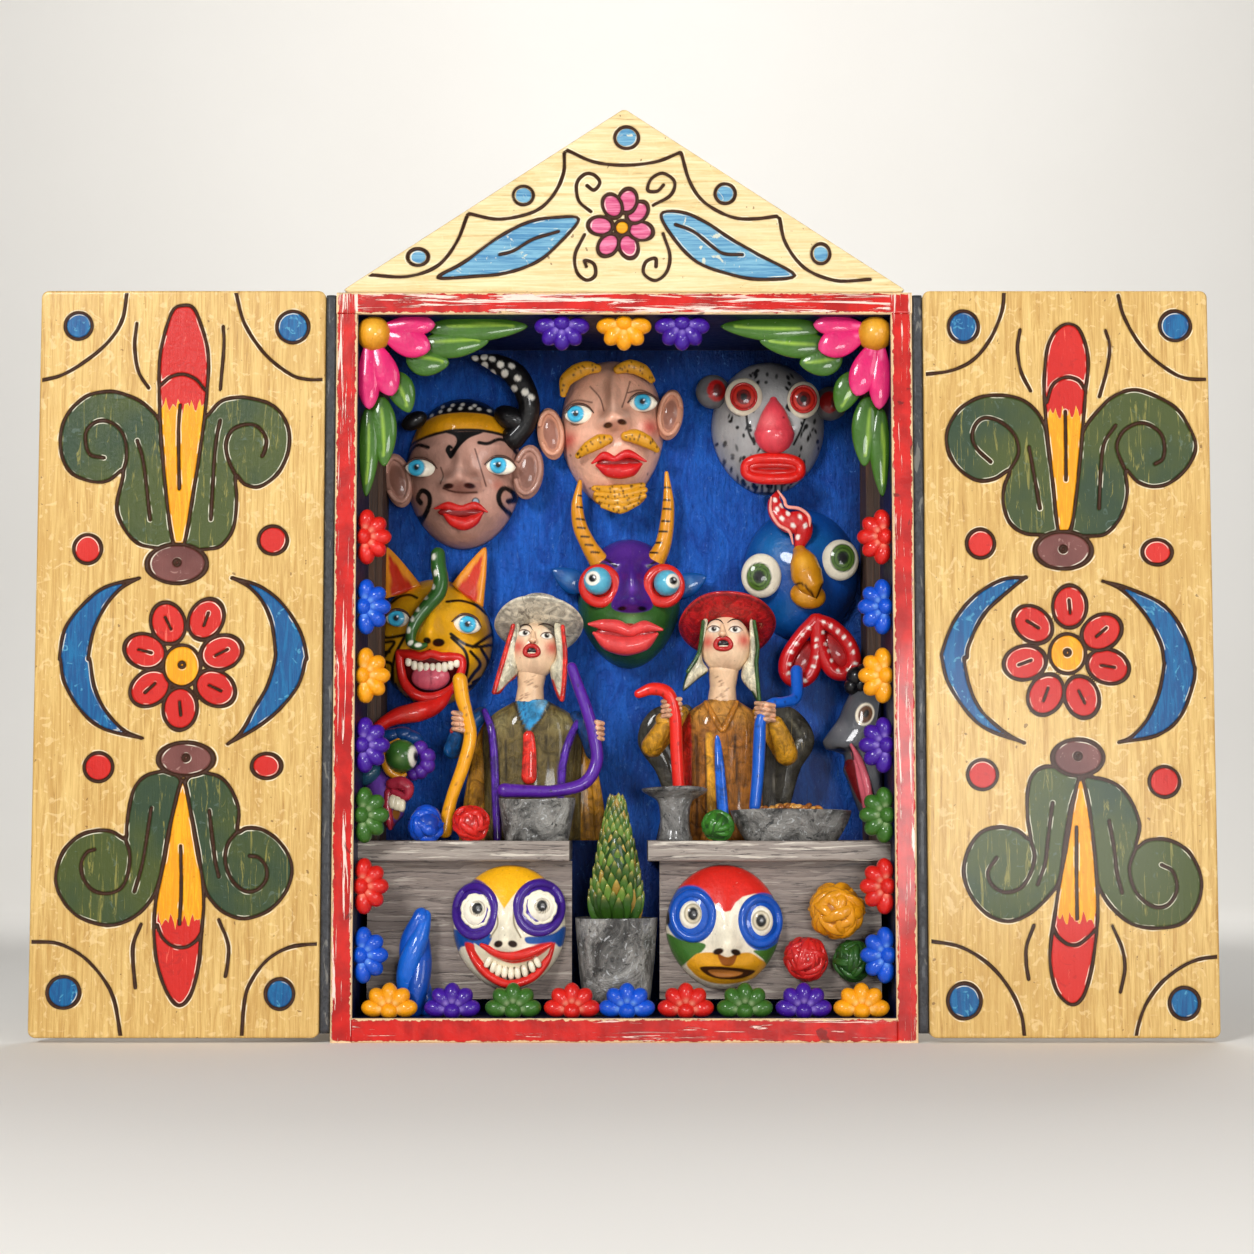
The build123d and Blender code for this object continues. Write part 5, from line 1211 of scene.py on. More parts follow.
column = Clay()
z0, z1 = 8.0, 42.4
for k in range(3):
    t = np.linspace(0, 1, 40)
    a = 2.4 * pi * t * 0.55 + k * 2 * pi / 3
    r = 2.5 * (1 - 0.55 * t**3)
    x = -66.6 - 2.2 * np.sin(pi * t) + 0.6 * t + r * np.cos(a)
    path = np.column_stack([x, 14.4 + r * np.sin(a), z0 + 1.8 + (z1 - z0 - 4.2) * t])
    column.roll(path[::3], [2.6, 3.5, 3.6, 3.1, 1.9], ("0f4fb4", "1560c6", "0c44a0")[k], sides=18, count=60)
column.blob((-66.2, 14.2, 38.6), (2.9, 2.9, 4.0), "1258be", rings=16, sides=24)
column.finish("column", gloss, "case", "blue_paste", ["twisted_bundle"])
print("wares")


# ---------- faces
def seen(u, v, depth):
    # (x, z) of what shows at picture position (u, v) at a depth: the camera's ray cut by that plane
    c, s = cos(radians(4.6)), sin(radians(4.6))
    ahead, rise = 2482.4 * c - (627 - v) * s, 2482.4 * s + (627 - v) * c
    t = (800 + depth) / ahead
    return (0.9 + (u - 627) * t, 68.8 + rise * t)


def window(u0, v0, scale):
    return lambda depth, *points: [seen(u0 + a / scale, v0 + b / scale, depth) for a, b in points]


def makeFace(clay, middle, half, back, base, marks=(), bumps=(), chin=0.12, crown=0.0, power=2.3, n=100, m=280):
    # a dome over an oval: rise = half depth (1 - r^power)^0.55, plus bumps h exp(-q^2)
    r = np.linspace(0, 1, n)[:, None]
    a = np.linspace(0, 2 * pi, m, endpoint=False)[None]
    low = np.clip(-np.sin(a) * r, 0, 1)
    high = np.clip(np.sin(a) * r, 0, 1)
    x = middle[0] + half[0] * r * np.cos(a) * (1 - chin * low**1.6 - crown * high**2)
    z = middle[1] + half[2] * r * np.sin(a)
    y = back - half[1] * (1 - r**power)**0.55 + 0 * a
    fade = 1 - r**10
    for (cx, cz), rx, rz, rise, *turn in bumps:
        t = radians(turn[0]) if turn else 0.0
        u, v = (x - cx) * cos(t) + (z - cz) * sin(t), (z - cz) * cos(t) - (x - cx) * sin(t)
        y = y - rise * fade * np.exp(-((u / rx)**2 + (v / rz)**2)**1.15)
    rows = np.stack([x, y, z], -1)
    rows = np.concatenate([rows, rows[-1:]])
    clay.add(rows, base, marks)
    return clay


def onDome(middle, half, back, power=2.3):
    # depth of a face's dome at (x, z)
    def depth(x, z):
        r = np.clip(np.hypot((x - middle[0]) / half[0], (z - middle[1]) / half[2]), 0, 0.985)
        return back - half[1] * (1 - r**power)**0.55
    return depth


def ringEye(clay, place, half, iris, tones, sizes, sink=0.0, turn=0.0):
    # a flattened ball with rings painted round its iris
    x, depth, z = place
    marks = [("oval", tone, iris, size) for tone, size in zip(tones[1:], sizes)]
    clay.blob((x, depth, z), half, tones[0], marks, turn=turn, rings=44, sides=56)


def almond(clay, place, half, iris, turn=0.0, white="efe6d2"):
    x, depth, z = place
    rim = lambda a, b, c: 0.8 * step(0.35 + ovalDistance(a, c, (x, z), (half[0], half[1]), turn) * -1, 0.15)
    # the small white oval beside the pupil is a painted highlight
    clay.blob((x, depth + 0.3, z), (half[0], 1.9, half[1]), white,
              [("oval", "1a6f94", iris, (2.95, 2.95)), ("oval", "3fb0d4", iris, (2.7, 2.7)),
               ("oval", "2a93ba", iris, (1.6, 1.6)), ("oval", "050505", iris, (1.0, 1.0)),
               ("oval", "ffffff", (iris[0] + 0.5, iris[1] + 0.55), (0.28, 0.28)), ("where", "3a2218", rim)],
              turn=turn, rings=34, sides=48)
    c, s = cos(radians(turn)), sin(radians(turn))
    lid = [(x + u * half[0] * c - v * s, depth - 1.0, z + u * half[0] * s + v * c)
           for u, v in ((-1.05, 0.0), (-0.5, half[1] * 0.88), (0.1, half[1] * 1.02), (0.65, half[1] * 0.7), (1.05, -0.1))]
    clay.roll(lid, [0.25, 0.45, 0.5, 0.4, 0.2], "4a2c20", sides=8, count=24)


def lips(clay, upper, lower, depth, tone, upperRadii, lowerRadii, line="4a0808"):
    clay.roll([(x, depth, z) for x, z in upper], upperRadii, tone, sides=16, count=44)
    clay.roll([(x, depth + 0.2, z) for x, z in lower], lowerRadii, tone, sides=16, count=44)


c5, c6 = window(340, 290, 5.407), window(610, 290, 5.058)
c7, c8 = window(350, 540, 4.9), window(600, 540, 4.9)
c9, c10 = window(350, 780, 5.407), window(600, 780, 4.9)
straight = window(0, 0, 1.0)


def one(view, depth, u, v):
    return view(depth, (u, v))[0]


def ear(clay, x, depth, z, w, h, tone, inner, turn=0):
    # the darker oval inside is painted shade in the ear's hollow
    clay.blob((x, depth, z), (w, 3.2, h), tone, [("oval", inner, (x, z - 0.4), (w * 0.5, h * 0.62), turn)],
              turn=turn, rings=26, sides=36)
    t = np.linspace(0.15 * pi, 1.85 * pi, 14) + (pi if x < -20 else 0)
    c, s = cos(radians(turn)), sin(radians(turn))
    u, v = 0.78 * w * np.cos(t), 0.8 * h * np.sin(t)
    clay.roll(np.column_stack([x + u * c - v * s, np.full(14, depth - 2.5), z + u * s + v * c]), [0.9], tone,
              sides=10, count=40)


# the plumed mask
def plumed():
    clay = Clay()
    d = 46
    q = lambda u, v: one(c5, d, u, v)
    band = c5(d, (345, 815), (450, 785), (620, 752), (780, 752), (975, 780), (900, 685), (780, 655), (650, 650),
              (520, 662), (400, 702), (335, 760))
    cap = c5(d, (330, 730), (400, 702), (520, 662), (650, 650), (780, 655), (890, 683), (1010, 760), (1100, 400),
             (250, 400))
    lock = c5(d, (560, 764), (640, 764), (770, 764), (700, 800), (655, 845), (605, 915), (580, 885), (577, 850),
              (597, 842), (600, 870), (630, 830), (620, 790))
    curlL = c5(d, (430, 1140), (412, 1112), (440, 1078), (478, 1105), (476, 1160), (430, 1215), (370, 1200))
    curlR = c5(d, (905, 1128), (938, 1108), (922, 1072), (880, 1066), (855, 1110), (872, 1160), (930, 1190), (1010, 1178))
    # glows: painted shade round the eyes, under the nose and at its sides, a painted highlight on the nose, a darker
    # chin and a reddish cheek
    marks = [("glow", "6a463b", q(430, 950), 6.5, 0.5), ("glow", "6a463b", q(868, 950), 6.5, 0.5), ("glow", "6a463b", q(655, 1100), 3.5, 0.5),
             ("glow", "caa090", q(655, 985), 1.8, 0.7), ("glow", "6e4638", q(585, 1000), 2.0, 0.6), ("glow", "6e4638", q(728, 1000), 2.0, 0.6), ("glow", "9a6f62", q(620, 1330), 6.5, 0.35),
             ("glow", "b0604f", q(850, 1050), 2.0, 0.6),
             ("poly", "d8940f", band), ("line", "160f0c", c5(d, (345, 817), (450, 787), (540, 768), (620, 757), (780, 757), (970, 782)), 1.1),
             ("poly", "0c0b0c", cap),
             ("dots", "e6e2d6", c5(d, (545, 607), (600, 602), (655, 599), (720, 604), (485, 655), (535, 638), (585, 631),
                                   (645, 625), (700, 622), (745, 625), (800, 629)), 0.72),
             ("patch", "0d0b0b", lock), ("line", "0d0b0b", c5(d, (600, 905), (578, 870), (590, 845), (605, 855)), 0.9),
             ("line", "1a1210", c5(d, (345, 890), (375, 842), (415, 825), (475, 848)), 1.3),
             ("line", "1a1210", c5(d, (752, 825), (800, 828), (860, 797), (910, 812), (944, 855)), 1.3),
             ("line", "0d0b0b", curlL, 1.7), ("line", "0d0b0b", curlR, 1.7),
             ("patch", "0d0b0b", c5(d, (335, 1130), (380, 1185), (430, 1200), (475, 1165), (470, 1200), (400, 1262), (360, 1210))),
             ("patch", "0d0b0b", c5(d, (858, 1150), (905, 1185), (960, 1190), (1020, 1165), (985, 1230), (920, 1215))),
             ("oval", "2a1510", q(590, 1068), (1.9, 0.8)), ("oval", "2a1510", q(705, 1068), (1.9, 0.8)),
             ("line", "4f3028", c5(d, (560, 1075), (600, 1090), (660, 1100), (740, 1095)), 0.6),
             ("oval", "20242c", q(733, 1143), (1.35, 1.35)), ("oval", "9fb0bc", q(733, 1143), (0.95, 0.95)),
             ("line", "5a3a30", c5(d, (730, 860), (760, 960), (790, 1060)), 0.5),
             ("line", "5a3a30", c5(d, (545, 960), (560, 1010), (545, 1050)), 0.5)]
    bumps = [(q(655, 960), 2.4, 6.5, 3.6), (q(655, 1035), 4.4, 3.4, 5.6), (q(580, 1050), 2.6, 2.2, 2.6),
             (q(725, 1050), 2.6, 2.2, 2.6), (q(430, 955), 5.6, 3.2, -1.8), (q(870, 950), 5.6, 3.2, -1.8),
             (q(430, 850), 5.5, 1.8, 1.2), (q(860, 835), 5.5, 1.8, 1.2), (q(650, 1330), 5.5, 3.6, 1.8),
             (q(420, 1120), 5, 5, 1.0), (q(880, 1110), 5, 5, 1.0), (q(640, 700), 15, 2.6, 1.0)]
    makeFace(clay, (-56.1, 191.8), (20.2, 17.2, 26.6), 62, "bc8e7d", marks, bumps, chin=0.04, crown=-0.04)
    x, z = q(435, 958)
    almond(clay, (x, 47.6, z), (5.4, 3.1), q(412, 958), turn=-3)
    x, z = q(868, 948)
    almond(clay, (x, 47.2, z), (5.2, 3.1), q(855, 946), turn=-4)
    lips(clay, c5(44, (510, 1180), (580, 1165), (655, 1182), (730, 1165), (795, 1198)),
         c5(44, (560, 1205), (610, 1245), (670, 1262), (725, 1240), (765, 1205)), 45.0, "c21c16",
         [0.3, 1.5, 1.3, 1.5, 0.3], [0.6, 2.0, 2.4, 2.0, 0.6])
    x, z = q(655, 1203)
    clay.blob((x, 45.6, z), (8.0, 1.7, 2.0), "7c0e0c", rings=16, sides=36)
    ear(clay, -78.6, 55, 188.6, 5.0, 9.6, "a87c6c", "7a5042", 12)
    ear(clay, -33.4, 54, 191.4, 5.4, 9.6, "a87c6c", "7a5042", -6)
    for u, v, r in ((398, 700, 3.2), (925, 690, 4.4)):
        x, z = one(c5, 50, u, v)
        clay.blob((x, 53, z), (r * 1.5, r, r * 0.95), "0d0c0e", turn=28 if u < 600 else -28, rings=22, sides=30)
    plume = [(at(*p)[0], p[2], p[1]) for p in ((-38.6, 203.4, 54), (-34.4, 208.5, 53), (-33.2, 215.6, 51.4), (-37.4, 224.4, 51),
                                               (-44.6, 229.0, 51), (-52.6, 231.2, 52))]
    dots = c5(50, (730, 365), (780, 363), (825, 378), (870, 410), (930, 418), (782, 410), (825, 450), (893, 458),
              (962, 485), (875, 508), (942, 537), (1002, 560), (1035, 585))
    spots = [("oval", "e8e4d8", p, (0.95 + 0.25 * (i % 2), 1.25), 60) for i, p in enumerate(dots)]
    clay.roll(plume, [4.2, 3.8, 3.8, 4.2, 3.4, 0.9], "0d0c0e", spots, sides=40, count=120)
    clay.finish("face_plumed", skin, "case", "brown_paste", ["mask_plumed"])


# the moustached mask
def moustached():
    clay = Clay()
    d = 46
    p = lambda u, v: one(straight, d, u, v)
    # glows: red cheeks; painted shade round the eyes, under the nose and at its sides; a painted highlight on the nose
    marks = [("glow", "c8443e", p(568, 438), 3.0, 0.85), ("glow", "c8443e", p(650.5, 426), 3.0, 0.85),
             ("glow", "7d5242", p(579, 413), 5.5, 0.45), ("glow", "7d5242", p(644, 402), 5.5, 0.45), ("glow", "8a5a48", p(615, 434), 3.0, 0.5),
             ("glow", "f2c4ac", p(614, 410), 1.8, 0.7), ("glow", "9a6450", p(603, 414), 1.9, 0.6), ("glow", "9a6450", p(627, 411), 1.9, 0.6),
             ("oval", "3a1c16", p(608, 428), (1.6, 0.8)), ("oval", "3a1c16", p(622, 425), (1.6, 0.8)),
             ("line", "6a4236", straight(d, (590, 385), (600, 398), (604, 412)), 0.45),
             ("line", "6a4236", straight(d, (630, 380), (626, 395), (622, 408)), 0.45),
             ("line", "6a4236", straight(d, (563, 404), (575, 398), (592, 402)), 0.5),
             ("line", "6a4236", straight(d, (628, 392), (642, 388), (658, 393)), 0.5),
             ("dots", "6a4236", straight(d, (570, 452), (655, 449), (648, 470), (590, 485), (640, 480)), 0.3)]
    bumps = [(p(613, 398), 2.2, 7.5, 3.8), (p(615, 421), 4.2, 3.6, 5.8), (p(606, 425), 2.4, 2.2, 2.4),
             (p(624, 422), 2.4, 2.2, 2.4), (p(579, 413), 5, 3.4, -1.6), (p(643, 402), 5, 3.4, -1.6),
             (p(569, 438), 4, 5, 1.4), (p(651, 426), 4, 5, 1.4), (p(612, 372), 9, 4, 1.2)]
    makeFace(clay, (-4.3, 205.6), (18.0, 17.4, 26.0), 62, "e8b095", marks, bumps, chin=0.2, crown=-0.24)
    x, z = p(579, 413.5)
    almond(clay, (x, 47.4, z), (5.0, 3.3), p(575.5, 413.5), turn=2)
    x, z = p(643, 402)
    almond(clay, (x, 47.4, z), (5.0, 3.1), p(642.5, 401.5), turn=2)
    lips(clay, straight(44, (592, 463), (604, 455.5), (615, 459), (628, 453.5), (646, 461)),
         straight(44, (597, 465), (608, 470), (620, 471), (632, 469), (641, 464)), 44.6, "c8181a",
         [0.35, 1.5, 1.2, 1.6, 0.35], [0.6, 2.3, 2.7, 2.4, 0.6])
    x, z = p(619, 463.5)
    clay.blob((x, 45.4, z), (7.6, 1.7, 2.0), "7c0e0c", rings=16, sides=36)
    ear(clay, *np.array(seen(551, 434, 55))[[0]], 55, seen(551, 434, 55)[1], 4.8, 9.2, "d09478", "94604e", 8)
    ear(clay, seen(670, 415, 55)[0], 55, seen(670, 415, 55)[1], 4.6, 9.0, "d09478", "94604e", -8)

    def tuft(path, radii, flat=0.8):
        line = [(x, dd, z) for (x, z), dd in path]
        spots = [("oval", "3a2208", (x + rng.uniform(-2, 2), z + rng.uniform(-1.6, 1.6)), (0.28, 0.4)) for x, _, z in
                 smoothLine(line, 16)]
        clay.roll(line, radii, "d1921f", spots, sides=24, count=70, flat=flat)

    s = lambda u, v: seen(u, v, 47)
    tuft([(s(563, 392), 51), (s(566, 379), 50), (s(576, 371.5), 48.5), (s(587, 367.5), 48), (s(597, 368), 48)],
         [1.2, 2.4, 2.8, 2.5, 1.6])
    tuft([(s(618, 369), 48), (s(630, 366), 48), (s(643, 370), 49), (s(652, 378), 51)], [1.6, 2.5, 2.4, 1.2])
    tuft([(s(578, 456), 46.5), (s(588, 449), 44.5), (s(600, 443), 43.6), (s(608, 441), 43.6)], [1.1, 2.2, 2.6, 1.8])
    tuft([(s(626, 438), 43.6), (s(635, 438), 43.6), (s(647, 443), 44.5), (s(657, 450), 46.5)], [1.8, 2.6, 2.3, 1.1])
    for i, (a, b) in enumerate((((594, 487), (643, 484)), ((596, 493), (645, 489)), ((598, 499), (644, 495)),
                                ((603, 505), (638, 502)))):
        mid = (a[0] + b[0]) / 2, (a[1] + b[1]) / 2 + 4.5
        tuft([(s(*a), 50 - i * 0.4), (s(*mid), 47.6), (s(*b), 50 - i * 0.4)], [1.0, 2.0, 1.0])
    x, z = seen(619, 496, 50)
    clay.blob((x, 51.2, z), (9.2, 3.6, 4.4), "a96e14", rings=22, sides=36)
    clay.finish("face_moustached", skin, "case", "pink_paste", ["mask_moustache"])


# the speckled mask
def speckled():
    clay = Clay()
    d = 47
    q = lambda u, v: one(c6, d, u, v)
    spots = []
    for _ in range(110):
        a, r = rng.uniform(0, 2 * pi), rng.uniform(0.1, 1)**0.5
        spots.append(("oval", "0b0b0c", (50.2 + 18.6 * r * cos(a), 206.3 + 21 * r * sin(a)),
                      (rng.uniform(0.3, 0.75), rng.uniform(0.5, 1.3)), rng.uniform(-35, 35)))
    marks = spots + [("glow", "8a8a8a", q(620, 800), 3.4, 0.55), ("glow", "7c7c7c", q(830, 450), 3.4, 0.4),
                     ("line", "0f0f10", c6(d, (690, 640), (700, 720), (730, 780)), 0.8),
                     ("line", "0f0f10", c6(d, (990, 640), (960, 720), (930, 780)), 0.8)]
    for k in range(11):
        u = 640 + 34 * k
        marks.append(("line", "0c0c0d", c6(d, (u, 975), (u + 4, 1040)), 0.9))
    marks.append(("line", "0c0c0d", c6(d, (630, 985), (760, 1003), (900, 1000), (1000, 970)), 0.6))
    bumps = [(q(700, 700), 4, 6, 1.4, -15), (q(975, 700), 4, 6, 1.4, 15), (q(820, 1000), 8, 3, 1.2)]
    makeFace(clay, (50.2, 207.8), (19.8, 16.5, 23.4), 62, "a2a1a0", marks, bumps, chin=0.08)
    for u, v, rx, rz, iris in ((677, 537, 6.5, 6.7, (677, 537)), (980, 552, 5.6, 6.5, (980, 550))):
        x, z = one(c6, 45, u, v)
        i = one(c6, 43, *iris)
        ringEye(clay, (x, 46.6, z), (rx, 3.0, rz), i, ("e6dcc4", "0e0808", "a8130f", "c22a1c", "2a0606", "6e0e0c", "070404"),
                ((4.5, 4.7), (4.2, 4.4), (3.5, 3.7), (2.5, 2.6), (2.1, 2.2), (1.2, 1.3)))
        t = np.linspace(0, 2 * pi, 40)
        clay.roll(np.column_stack([i[0] + 4.3 * np.cos(t), np.full(40, 43.9), i[1] + 4.5 * np.sin(t)]), [0.45], "b0160f", sides=8, count=80)
    x, z = one(c6, 40, 832, 545)
    x2, z2 = one(c6, 38, 836, 715)
    clay.roll([(x, 45.5, z), ((x + x2) / 2, 43.6, (z + z2) / 2 + 1), (x2, 43.2, z2)], [1.4, 4.4, 7.0], "d8404c",
              [("dots", "7a1c22", c6(38, (765, 720), (880, 640), (900, 760)), 0.35),
               ("glow", "f08a8a", one(c6, 38, 800, 660), 3.0, 0.4)], sides=40, count=60, flat=0.8)
    m = c6(44, (720, 905), (940, 905))
    for w, h, r, dd, tone in ((9.4, 3.6, 1.9, 43.6, "d21a12"), (7.6, 1.4, 1.2, 43.8, "b8140e")):
        t = np.linspace(0, 2 * pi, 60)
        cx, cz = one(c6, 44, 825, 905)
        bend = lambda v: np.sign(v) * np.abs(v)**0.75
        clay.roll(np.column_stack([cx + w * bend(np.cos(t)), np.full(60, dd) + 0.012 * (w * np.cos(t))**2, cz + h * bend(np.sin(t))]),
                  [r], tone, sides=16, count=120)
    cx, cz = one(c6, 44, 825, 905)
    clay.blob((cx, 45.4, cz), (9.6, 2.0, 3.4), "8e0d0a", rings=20, sides=40)
    for x, z in ((one(c6, 55, 520, 515)), (71.6, 215.6)):
        clay.blob((x, 55, z), (6.0, 3.4, 6.0), "5a5a5c", [("oval", "a8130f", (x + (1.2 if x < 50 else -0.6), z), (3.2, 3.8)),
                                                       ("oval", "5a0c0a", (x + 1.6, z), (1.6, 2.4))], rings=30, sides=40)
    clay.finish("face_speckled", gloss, "case", "grey_paste", ["mask_speckled"])


# the striped cat mask, with the snake on its nose
def stripedCat():
    clay = Clay()
    d = 47
    q = lambda u, v: one(c7, d, u, v)
    L = lambda *p: c7(d, *p)
    black = "120c06"
    strokes = [((140, 450), (180, 475), (280, 465)), ((135, 498), (215, 500), (165, 562)), ((272, 470), (222, 560), (195, 650)),
               ((150, 545), (190, 545)), ((165, 590), (200, 610), (198, 690)), ((185, 660), (215, 760), (270, 805)),
               ((497, 463), (560, 508), (620, 520), (692, 500)), ((500, 480), (560, 540), (575, 600), (560, 680)),
               ((590, 545), (632, 600), (600, 650), (572, 688)), ((600, 522), (640, 490), (695, 440)),
               ((640, 530), (668, 590), (640, 660)), ((595, 690), (650, 650), (680, 590)),
               ((230, 740), (250, 800)), ((270, 765), (290, 812)), ((310, 780), (325, 815)), ((350, 790), (360, 818)),
               ((210, 700), (225, 760)), ((395, 545), (400, 560)), ((560, 720), (600, 700))]
    # glows: a paler forehead as painted light, and painted shade round the eyes
    marks = [("glow", "e3ab22", q(430, 250), 7, 0.5), ("glow", "9a6408", q(580, 420), 6, 0.35), ("glow", "9a6408", q(240, 390), 6, 0.35),
             ("line", black, L((185, 298), (235, 268), (285, 262), (325, 280)), 0.95),
             ("line", black, L((472, 300), (540, 292), (610, 310), (658, 348)), 0.95)]
    marks += [("line", black, L(*s), 1.1) for s in strokes]
    marks += [("oval", "1a0c04", q(440, 508), (2.0, 1.3), 10), ("oval", "1a0c04", q(385, 500), (1.4, 1.0), -10),
              ("poly", "5e0d10", L((250, 560), (330, 575), (400, 570), (470, 580), (540, 592), (535, 650), (500, 715),
                                   (440, 752), (375, 765), (320, 745), (275, 690), (255, 620)))]
    bumps = [(q(405, 400), 2.8, 7, 3.4, -6), (q(410, 475), 5.0, 4.2, 5.0), (q(235, 385), 5, 3.4, -1.4), (q(575, 412), 5.4, 3.6, -1.4),
             (q(390, 655), 8.5, 6.5, -0.8), (q(240, 560), 5, 6, 1.2), (q(600, 580), 5, 6, 1.2)]
    makeFace(clay, (-66, 132.6), (20.2, 17.0, 22.2), 62, "e2a312", marks, bumps, chin=0.1)
    x, z = q(235, 383)
    almond(clay, (x, 48.2, z), (4.3, 2.9), q(226, 383), turn=-4)
    x, z = q(572, 412)
    almond(clay, (x, 47.6, z), (4.9, 3.2), q(577, 413), turn=-10)
    rim = [(x, 44.4 + 0.02 * (x + 66)**2, z) for x, z in
           L((243, 555), (300, 562), (350, 572), (400, 560), (450, 574), (500, 574), (546, 588), (544, 650), (510, 722),
             (450, 762), (380, 776), (318, 756), (268, 700), (248, 625), (243, 558))]
    clay.roll(rim, [1.5, 1.7, 1.6, 1.5, 1.6, 1.6, 1.6, 1.5, 1.6, 1.8, 1.9, 1.8, 1.6, 1.5, 1.5], "cc1c14", sides=16, count=150)
    x, z = q(395, 672)
    clay.blob((x, 47.0, z), (6.6, 3.0, 4.6), "cf5a6c", [("line", "9c3044", L((400, 640), (400, 700), (398, 740)), 0.5)], rings=26, sides=40)
    for k in range(9):
        u = 288 + 29.5 * k
        v = 598 + 26 * sin(pi * k / 8) - 6 * (k == 0)
        x, z = q(u, v + 8)
        clay.blob((x, 45.6, z), (1.12, 1.3, 1.5 + 0.5 * sin(pi * k / 8)), "efe7d0", rings=12, sides=16, power=0.8)
    for tip, a, b in (((176, 32), (176, 300), (352, 236)), ((666, 34), (498, 232), (648, 340))):
        (tx, tz), (ax, az), (bx, bz) = c7(56, tip, a, b)
        base = ((ax + bx) / 2, (az + bz) / 2)
        wide = np.hypot(ax - bx, az - bz)
        inner = [("poly", "c22a0e", [(tx + 0.15 * (base[0] - tx), tz + 0.15 * (base[1] - tz)),
                                     (base[0] + 0.62 * (ax - base[0]), base[1] + 0.62 * (az - base[1])),
                                     (base[0] + 0.62 * (bx - base[0]), base[1] + 0.62 * (bz - base[1]))])]
        rows = []
        for t in np.linspace(0, 1, 26):
            w = wide / 2 * t**0.8 * 1.04 + 0.25
            cx, cz = tx + (base[0] - tx) * t, tz + (base[1] - tz) * t - 0
            way = np.array([bx - ax, bz - az]) / wide
            u = np.linspace(0, 2 * pi, 30, endpoint=False)
            thick = 0.9 + 1.6 * t
            dish = 1.3 * t * np.exp(-(np.cos(u) / 0.55)**2) * (np.sin(u) < 0)
            rows.append(np.column_stack([cx + way[0] * w * np.cos(u), 56 + thick * np.sin(u) + dish - 2 * t, cz + way[1] * w * np.cos(u)]))
        clay.add(np.stack(rows), "e08a1c", inner)
    snake = [(x, dd, z) for (x, z), dd in zip(c7(44, (428, 66), (432, 130), (444, 200), (430, 262), (385, 320), (335, 385),
                                                  (305, 450), (304, 505), (345, 524), (372, 518)),
                                               (47, 46, 45, 44, 42.6, 42, 41.6, 41, 41, 41.4))]
    spots = [("oval", "e9e6d4", p, (0.75, 1.15), t) for p, t in
             zip(c7(43, (408, 80), (420, 160), (405, 228), (368, 280), (330, 340), (306, 388), (290, 445), (300, 508), (338, 518)),
                 (0, 0, 30, 40, 40, 20, 0, -50, -80))]
    clay.roll(snake, [2.5, 2.7, 2.7, 2.7, 2.5, 2.2, 1.9, 1.7, 1.4, 0.9], "2c5a22", spots, sides=28, count=130)
    clay.finish("face_cat", gloss, "case", "yellow_paste", ["mask_striped_cat"])
    pepper = Clay()
    path = [(x, dd, z) for (x, z), dd in zip(c7(40, (488, 742), (450, 790), (400, 822), (330, 845), (250, 862), (195, 885), (150, 915)),
                                              (43, 41, 40, 38, 37, 36.4, 36))]
    pepper.roll(path, [1.0, 2.1, 3.0, 3.4, 3.0, 2.4, 2.0], "d01a12", [("glow", "e8503c", one(c7, 38, 300, 850), 3.0, 0.4)], sides=28, count=90)
    pepper.finish("pepper", gloss, "case", "red_paste", ["red_chili"])


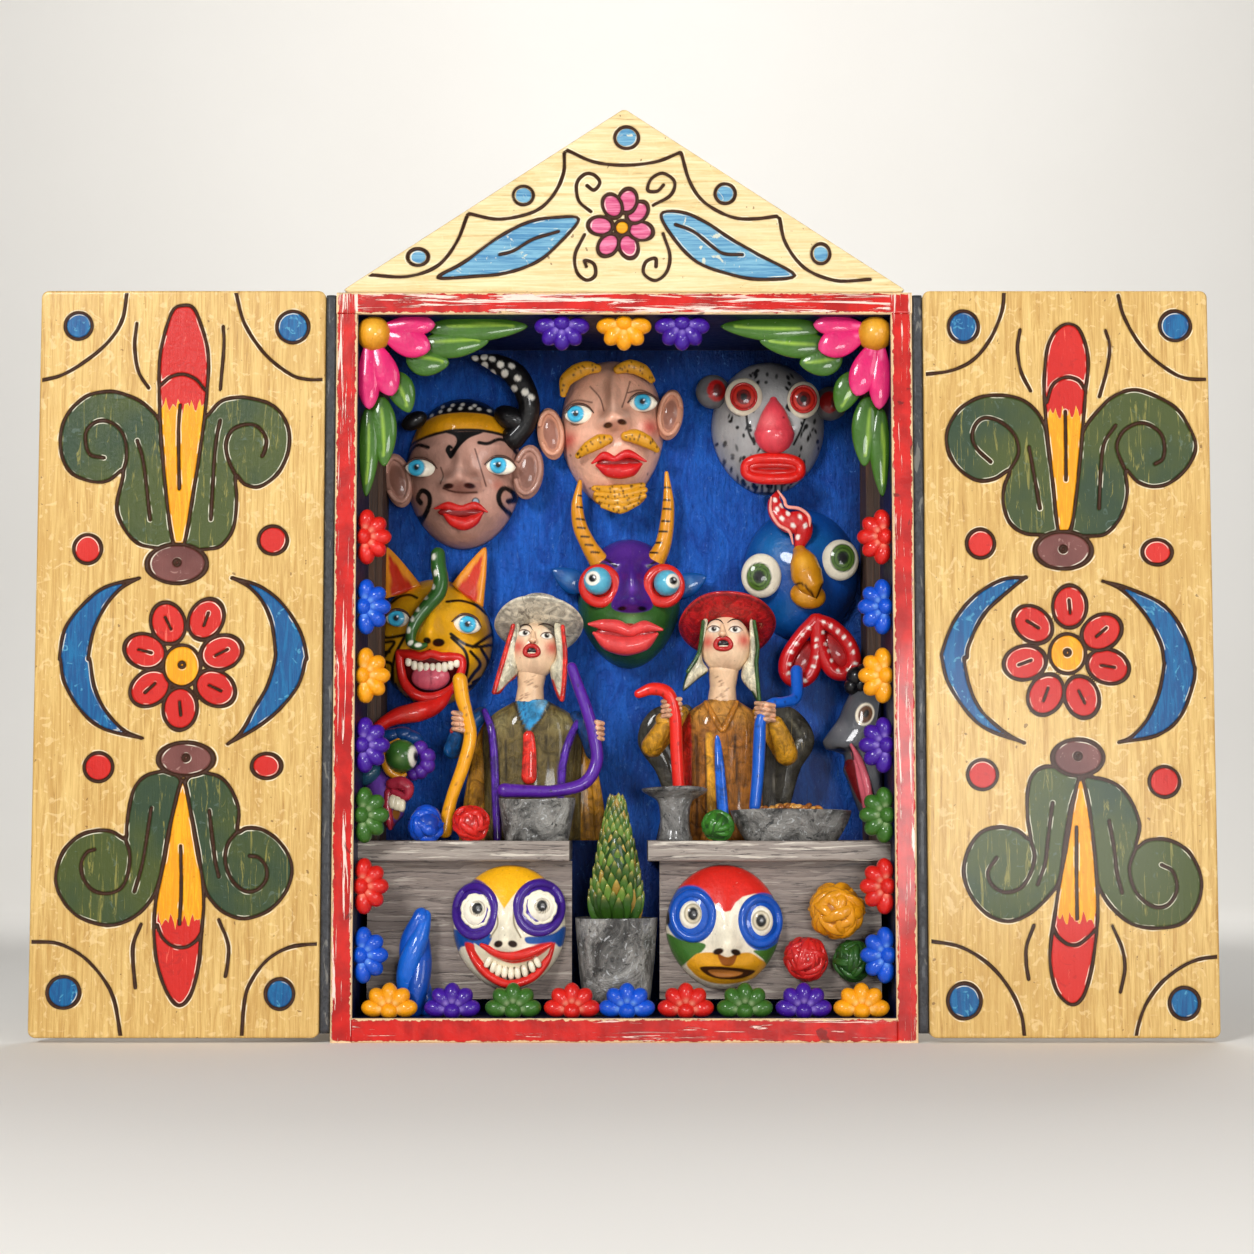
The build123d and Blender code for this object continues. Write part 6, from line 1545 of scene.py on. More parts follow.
# the horned mask
def horned():
    clay = Clay()
    d = 47
    p = lambda u, v: one(straight, d, u, v)
    purple = straight(d, (560, 525), (700, 525), (695, 580), (682, 566), (664, 562), (648, 570), (645, 586), (653, 606),
                      (641, 613), (622, 613), (611, 606), (618, 588), (613, 570), (601, 562), (584, 566), (570, 582))
    # glows: a painted highlight above the lips, painted shade under the lower lip, and painted highlights on the nose
    # and the top of the purple patch
    marks = [("glow", "6f9a62", p(632, 618), 3.4, 0.6), ("glow", "1a3a16", p(628, 660), 6, 0.5),
             ("oval", "c9241c", p(600, 585), (7.0, 7.2)), ("oval", "c9241c", p(663.5, 586), (6.6, 7.2)),
             ("patch", "421c78", purple), ("glow", "7a4ab4", p(632, 590), 1.8, 0.6), ("glow", "6a3aa4", p(628, 546), 5, 0.4),
             ("oval", "0c0414", p(622, 609.5), (1.5, 0.7)), ("oval", "0c0414", p(642, 609.5), (1.5, 0.7)),
             ("line", "150626", straight(d, (580, 566), (600, 557), (616, 566)), 0.9),
             ("line", "150626", straight(d, (648, 566), (664, 557), (682, 568)), 0.9)]
    bumps = [(p(632, 580), 2.8, 7.5, 4.0), (p(632, 603), 5.2, 3.4, 5.2), (p(601, 585), 6, 6, -0.8), (p(663, 585), 6, 6, -0.8),
             (p(600, 562), 6.5, 1.8, 1.8), (p(664, 562), 6.5, 1.8, 1.8), (p(628, 640), 9, 6, 1.2), (p(585, 625), 4, 5, 1.0),
             (p(672, 625), 4, 5, 1.0)]
    makeFace(clay, (1.6, 146.2), (17.8, 16.8, 22.6), 62, "2f5a24", marks, bumps, chin=0.16)
    for (u, v), (iu, iv), r in (((597.5, 580), (592.5, 577.5), 4.8), ((667, 582), (673.5, 580), 4.5)):
        x, z = seen(u, v, 43)
        i = seen(iu, iv, 40)
        # the small white oval in each eye is a painted highlight
        clay.blob((x, 46.2, z), (r, 4.6, r), "58aec8", [("oval", "efe9da", i, (2.5, 2.5)), ("oval", "0a0a0a", i, (1.35, 1.35)),
                                                      ("oval", "f4f4f4", (i[0] + 0.4, i[1] + 0.5), (0.3, 0.3))], rings=36, sides=44)
        t = np.linspace(0, 2 * pi, 40)
        sx, sz = seen((600 if u < 630 else 663.5), 585.5, 46)
        clay.roll(np.column_stack([sx + 5.5 * np.cos(t), np.full(40, 47.0), sz + 5.7 * np.sin(t)]), [1.9], "c8231a", sides=14, count=90, flat=0.7)
    x, z = seen(626, 633, 45)
    clay.blob((x, 45.8, z), (10.5, 1.8, 3.4), "9c1c1e", rings=16, sides=40)
    lips(clay, straight(44, (589, 624), (602, 624.5), (617, 626.5), (630, 631), (645, 626.5), (662, 629.5)),
         straight(44, (594, 633), (608, 642), (626, 646), (644, 642), (657, 634)), 44.4, "d8403f",
         [0.5, 1.9, 2.4, 1.9, 2.2, 0.5], [0.6, 2.9, 3.3, 2.9, 0.6])
    stripes = (c5(52, (1310, 1112), (1303, 1175), (1300, 1240), (1305, 1287), (1325, 1335), (1347, 1380), (1380, 1420)),
               c6(52, (285, 998), (283, 1062), (288, 1108), (282, 1170), (268, 1222), (240, 1278), (222, 1330)))
    for side, route in enumerate((((-8.6, 160.0), (-12.2, 165.6), (-15.4, 172.5), (-16.4, 180), (-15.4, 188.0)),
                                  ((10.4, 160.0), (13.2, 165.6), (14.6, 172.5), (15.2, 181), (14.6, 191.0)))):
        marks = []
        for x, z in stripes[side]:
            marks.append(("line", "140c04", [(x - 1.3, z + 0.1), (x + 1.3, z - 0.1)], 0.7))
        clay.roll([(x, 54 - 0.12 * k, z) for k, (x, z) in enumerate(route)], [3.5, 2.8, 2.5, 2.0, 0.7], "d28a18", marks, sides=32, count=110)
    for a, b in ((c7(56, (1150, 240))[0], c7(56, (990, 145))[0]), (c8(56, (358, 250))[0], c8(56, (522, 180))[0])):
        clay.pad((a[0], 56, a[1]), (b[0], 55, b[1]), 8.6, 3.0, "0a4a8e", [("glow", "5a9ad0", ((a[0] + b[0]) / 2, (a[1] + b[1]) / 2), 1.6, 0.5)],
                 groove=0.6, rows=24, sides=26, widest=0.36, blunt=0.7)
    clay.finish("face_horned", gloss, "case", "purple_paste", ["mask_horned"])


# the parrot mask and the spotted heart
def parrot():
    clay = Clay()
    d = 50
    q = lambda u, v: one(c8, d, u, v)
    # glows: painted light and shade, paler blue towards the top and left, darker at the lower right and beside the beak
    marks = [("glow", "1a6ea6", q(850, 30), 7, 0.6), ("glow", "0f5a94", q(900, 340), 6, 0.6), ("glow", "072a66", q(1200, 330), 8, 0.6),
             ("glow", "0a2658", q(1010, 200), 6, 0.6), ("glow", "1666a0", q(1080, 20), 5, 0.5)]
    makeFace(clay, (61.5, 156.3), (20.2, 13.4, 23.2), 62, "0b4390", marks, [(q(1010, 150), 7, 9, 1.5)], chin=0.05, power=2.6)
    for (u, v), (rx, rz), (iu, iv) in (((792, 172), (6.9, 7.7), (780, 178)), ((1180, 95), (6.4, 7.1), (1192, 85))):
        x, z = one(c8, 47, u, v)
        i = one(c8, 45, iu, iv)
        ringEye(clay, (x, 49.2, z), (rx, 3.3, rz), i, ("e4dcc6", "12200a", "4a6a22", "20380f", "55742c", "182a0c", "040506"),
                ((4.3, 4.9), (4.0, 4.6), (3.1, 3.6), (2.7, 3.1), (2.1, 2.4), (1.4, 1.6)))
        marks = None
    beak = [(x, dd, z) for (x, z), dd in zip(c8(42, (985, 48), (1000, 100), (1015, 165), (1040, 225), (1060, 278)), (48, 45.5, 44.2, 43.8, 44.6))]
    # the paler spot on the beak is a painted highlight
    clay.roll(beak, [2.4, 4.6, 5.4, 4.4, 0.9], "c98512", [("line", "3a2206", c8(42, (948, 222), (985, 215), (1030, 255), (1060, 285), (1085, 225), (1105, 210)), 0.7),
                                                        ("glow", "ecb23c", one(c8, 42, 990, 110), 2.4, 0.5)], sides=36, count=80)
    # the paler spot on the lower beak is a painted highlight
    x, z = one(c8, 44, 1022, 268)
    clay.blob((x, 47.0, z), (6.2, 3.6, 4.6), "b8770e", [("glow", "e4a83a", (x - 1.5, z - 0.6), 2.2, 0.4)], turn=-12, rings=24, sides=36)
    crest = [(x, dd, z) for (x, z), dd in zip(c6(47, (850, 1022), (835, 1072), (848, 1130), (900, 1175), (955, 1180), (975, 1225), (960, 1285)),
                                              (49, 48, 47, 46.6, 46.6, 47, 48))]
    spots = [("oval", "f0e6dc", p, (0.7, 0.95), t) for p, t in
             zip(c6(46, (835, 1060), (870, 1040), (868, 1158), (845, 1110), (925, 1195), (900, 1130), (960, 1150), (985, 1195), (950, 1250), (870, 1090)),
                 (20, -20, 50, 10, 60, 30, 10, -20, 0, 40))]
    clay.roll(crest, [0.9, 2.4, 3.0, 3.6, 4.2, 3.4, 2.0], "c4181a", spots, sides=32, count=90, flat=0.6)
    edge = [(x, dd - 1.6, z) for (x, z), dd in zip(c6(47, (815, 1050), (812, 1120), (850, 1190), (905, 1225), (925, 1285)), (48, 47, 46.4, 46.6, 48))]
    clay.roll(edge, [0.35, 0.6, 0.6, 0.6, 0.3], "ee9a8a", sides=10, count=50)
    edge = [(x, dd - 1.6, z) for (x, z), dd in zip(c6(47, (850, 1015), (880, 1060), (895, 1098), (960, 1112), (1008, 1160), (995, 1250)), (49, 48, 47, 46.4, 46.6, 48))]
    clay.roll(edge, [0.35, 0.6, 0.6, 0.6, 0.6, 0.3], "ee9a8a", sides=10, count=60)
    clay.finish("face_parrot", gloss, "case", "blue_paste", ["mask_parrot"])

    heart = Clay()
    dots = c8(43, (1022, 432), (990, 465), (960, 508), (935, 550), (930, 608), (925, 652), (1095, 402), (1130, 423), (1165, 450),
              (1195, 478), (1225, 512), (1240, 550), (1250, 605), (1215, 637), (1165, 640), (1095, 452), (1060, 488), (1058, 520),
              (1108, 508), (1060, 575), (1045, 620), (1135, 590), (1122, 542), (1005, 690))
    spots = [("dots", "f2ebe0", dots, 0.62)]
    for ring, hollow in ((c8(45, (1055, 395), (985, 470), (920, 570), (912, 650), (960, 692), (1020, 672), (1052, 610), (1066, 520), (1062, 430)), (995, 590)),
                         (c8(45, (1068, 395), (1140, 425), (1215, 500), (1245, 590), (1215, 650), (1150, 648), (1105, 590), (1075, 510), (1066, 430)), (1158, 545))):
        ring = ring + ring[:1]
        heart.roll([(x, 45.0, z) for x, z in ring], [2.5], "be1216", spots, sides=20, count=120)
        x, z = one(c8, 46, *hollow)
        slant = 62 if hollow[0] < 1050 else -58
        heart.blob((x, 47.6, z), (7.6, 2.4, 4.6), "a00f12", [("glow", "6c080a", (x, z + 1), 2.6, 0.7)] + spots, turn=slant, rings=24, sides=36)
    heart.finish("heart_lobes", gloss, "case", "red_paste", ["spotted_heart"])


plumed()
moustached()
speckled()
stripedCat()
horned()
parrot()
print("upper masks")


# ---------- the two wall masks, seen from the side
def cushion(clay, outline, centre, depth, thick, base, marks=(), n=36, count=120, power=2.4):
    # rings drawn in from an outline: depth = front + thick (1 - (1 - r^power)^0.5)
    line = smoothLine(outline, count, closed=True)
    r = np.linspace(0, 1, n)[:, None]
    x = centre[0] + r * (line[:, 0] - centre[0])
    z = centre[1] + r * (line[:, 1] - centre[1])
    y = depth + thick * (1 - np.sqrt(1 - r**power)) + 0 * x
    rows = np.stack([x, y, z], -1)
    clay.add(np.concatenate([rows, rows[-1:]]), base, marks)


def wallMasks():
    clay = Clay()
    d = 30
    q = lambda u, v: one(c8, d, u, v)
    outline = c8(d, (1300, 700), (1245, 730), (1205, 800), (1175, 870), (1125, 940), (1098, 985), (1115, 1022), (1160, 1035),
                 (1200, 1052), (1206, 1090), (1200, 1130), (1225, 1190), (1250, 1270), (1290, 1360), (1330, 1400), (1440, 1390),
                 (1460, 1050), (1455, 720), (1380, 690))
    outline = [(min(x, 86.6), z) for x, z in outline]
    # glows: a painted highlight on the nose and painted shade under it
    marks = [("glow", "7a7a7e", q(1180, 930), 3.0, 0.6), ("glow", "2c2c30", q(1160, 1030), 2.0, 0.6),
             ("oval", "e8dcc4", q(1295, 855), (3.0, 3.9), -20), ("oval", "5a3518", q(1298, 855), (2.3, 3.1), -20),
             ("oval", "0a0604", q(1302, 852), (0.9, 1.4), -20),
             ("patch", "d2606e", c8(d, (1225, 1000), (1262, 1050), (1300, 1130), (1328, 1230), (1330, 1320), (1308, 1362), (1285, 1290), (1262, 1180), (1238, 1080))),
             ("patch", "6a1418", c8(d, (1200, 1095), (1240, 1080), (1262, 1190), (1285, 1290), (1262, 1260), (1228, 1180))),
             ("oval", "141416", q(1180, 1026), (1.7, 0.7), -20), ("line", "26262a", c8(d, (1215, 1010), (1235, 1040), (1240, 1075)), 0.6)]
    cushion(clay, outline, q(1330, 1000), 27, 9.5, "4e4f53", marks, n=60, count=300)
    for u, v, r in ((1262, 668, 3.6), (1240, 715, 2.8), (1300, 650, 3.4), (1285, 705, 3.0), (1330, 672, 3.4)):
        x, z = q(u, v)
        clay.blob((min(x, 83), 33.5, z), (r, r, r), "0d0d10", rings=14, sides=18)
    path = [(x, 27.4, z) for x, z in c8(d, (1228, 1005), (1265, 1075), (1298, 1170), (1316, 1270), (1310, 1350))]
    clay.roll(path, [0.5, 1.2, 1.4, 1.3, 0.6], "d2606e", sides=14, count=50)
    clay.finish("face_profile", gloss, "case", "grey_paste", ["mask_profile"])

    clay = Clay()
    q = lambda u, v: one(c7, d, u, v)
    outline = c7(d, (120, 1110), (200, 1150), (262, 1165), (292, 1200), (290, 1262), (262, 1300), (258, 1345), (235, 1372),
                 (215, 1395), (195, 1420), (165, 1400), (110, 1330), (40, 1250), (30, 1160))
    outline = [(max(x, -86.6), z) for x, z in outline]
    marks = [("patch", "a02a3a", c7(d, (200, 1165), (262, 1165), (300, 1200), (290, 1275), (205, 1262), (195, 1300), (215, 1420), (165, 1440), (172, 1250))),
             ("patch", "e8dcbc", c7(d, (205, 1250), (262, 1275), (268, 1330), (215, 1318), (203, 1280))),
             ("patch", "b0702a", c7(d, (212, 1322), (245, 1330), (230, 1370), (212, 1360))),
             ("patch", "24506a", c7(d, (30, 1120), (90, 1110), (130, 1160), (80, 1200), (30, 1200))),
             ("line", "5a4a34", c7(d, (222, 1255), (220, 1315)), 0.5), ("line", "5a4a34", c7(d, (242, 1262), (240, 1325)), 0.5)]
    cushion(clay, outline, q(170, 1260), 27.5, 8.0, "6a3fa0", marks, n=50, count=240)
    for u, v, w, h in ((214, 1283, 1.5, 2.4), (235, 1290, 1.6, 2.5), (256, 1300, 1.4, 2.2)):
        x, z = q(u, v)
        clay.blob((x, 27.2, z), (w, 1.4, h), "e8dcbc", rings=12, sides=16, power=0.8)
    path = [(x, 27.6, z) for x, z in c7(d, (205, 1195), (250, 1190), (285, 1215), (275, 1255), (215, 1235))]
    clay.roll(path, [1.8, 2.4, 2.2, 1.6, 1.2], "b02c40", sides=16, count=50)
    path = [(x, 28.2, z) for x, z in c7(d, (190, 1240), (186, 1310), (196, 1380), (200, 1412))]
    clay.roll(path, [1.5, 1.5, 1.3, 0.7], "a8283a", sides=14, count=40)
    x, z = q(255, 1060)
    i = q(322, 1066)
    clay.blob((x, 27.6, z), (5.5, 5.5, 5.6), "2f5a1e", [("oval", "e8e4d4", i, (1.9, 3.7), 6), ("oval", "0a0a08", (i[0] + 0.5, i[1]), (0.7, 1.9), 6),
                                                       ("glow", "7ea05a", (x - 0.5, z - 1), 1.4, 0.5)], rings=36, sides=46)
    path = [(x, 28.0, z) for x, z in c7(d, (238, 985), (195, 1020), (180, 1075), (198, 1130), (245, 1160), (272, 1150))]
    clay.roll(path, [0.9, 1.6, 1.9, 1.8, 1.4, 0.7], "d18a14", sides=16, count=60)
    for u, v, r in ((345, 1020, 2.6), (380, 1060, 2.8), (378, 1105, 2.8), (345, 1135, 2.6), (312, 1148, 2.2)):
        x, z = q(u, v)
        clay.blob((x, 29.8, z), (r, r, r), "4a1f8a", rings=14, sides=20)
    for k, (u, v) in enumerate(((150, 985), (200, 958), (255, 950), (300, 968), (110, 1020))):
        x, z = q(u, v)
        clay.blob((max(x, -83), 32.5, z), (4.0, 3.0, 2.6), "0c3a72", turn=20 - 12 * k, rings=14, sides=20)
    x, z = q(95, 1150)
    clay.blob((x, 29.6, z), (4.6, 3.2, 2.8), "1f4a60", turn=40, rings=16, sides=24)
    clay.finish("face_goggle", gloss, "case", "purple_paste", ["mask_goggle"])


wallMasks()


# ---------- the two ring-eyed masks on the table fronts
def ringFaces():
    clay = Clay()
    d = 10.5
    P = lambda *p: c9(d, *p)
    q = lambda u, v: one(c9, d, u, v)
    red = "d2261c"
    lower = P((618, 885), (640, 960), (700, 1055), (800, 1118), (870, 1130), (980, 1100), (1070, 1010), (1108, 890), (1086, 898),
              (1060, 960), (1000, 1040), (900, 1084), (800, 1070), (730, 1000), (680, 930), (665, 888))
    inner = P((668, 890), (730, 1000), (800, 1070), (900, 1084), (1000, 1040), (1062, 955), (1090, 890), (980, 960), (880, 985), (780, 955), (700, 900))
    upper = P((705, 888), (760, 905), (830, 925), (890, 925), (960, 905), (1030, 885), (1098, 882), (1060, 925), (980, 972), (880, 992), (790, 962), (740, 930))
    marks = [("glow", "c8bc98", q(620, 1090), 4, 0.5), ("glow", "c8bc98", q(1090, 1080), 4, 0.5),
             ("poly", "efae14", P((520, 660), (600, 575), (680, 545), (745, 575), (790, 625), (835, 695), (872, 640), (905, 600), (960, 548),
                                  (1050, 540), (1110, 560), (1180, 640), (1150, 430), (850, 400), (560, 430))),
             ("oval", "3f1f86", q(662, 692), (7.2, 9.2)), ("oval", "3f1f86", q(1030, 688), (8.1, 9.2)),
             ("patch", "114a94", P((540, 815), (620, 822), (760, 832), (752, 890), (720, 915), (660, 900), (600, 905), (580, 930), (555, 915))),
             ("patch", "114a94", P((950, 850), (1020, 845), (1100, 830), (1160, 795), (1165, 880), (1130, 908), (1100, 885), (1000, 888), (955, 880))),
             ("patch", "d8cdb0", inner), ("patch", red, lower), ("patch", red, upper),
             ("oval", "2a1c12", q(805, 884), (1.5, 1.1), 20), ("oval", "2a1c12", q(882, 884), (1.5, 1.1), -20),
             ("line", "8a7c60", P((790, 700), (800, 780), (760, 850)), 0.5), ("line", "8a7c60", P((885, 700), (890, 780), (925, 850)), 0.5)]
    for k, (a, b) in enumerate((((735, 985), (760, 1030)), ((768, 1005), (790, 1055)), ((815, 1010), (822, 1072)), ((850, 1018), (852, 1080)),
                                ((888, 1018), (888, 1082)), ((925, 1010), (930, 1072)), ((962, 990), (972, 1050)), ((1000, 965), (1015, 1015)))):
        marks.append(("line", "3c3020", P(a, b), 0.75))
    bumps = [(q(838, 780), 3.4, 7.5, 2.2), (q(842, 872), 4.6, 3.0, 2.8), (q(660, 690), 6.4, 8.4, 0.7), (q(1030, 690), 7.0, 8.4, 0.7),
             (q(880, 930), 9, 2.0, 1.3), (q(870, 1105), 9, 2.2, 1.2), (q(870, 1025), 8, 3.2, -0.5)]
    makeFace(clay, (-37.6, 35.9), (18.5, 10.0, 20.4), 20, "e6dcc2", marks, bumps, chin=0.08, power=2.8)
    dome = onDome((-37.6, 35.9), (18.5, 10.0, 20.4), 20, 2.8)
    for (u, v), (rx, rz), (iu, iv), wave in (((680, 708), (4.6, 5.3), (687, 695), 1), ((1026, 690), (5.2, 5.2), (1038, 681), 2)):
        x, z = q(u, v)
        i = one(c9, 8, iu, iv)
        # the small grey oval in each pupil is a painted highlight
        clay.blob((x, 12.2, z), (rx, 3.0, rz), "efe8d4", [("oval", "8a7a60", i, (2.5, 2.5)), ("oval", "e9e0ca", i, (2.2, 2.2)),
                                                         ("oval", "0b0a0a", i, (1.8, 1.95)), ("oval", "6c6c6c", (i[0] + 0.2, i[1] + 0.2), (0.6, 0.6))],
                  rings=40, sides=50)
        t = np.linspace(0, 2 * pi, 60)
        rag = 1 + 0.03 * np.sin(7 * t + wave) + 0.02 * np.sin(13 * t)
        ax, az = x + (rx - 0.2) * rag * np.cos(t), z + (rz - 0.2) * rag * np.sin(t)
        clay.roll(np.column_stack([ax, np.minimum(dome(ax, az), 11.6) - 0.2, az]), [0.6], "e6dfc6", sides=10, count=120)
        t = np.linspace(0, 2 * pi, 50)
        rx, rz = x + (rx + 1.9) * np.cos(t) - 0.3, z + (rz + 2.6) * np.sin(t) - 0.1
        clay.roll(np.column_stack([rx, dome(rx, rz) - 0.1, rz]), [1.5], "3c1a80", sides=14, count=120)
    path = [(x, 10.0, z) for x, z in P((712, 892), (790, 930), (880, 948), (980, 930), (1085, 888))]
    clay.roll(path, [0.7, 1.6, 2.0, 1.7, 0.6], "cf241b", sides=16, count=60)
    path = [(x, 11.0 + 0.02 * (x + 37.6)**2, z) for x, z in P((640, 890), (668, 965), (735, 1045), (810, 1092), (880, 1104), (985, 1068), (1058, 985), (1094, 895))]
    clay.roll(path, [0.9, 1.3, 1.4, 1.4, 1.4, 1.4, 1.3, 0.8], "cf241b", sides=14, count=80)
    for k, (u, v) in enumerate(((745, 985), (775, 1012), (802, 1030), (835, 1040), (870, 1046), (905, 1044), (943, 1034), (982, 1010), (1012, 985))):
        x, z = q(u, v)
        clay.blob((x, 11.6, z), (1.05, 1.3, 2.0), "e9e0c6", turn=(k - 4) * 6, rings=12, sides=16, power=0.8)
    clay.finish("face_purple_rings", gloss, "case", "yellow_paste", ["mask_purple_rings"])

    clay = Clay()
    P = lambda *p: c10(d, *p)
    q = lambda u, v: one(c10, d, u, v)
    mouth = P((425, 905), (455, 868), (490, 848), (560, 845), (620, 865), (680, 848), (740, 848), (790, 880), (822, 915), (800, 960), (740, 985),
              (650, 1003), (560, 1000), (490, 975), (450, 940))
    marks = [("glow", "c4b894", q(400, 980), 4, 0.4), ("glow", "c4b894", q(850, 960), 4, 0.4),
             ("poly", "cf241a", P((300, 620), (360, 545), (430, 522), (500, 548), (545, 590), (590, 630), (612, 645), (640, 640), (665, 600),
                                  (700, 572), (760, 558), (830, 565), (900, 600), (940, 640), (900, 420), (620, 350), (340, 420))),
             ("oval", "0f4fae", q(445, 660), (8.0, 9.4)), ("oval", "0f4fae", q(800, 697), (7.7, 9.4)),
             ("patch", "3c6a26", P((322, 760), (400, 785), (512, 802), (500, 840), (455, 870), (405, 920), (370, 950), (335, 880))),
             ("patch", "3c6a26", P((752, 838), (820, 832), (895, 800), (905, 850), (870, 935), (835, 935), (800, 880))),
             ("patch", "d4951a", mouth), ("patch", "8a4c14", P((575, 850), (625, 868), (670, 850), (650, 905), (600, 905))),
             ("patch", "3c2110", P((490, 920), (560, 912), (640, 918), (700, 925), (765, 940), (700, 975), (600, 978), (530, 960))),
             ("patch", "a4662c", P((530, 935), (600, 930), (700, 945), (660, 965), (580, 966))),
             ("oval", "2a1c12", q(578, 838), (1.7, 1.0), 20), ("oval", "2a1c12", q(664, 842), (1.7, 1.0), -20),
             ("oval", "14100c", q(330, 680), (1.0, 2.4))]
    bumps = [(q(620, 740), 3.6, 8.5, 2.2), (q(622, 812), 5.2, 4.0, 3.0), (q(445, 660), 7.0, 8.4, 0.7), (q(800, 695), 6.8, 8.4, 0.7),
             (q(620, 925), 11, 4.0, 1.8), (q(625, 942), 7, 1.4, -1.4)]
    makeFace(clay, (32.4, 36.0), (18.8, 10.0, 20.4), 20, "e6dcc4", marks, bumps, chin=0.1, power=2.8)
    dome = onDome((32.4, 36.0), (18.8, 10.0, 20.4), 20, 2.8)
    for (u, v), (rx, rz), (iu, iv) in (((455, 665), (4.3, 4.9), (456, 656)), ((786, 692), (4.2, 5.0), (791, 690))):
        x, z = q(u, v)
        i = one(c10, 8, iu, iv)
        # the small grey oval in each pupil is a painted highlight
        clay.blob((x, 12.2, z), (rx, 3.0, rz), "efe8d4", [("oval", "9a8e74", i, (2.9, 3.3)), ("oval", "cbbfa4", i, (2.5, 2.9)),
                                                         ("oval", "0b0a0a", i, (1.7, 2.1)), ("oval", "5c5c5c", (i[0] + 0.2, i[1] + 0.2), (0.6, 0.7))],
                  rings=40, sides=50)
        t = np.linspace(0, 2 * pi, 50)
        rx, rz = x + (rx + 1.9) * np.cos(t) + 0.1, z + (rz + 2.3) * np.sin(t)
        clay.roll(np.column_stack([rx, dome(rx, rz) - 0.1, rz]), [1.5], "0c4cac", sides=14, count=120)
    clay.finish("face_blue_rings", gloss, "case", "blue_paste", ["mask_blue_rings"])


ringFaces()
print("lower masks")


# ---------- the two figures
def robe(clay, x, depth, heights, wides, deeps, base, marks=(), fold=0.0, n=70, m=110, lean=0.0):
    # a stack of ovals; half sizes follow smooth lines through the given ones, edge folded by fold sin(7 a)
    s = np.linspace(0, len(heights) - 1, n)
    keys = smoothLine(np.column_stack([heights, wides, deeps]), n)
    a = np.linspace(0, 2 * pi, m, endpoint=False)[None]
    h, w, t = (keys[:, i][:, None] for i in range(3))
    wave = 1 + fold * np.sin(7 * a + 1) * (1 - h / max(heights)) + 0.4 * fold * np.sin(13 * a + 2)
    rows = np.stack([x + lean * h + w * wave * np.cos(a), depth + t * wave * np.sin(a), tableZ + h + 0 * a], -1)
    clay.add(np.concatenate([rows[:1], rows, rows[-1:]]), base, marks)


def hat(clay, place, brim, tilt, tone, ring, marks=()):
    # profile of (radius, height) turned, then tipped back about the x axis
    profile = np.array([(0.01, -0.3), (8.0, -0.3), (brim * 0.86, 0.1), (brim * 0.97, 0.5), (brim, 1.1), (brim * 0.97, 1.7),
                        (brim * 0.86, 1.6), (9.6, 1.5), (8.9, 2.2), (8.5, 5.5), (8.0, 8.2), (6.6, 9.3), (0.01, 9.6)])
    line = smoothLine(profile, 90)
    line[:, 0] = np.maximum(line[:, 0], 0.01)
    a = np.linspace(0, 2 * pi, 100, endpoint=False)[None]
    r, h = line[:, 0][:, None], line[:, 1][:, None]
    ripple = 0.35 * np.sin(3 * a + 1) * (r / brim)**3 + 0.2 * np.sin(5 * a) * (r / brim)**3
    c, s = cos(radians(tilt)), sin(radians(tilt))
    x, y, z = r * np.cos(a), r * np.sin(a), h + ripple
    rows = np.stack([place[0] + x, place[1] + y * c + z * s, place[2] + z * c - y * s], -1)
    band = lambda px, py, pz: step(np.abs(np.hypot(px - place[0], ((py - place[1]) * c - (pz - place[2]) * s)) - brim * 0.95) - 0.5, 0.3) * 0.7
    clay.add(rows, tone, [("where", ring, band)] + list(marks))


def hand(clay, view, depth, middle, size, fingers, tone="c79474"):
    x, z = one(view, depth, *middle)
    clay.blob((x, depth, z), size, tone, rings=20, sides=28)
    for a, b in fingers:
        (ax, az), (bx, bz) = view(depth, a, b)
        # the paler middle of each finger is a painted highlight
        clay.roll([(ax, depth - 1.4, az), ((ax + bx) / 2, depth - 2.6, (az + bz) / 2), (bx, depth - 1.6, bz)], [0.8, 0.95, 0.8],
                  tone, [("glow", "e0b494", ((ax + bx) / 2, (az + bz) / 2), 1.0, 0.4)], sides=12, count=24)


def sleeve(clay, view, path, depths, radii, tone):
    line = [(x, d, z) for (x, z), d in zip(view(36, *path), depths)]
    clay.roll(line, radii, tone, sides=26, count=60)


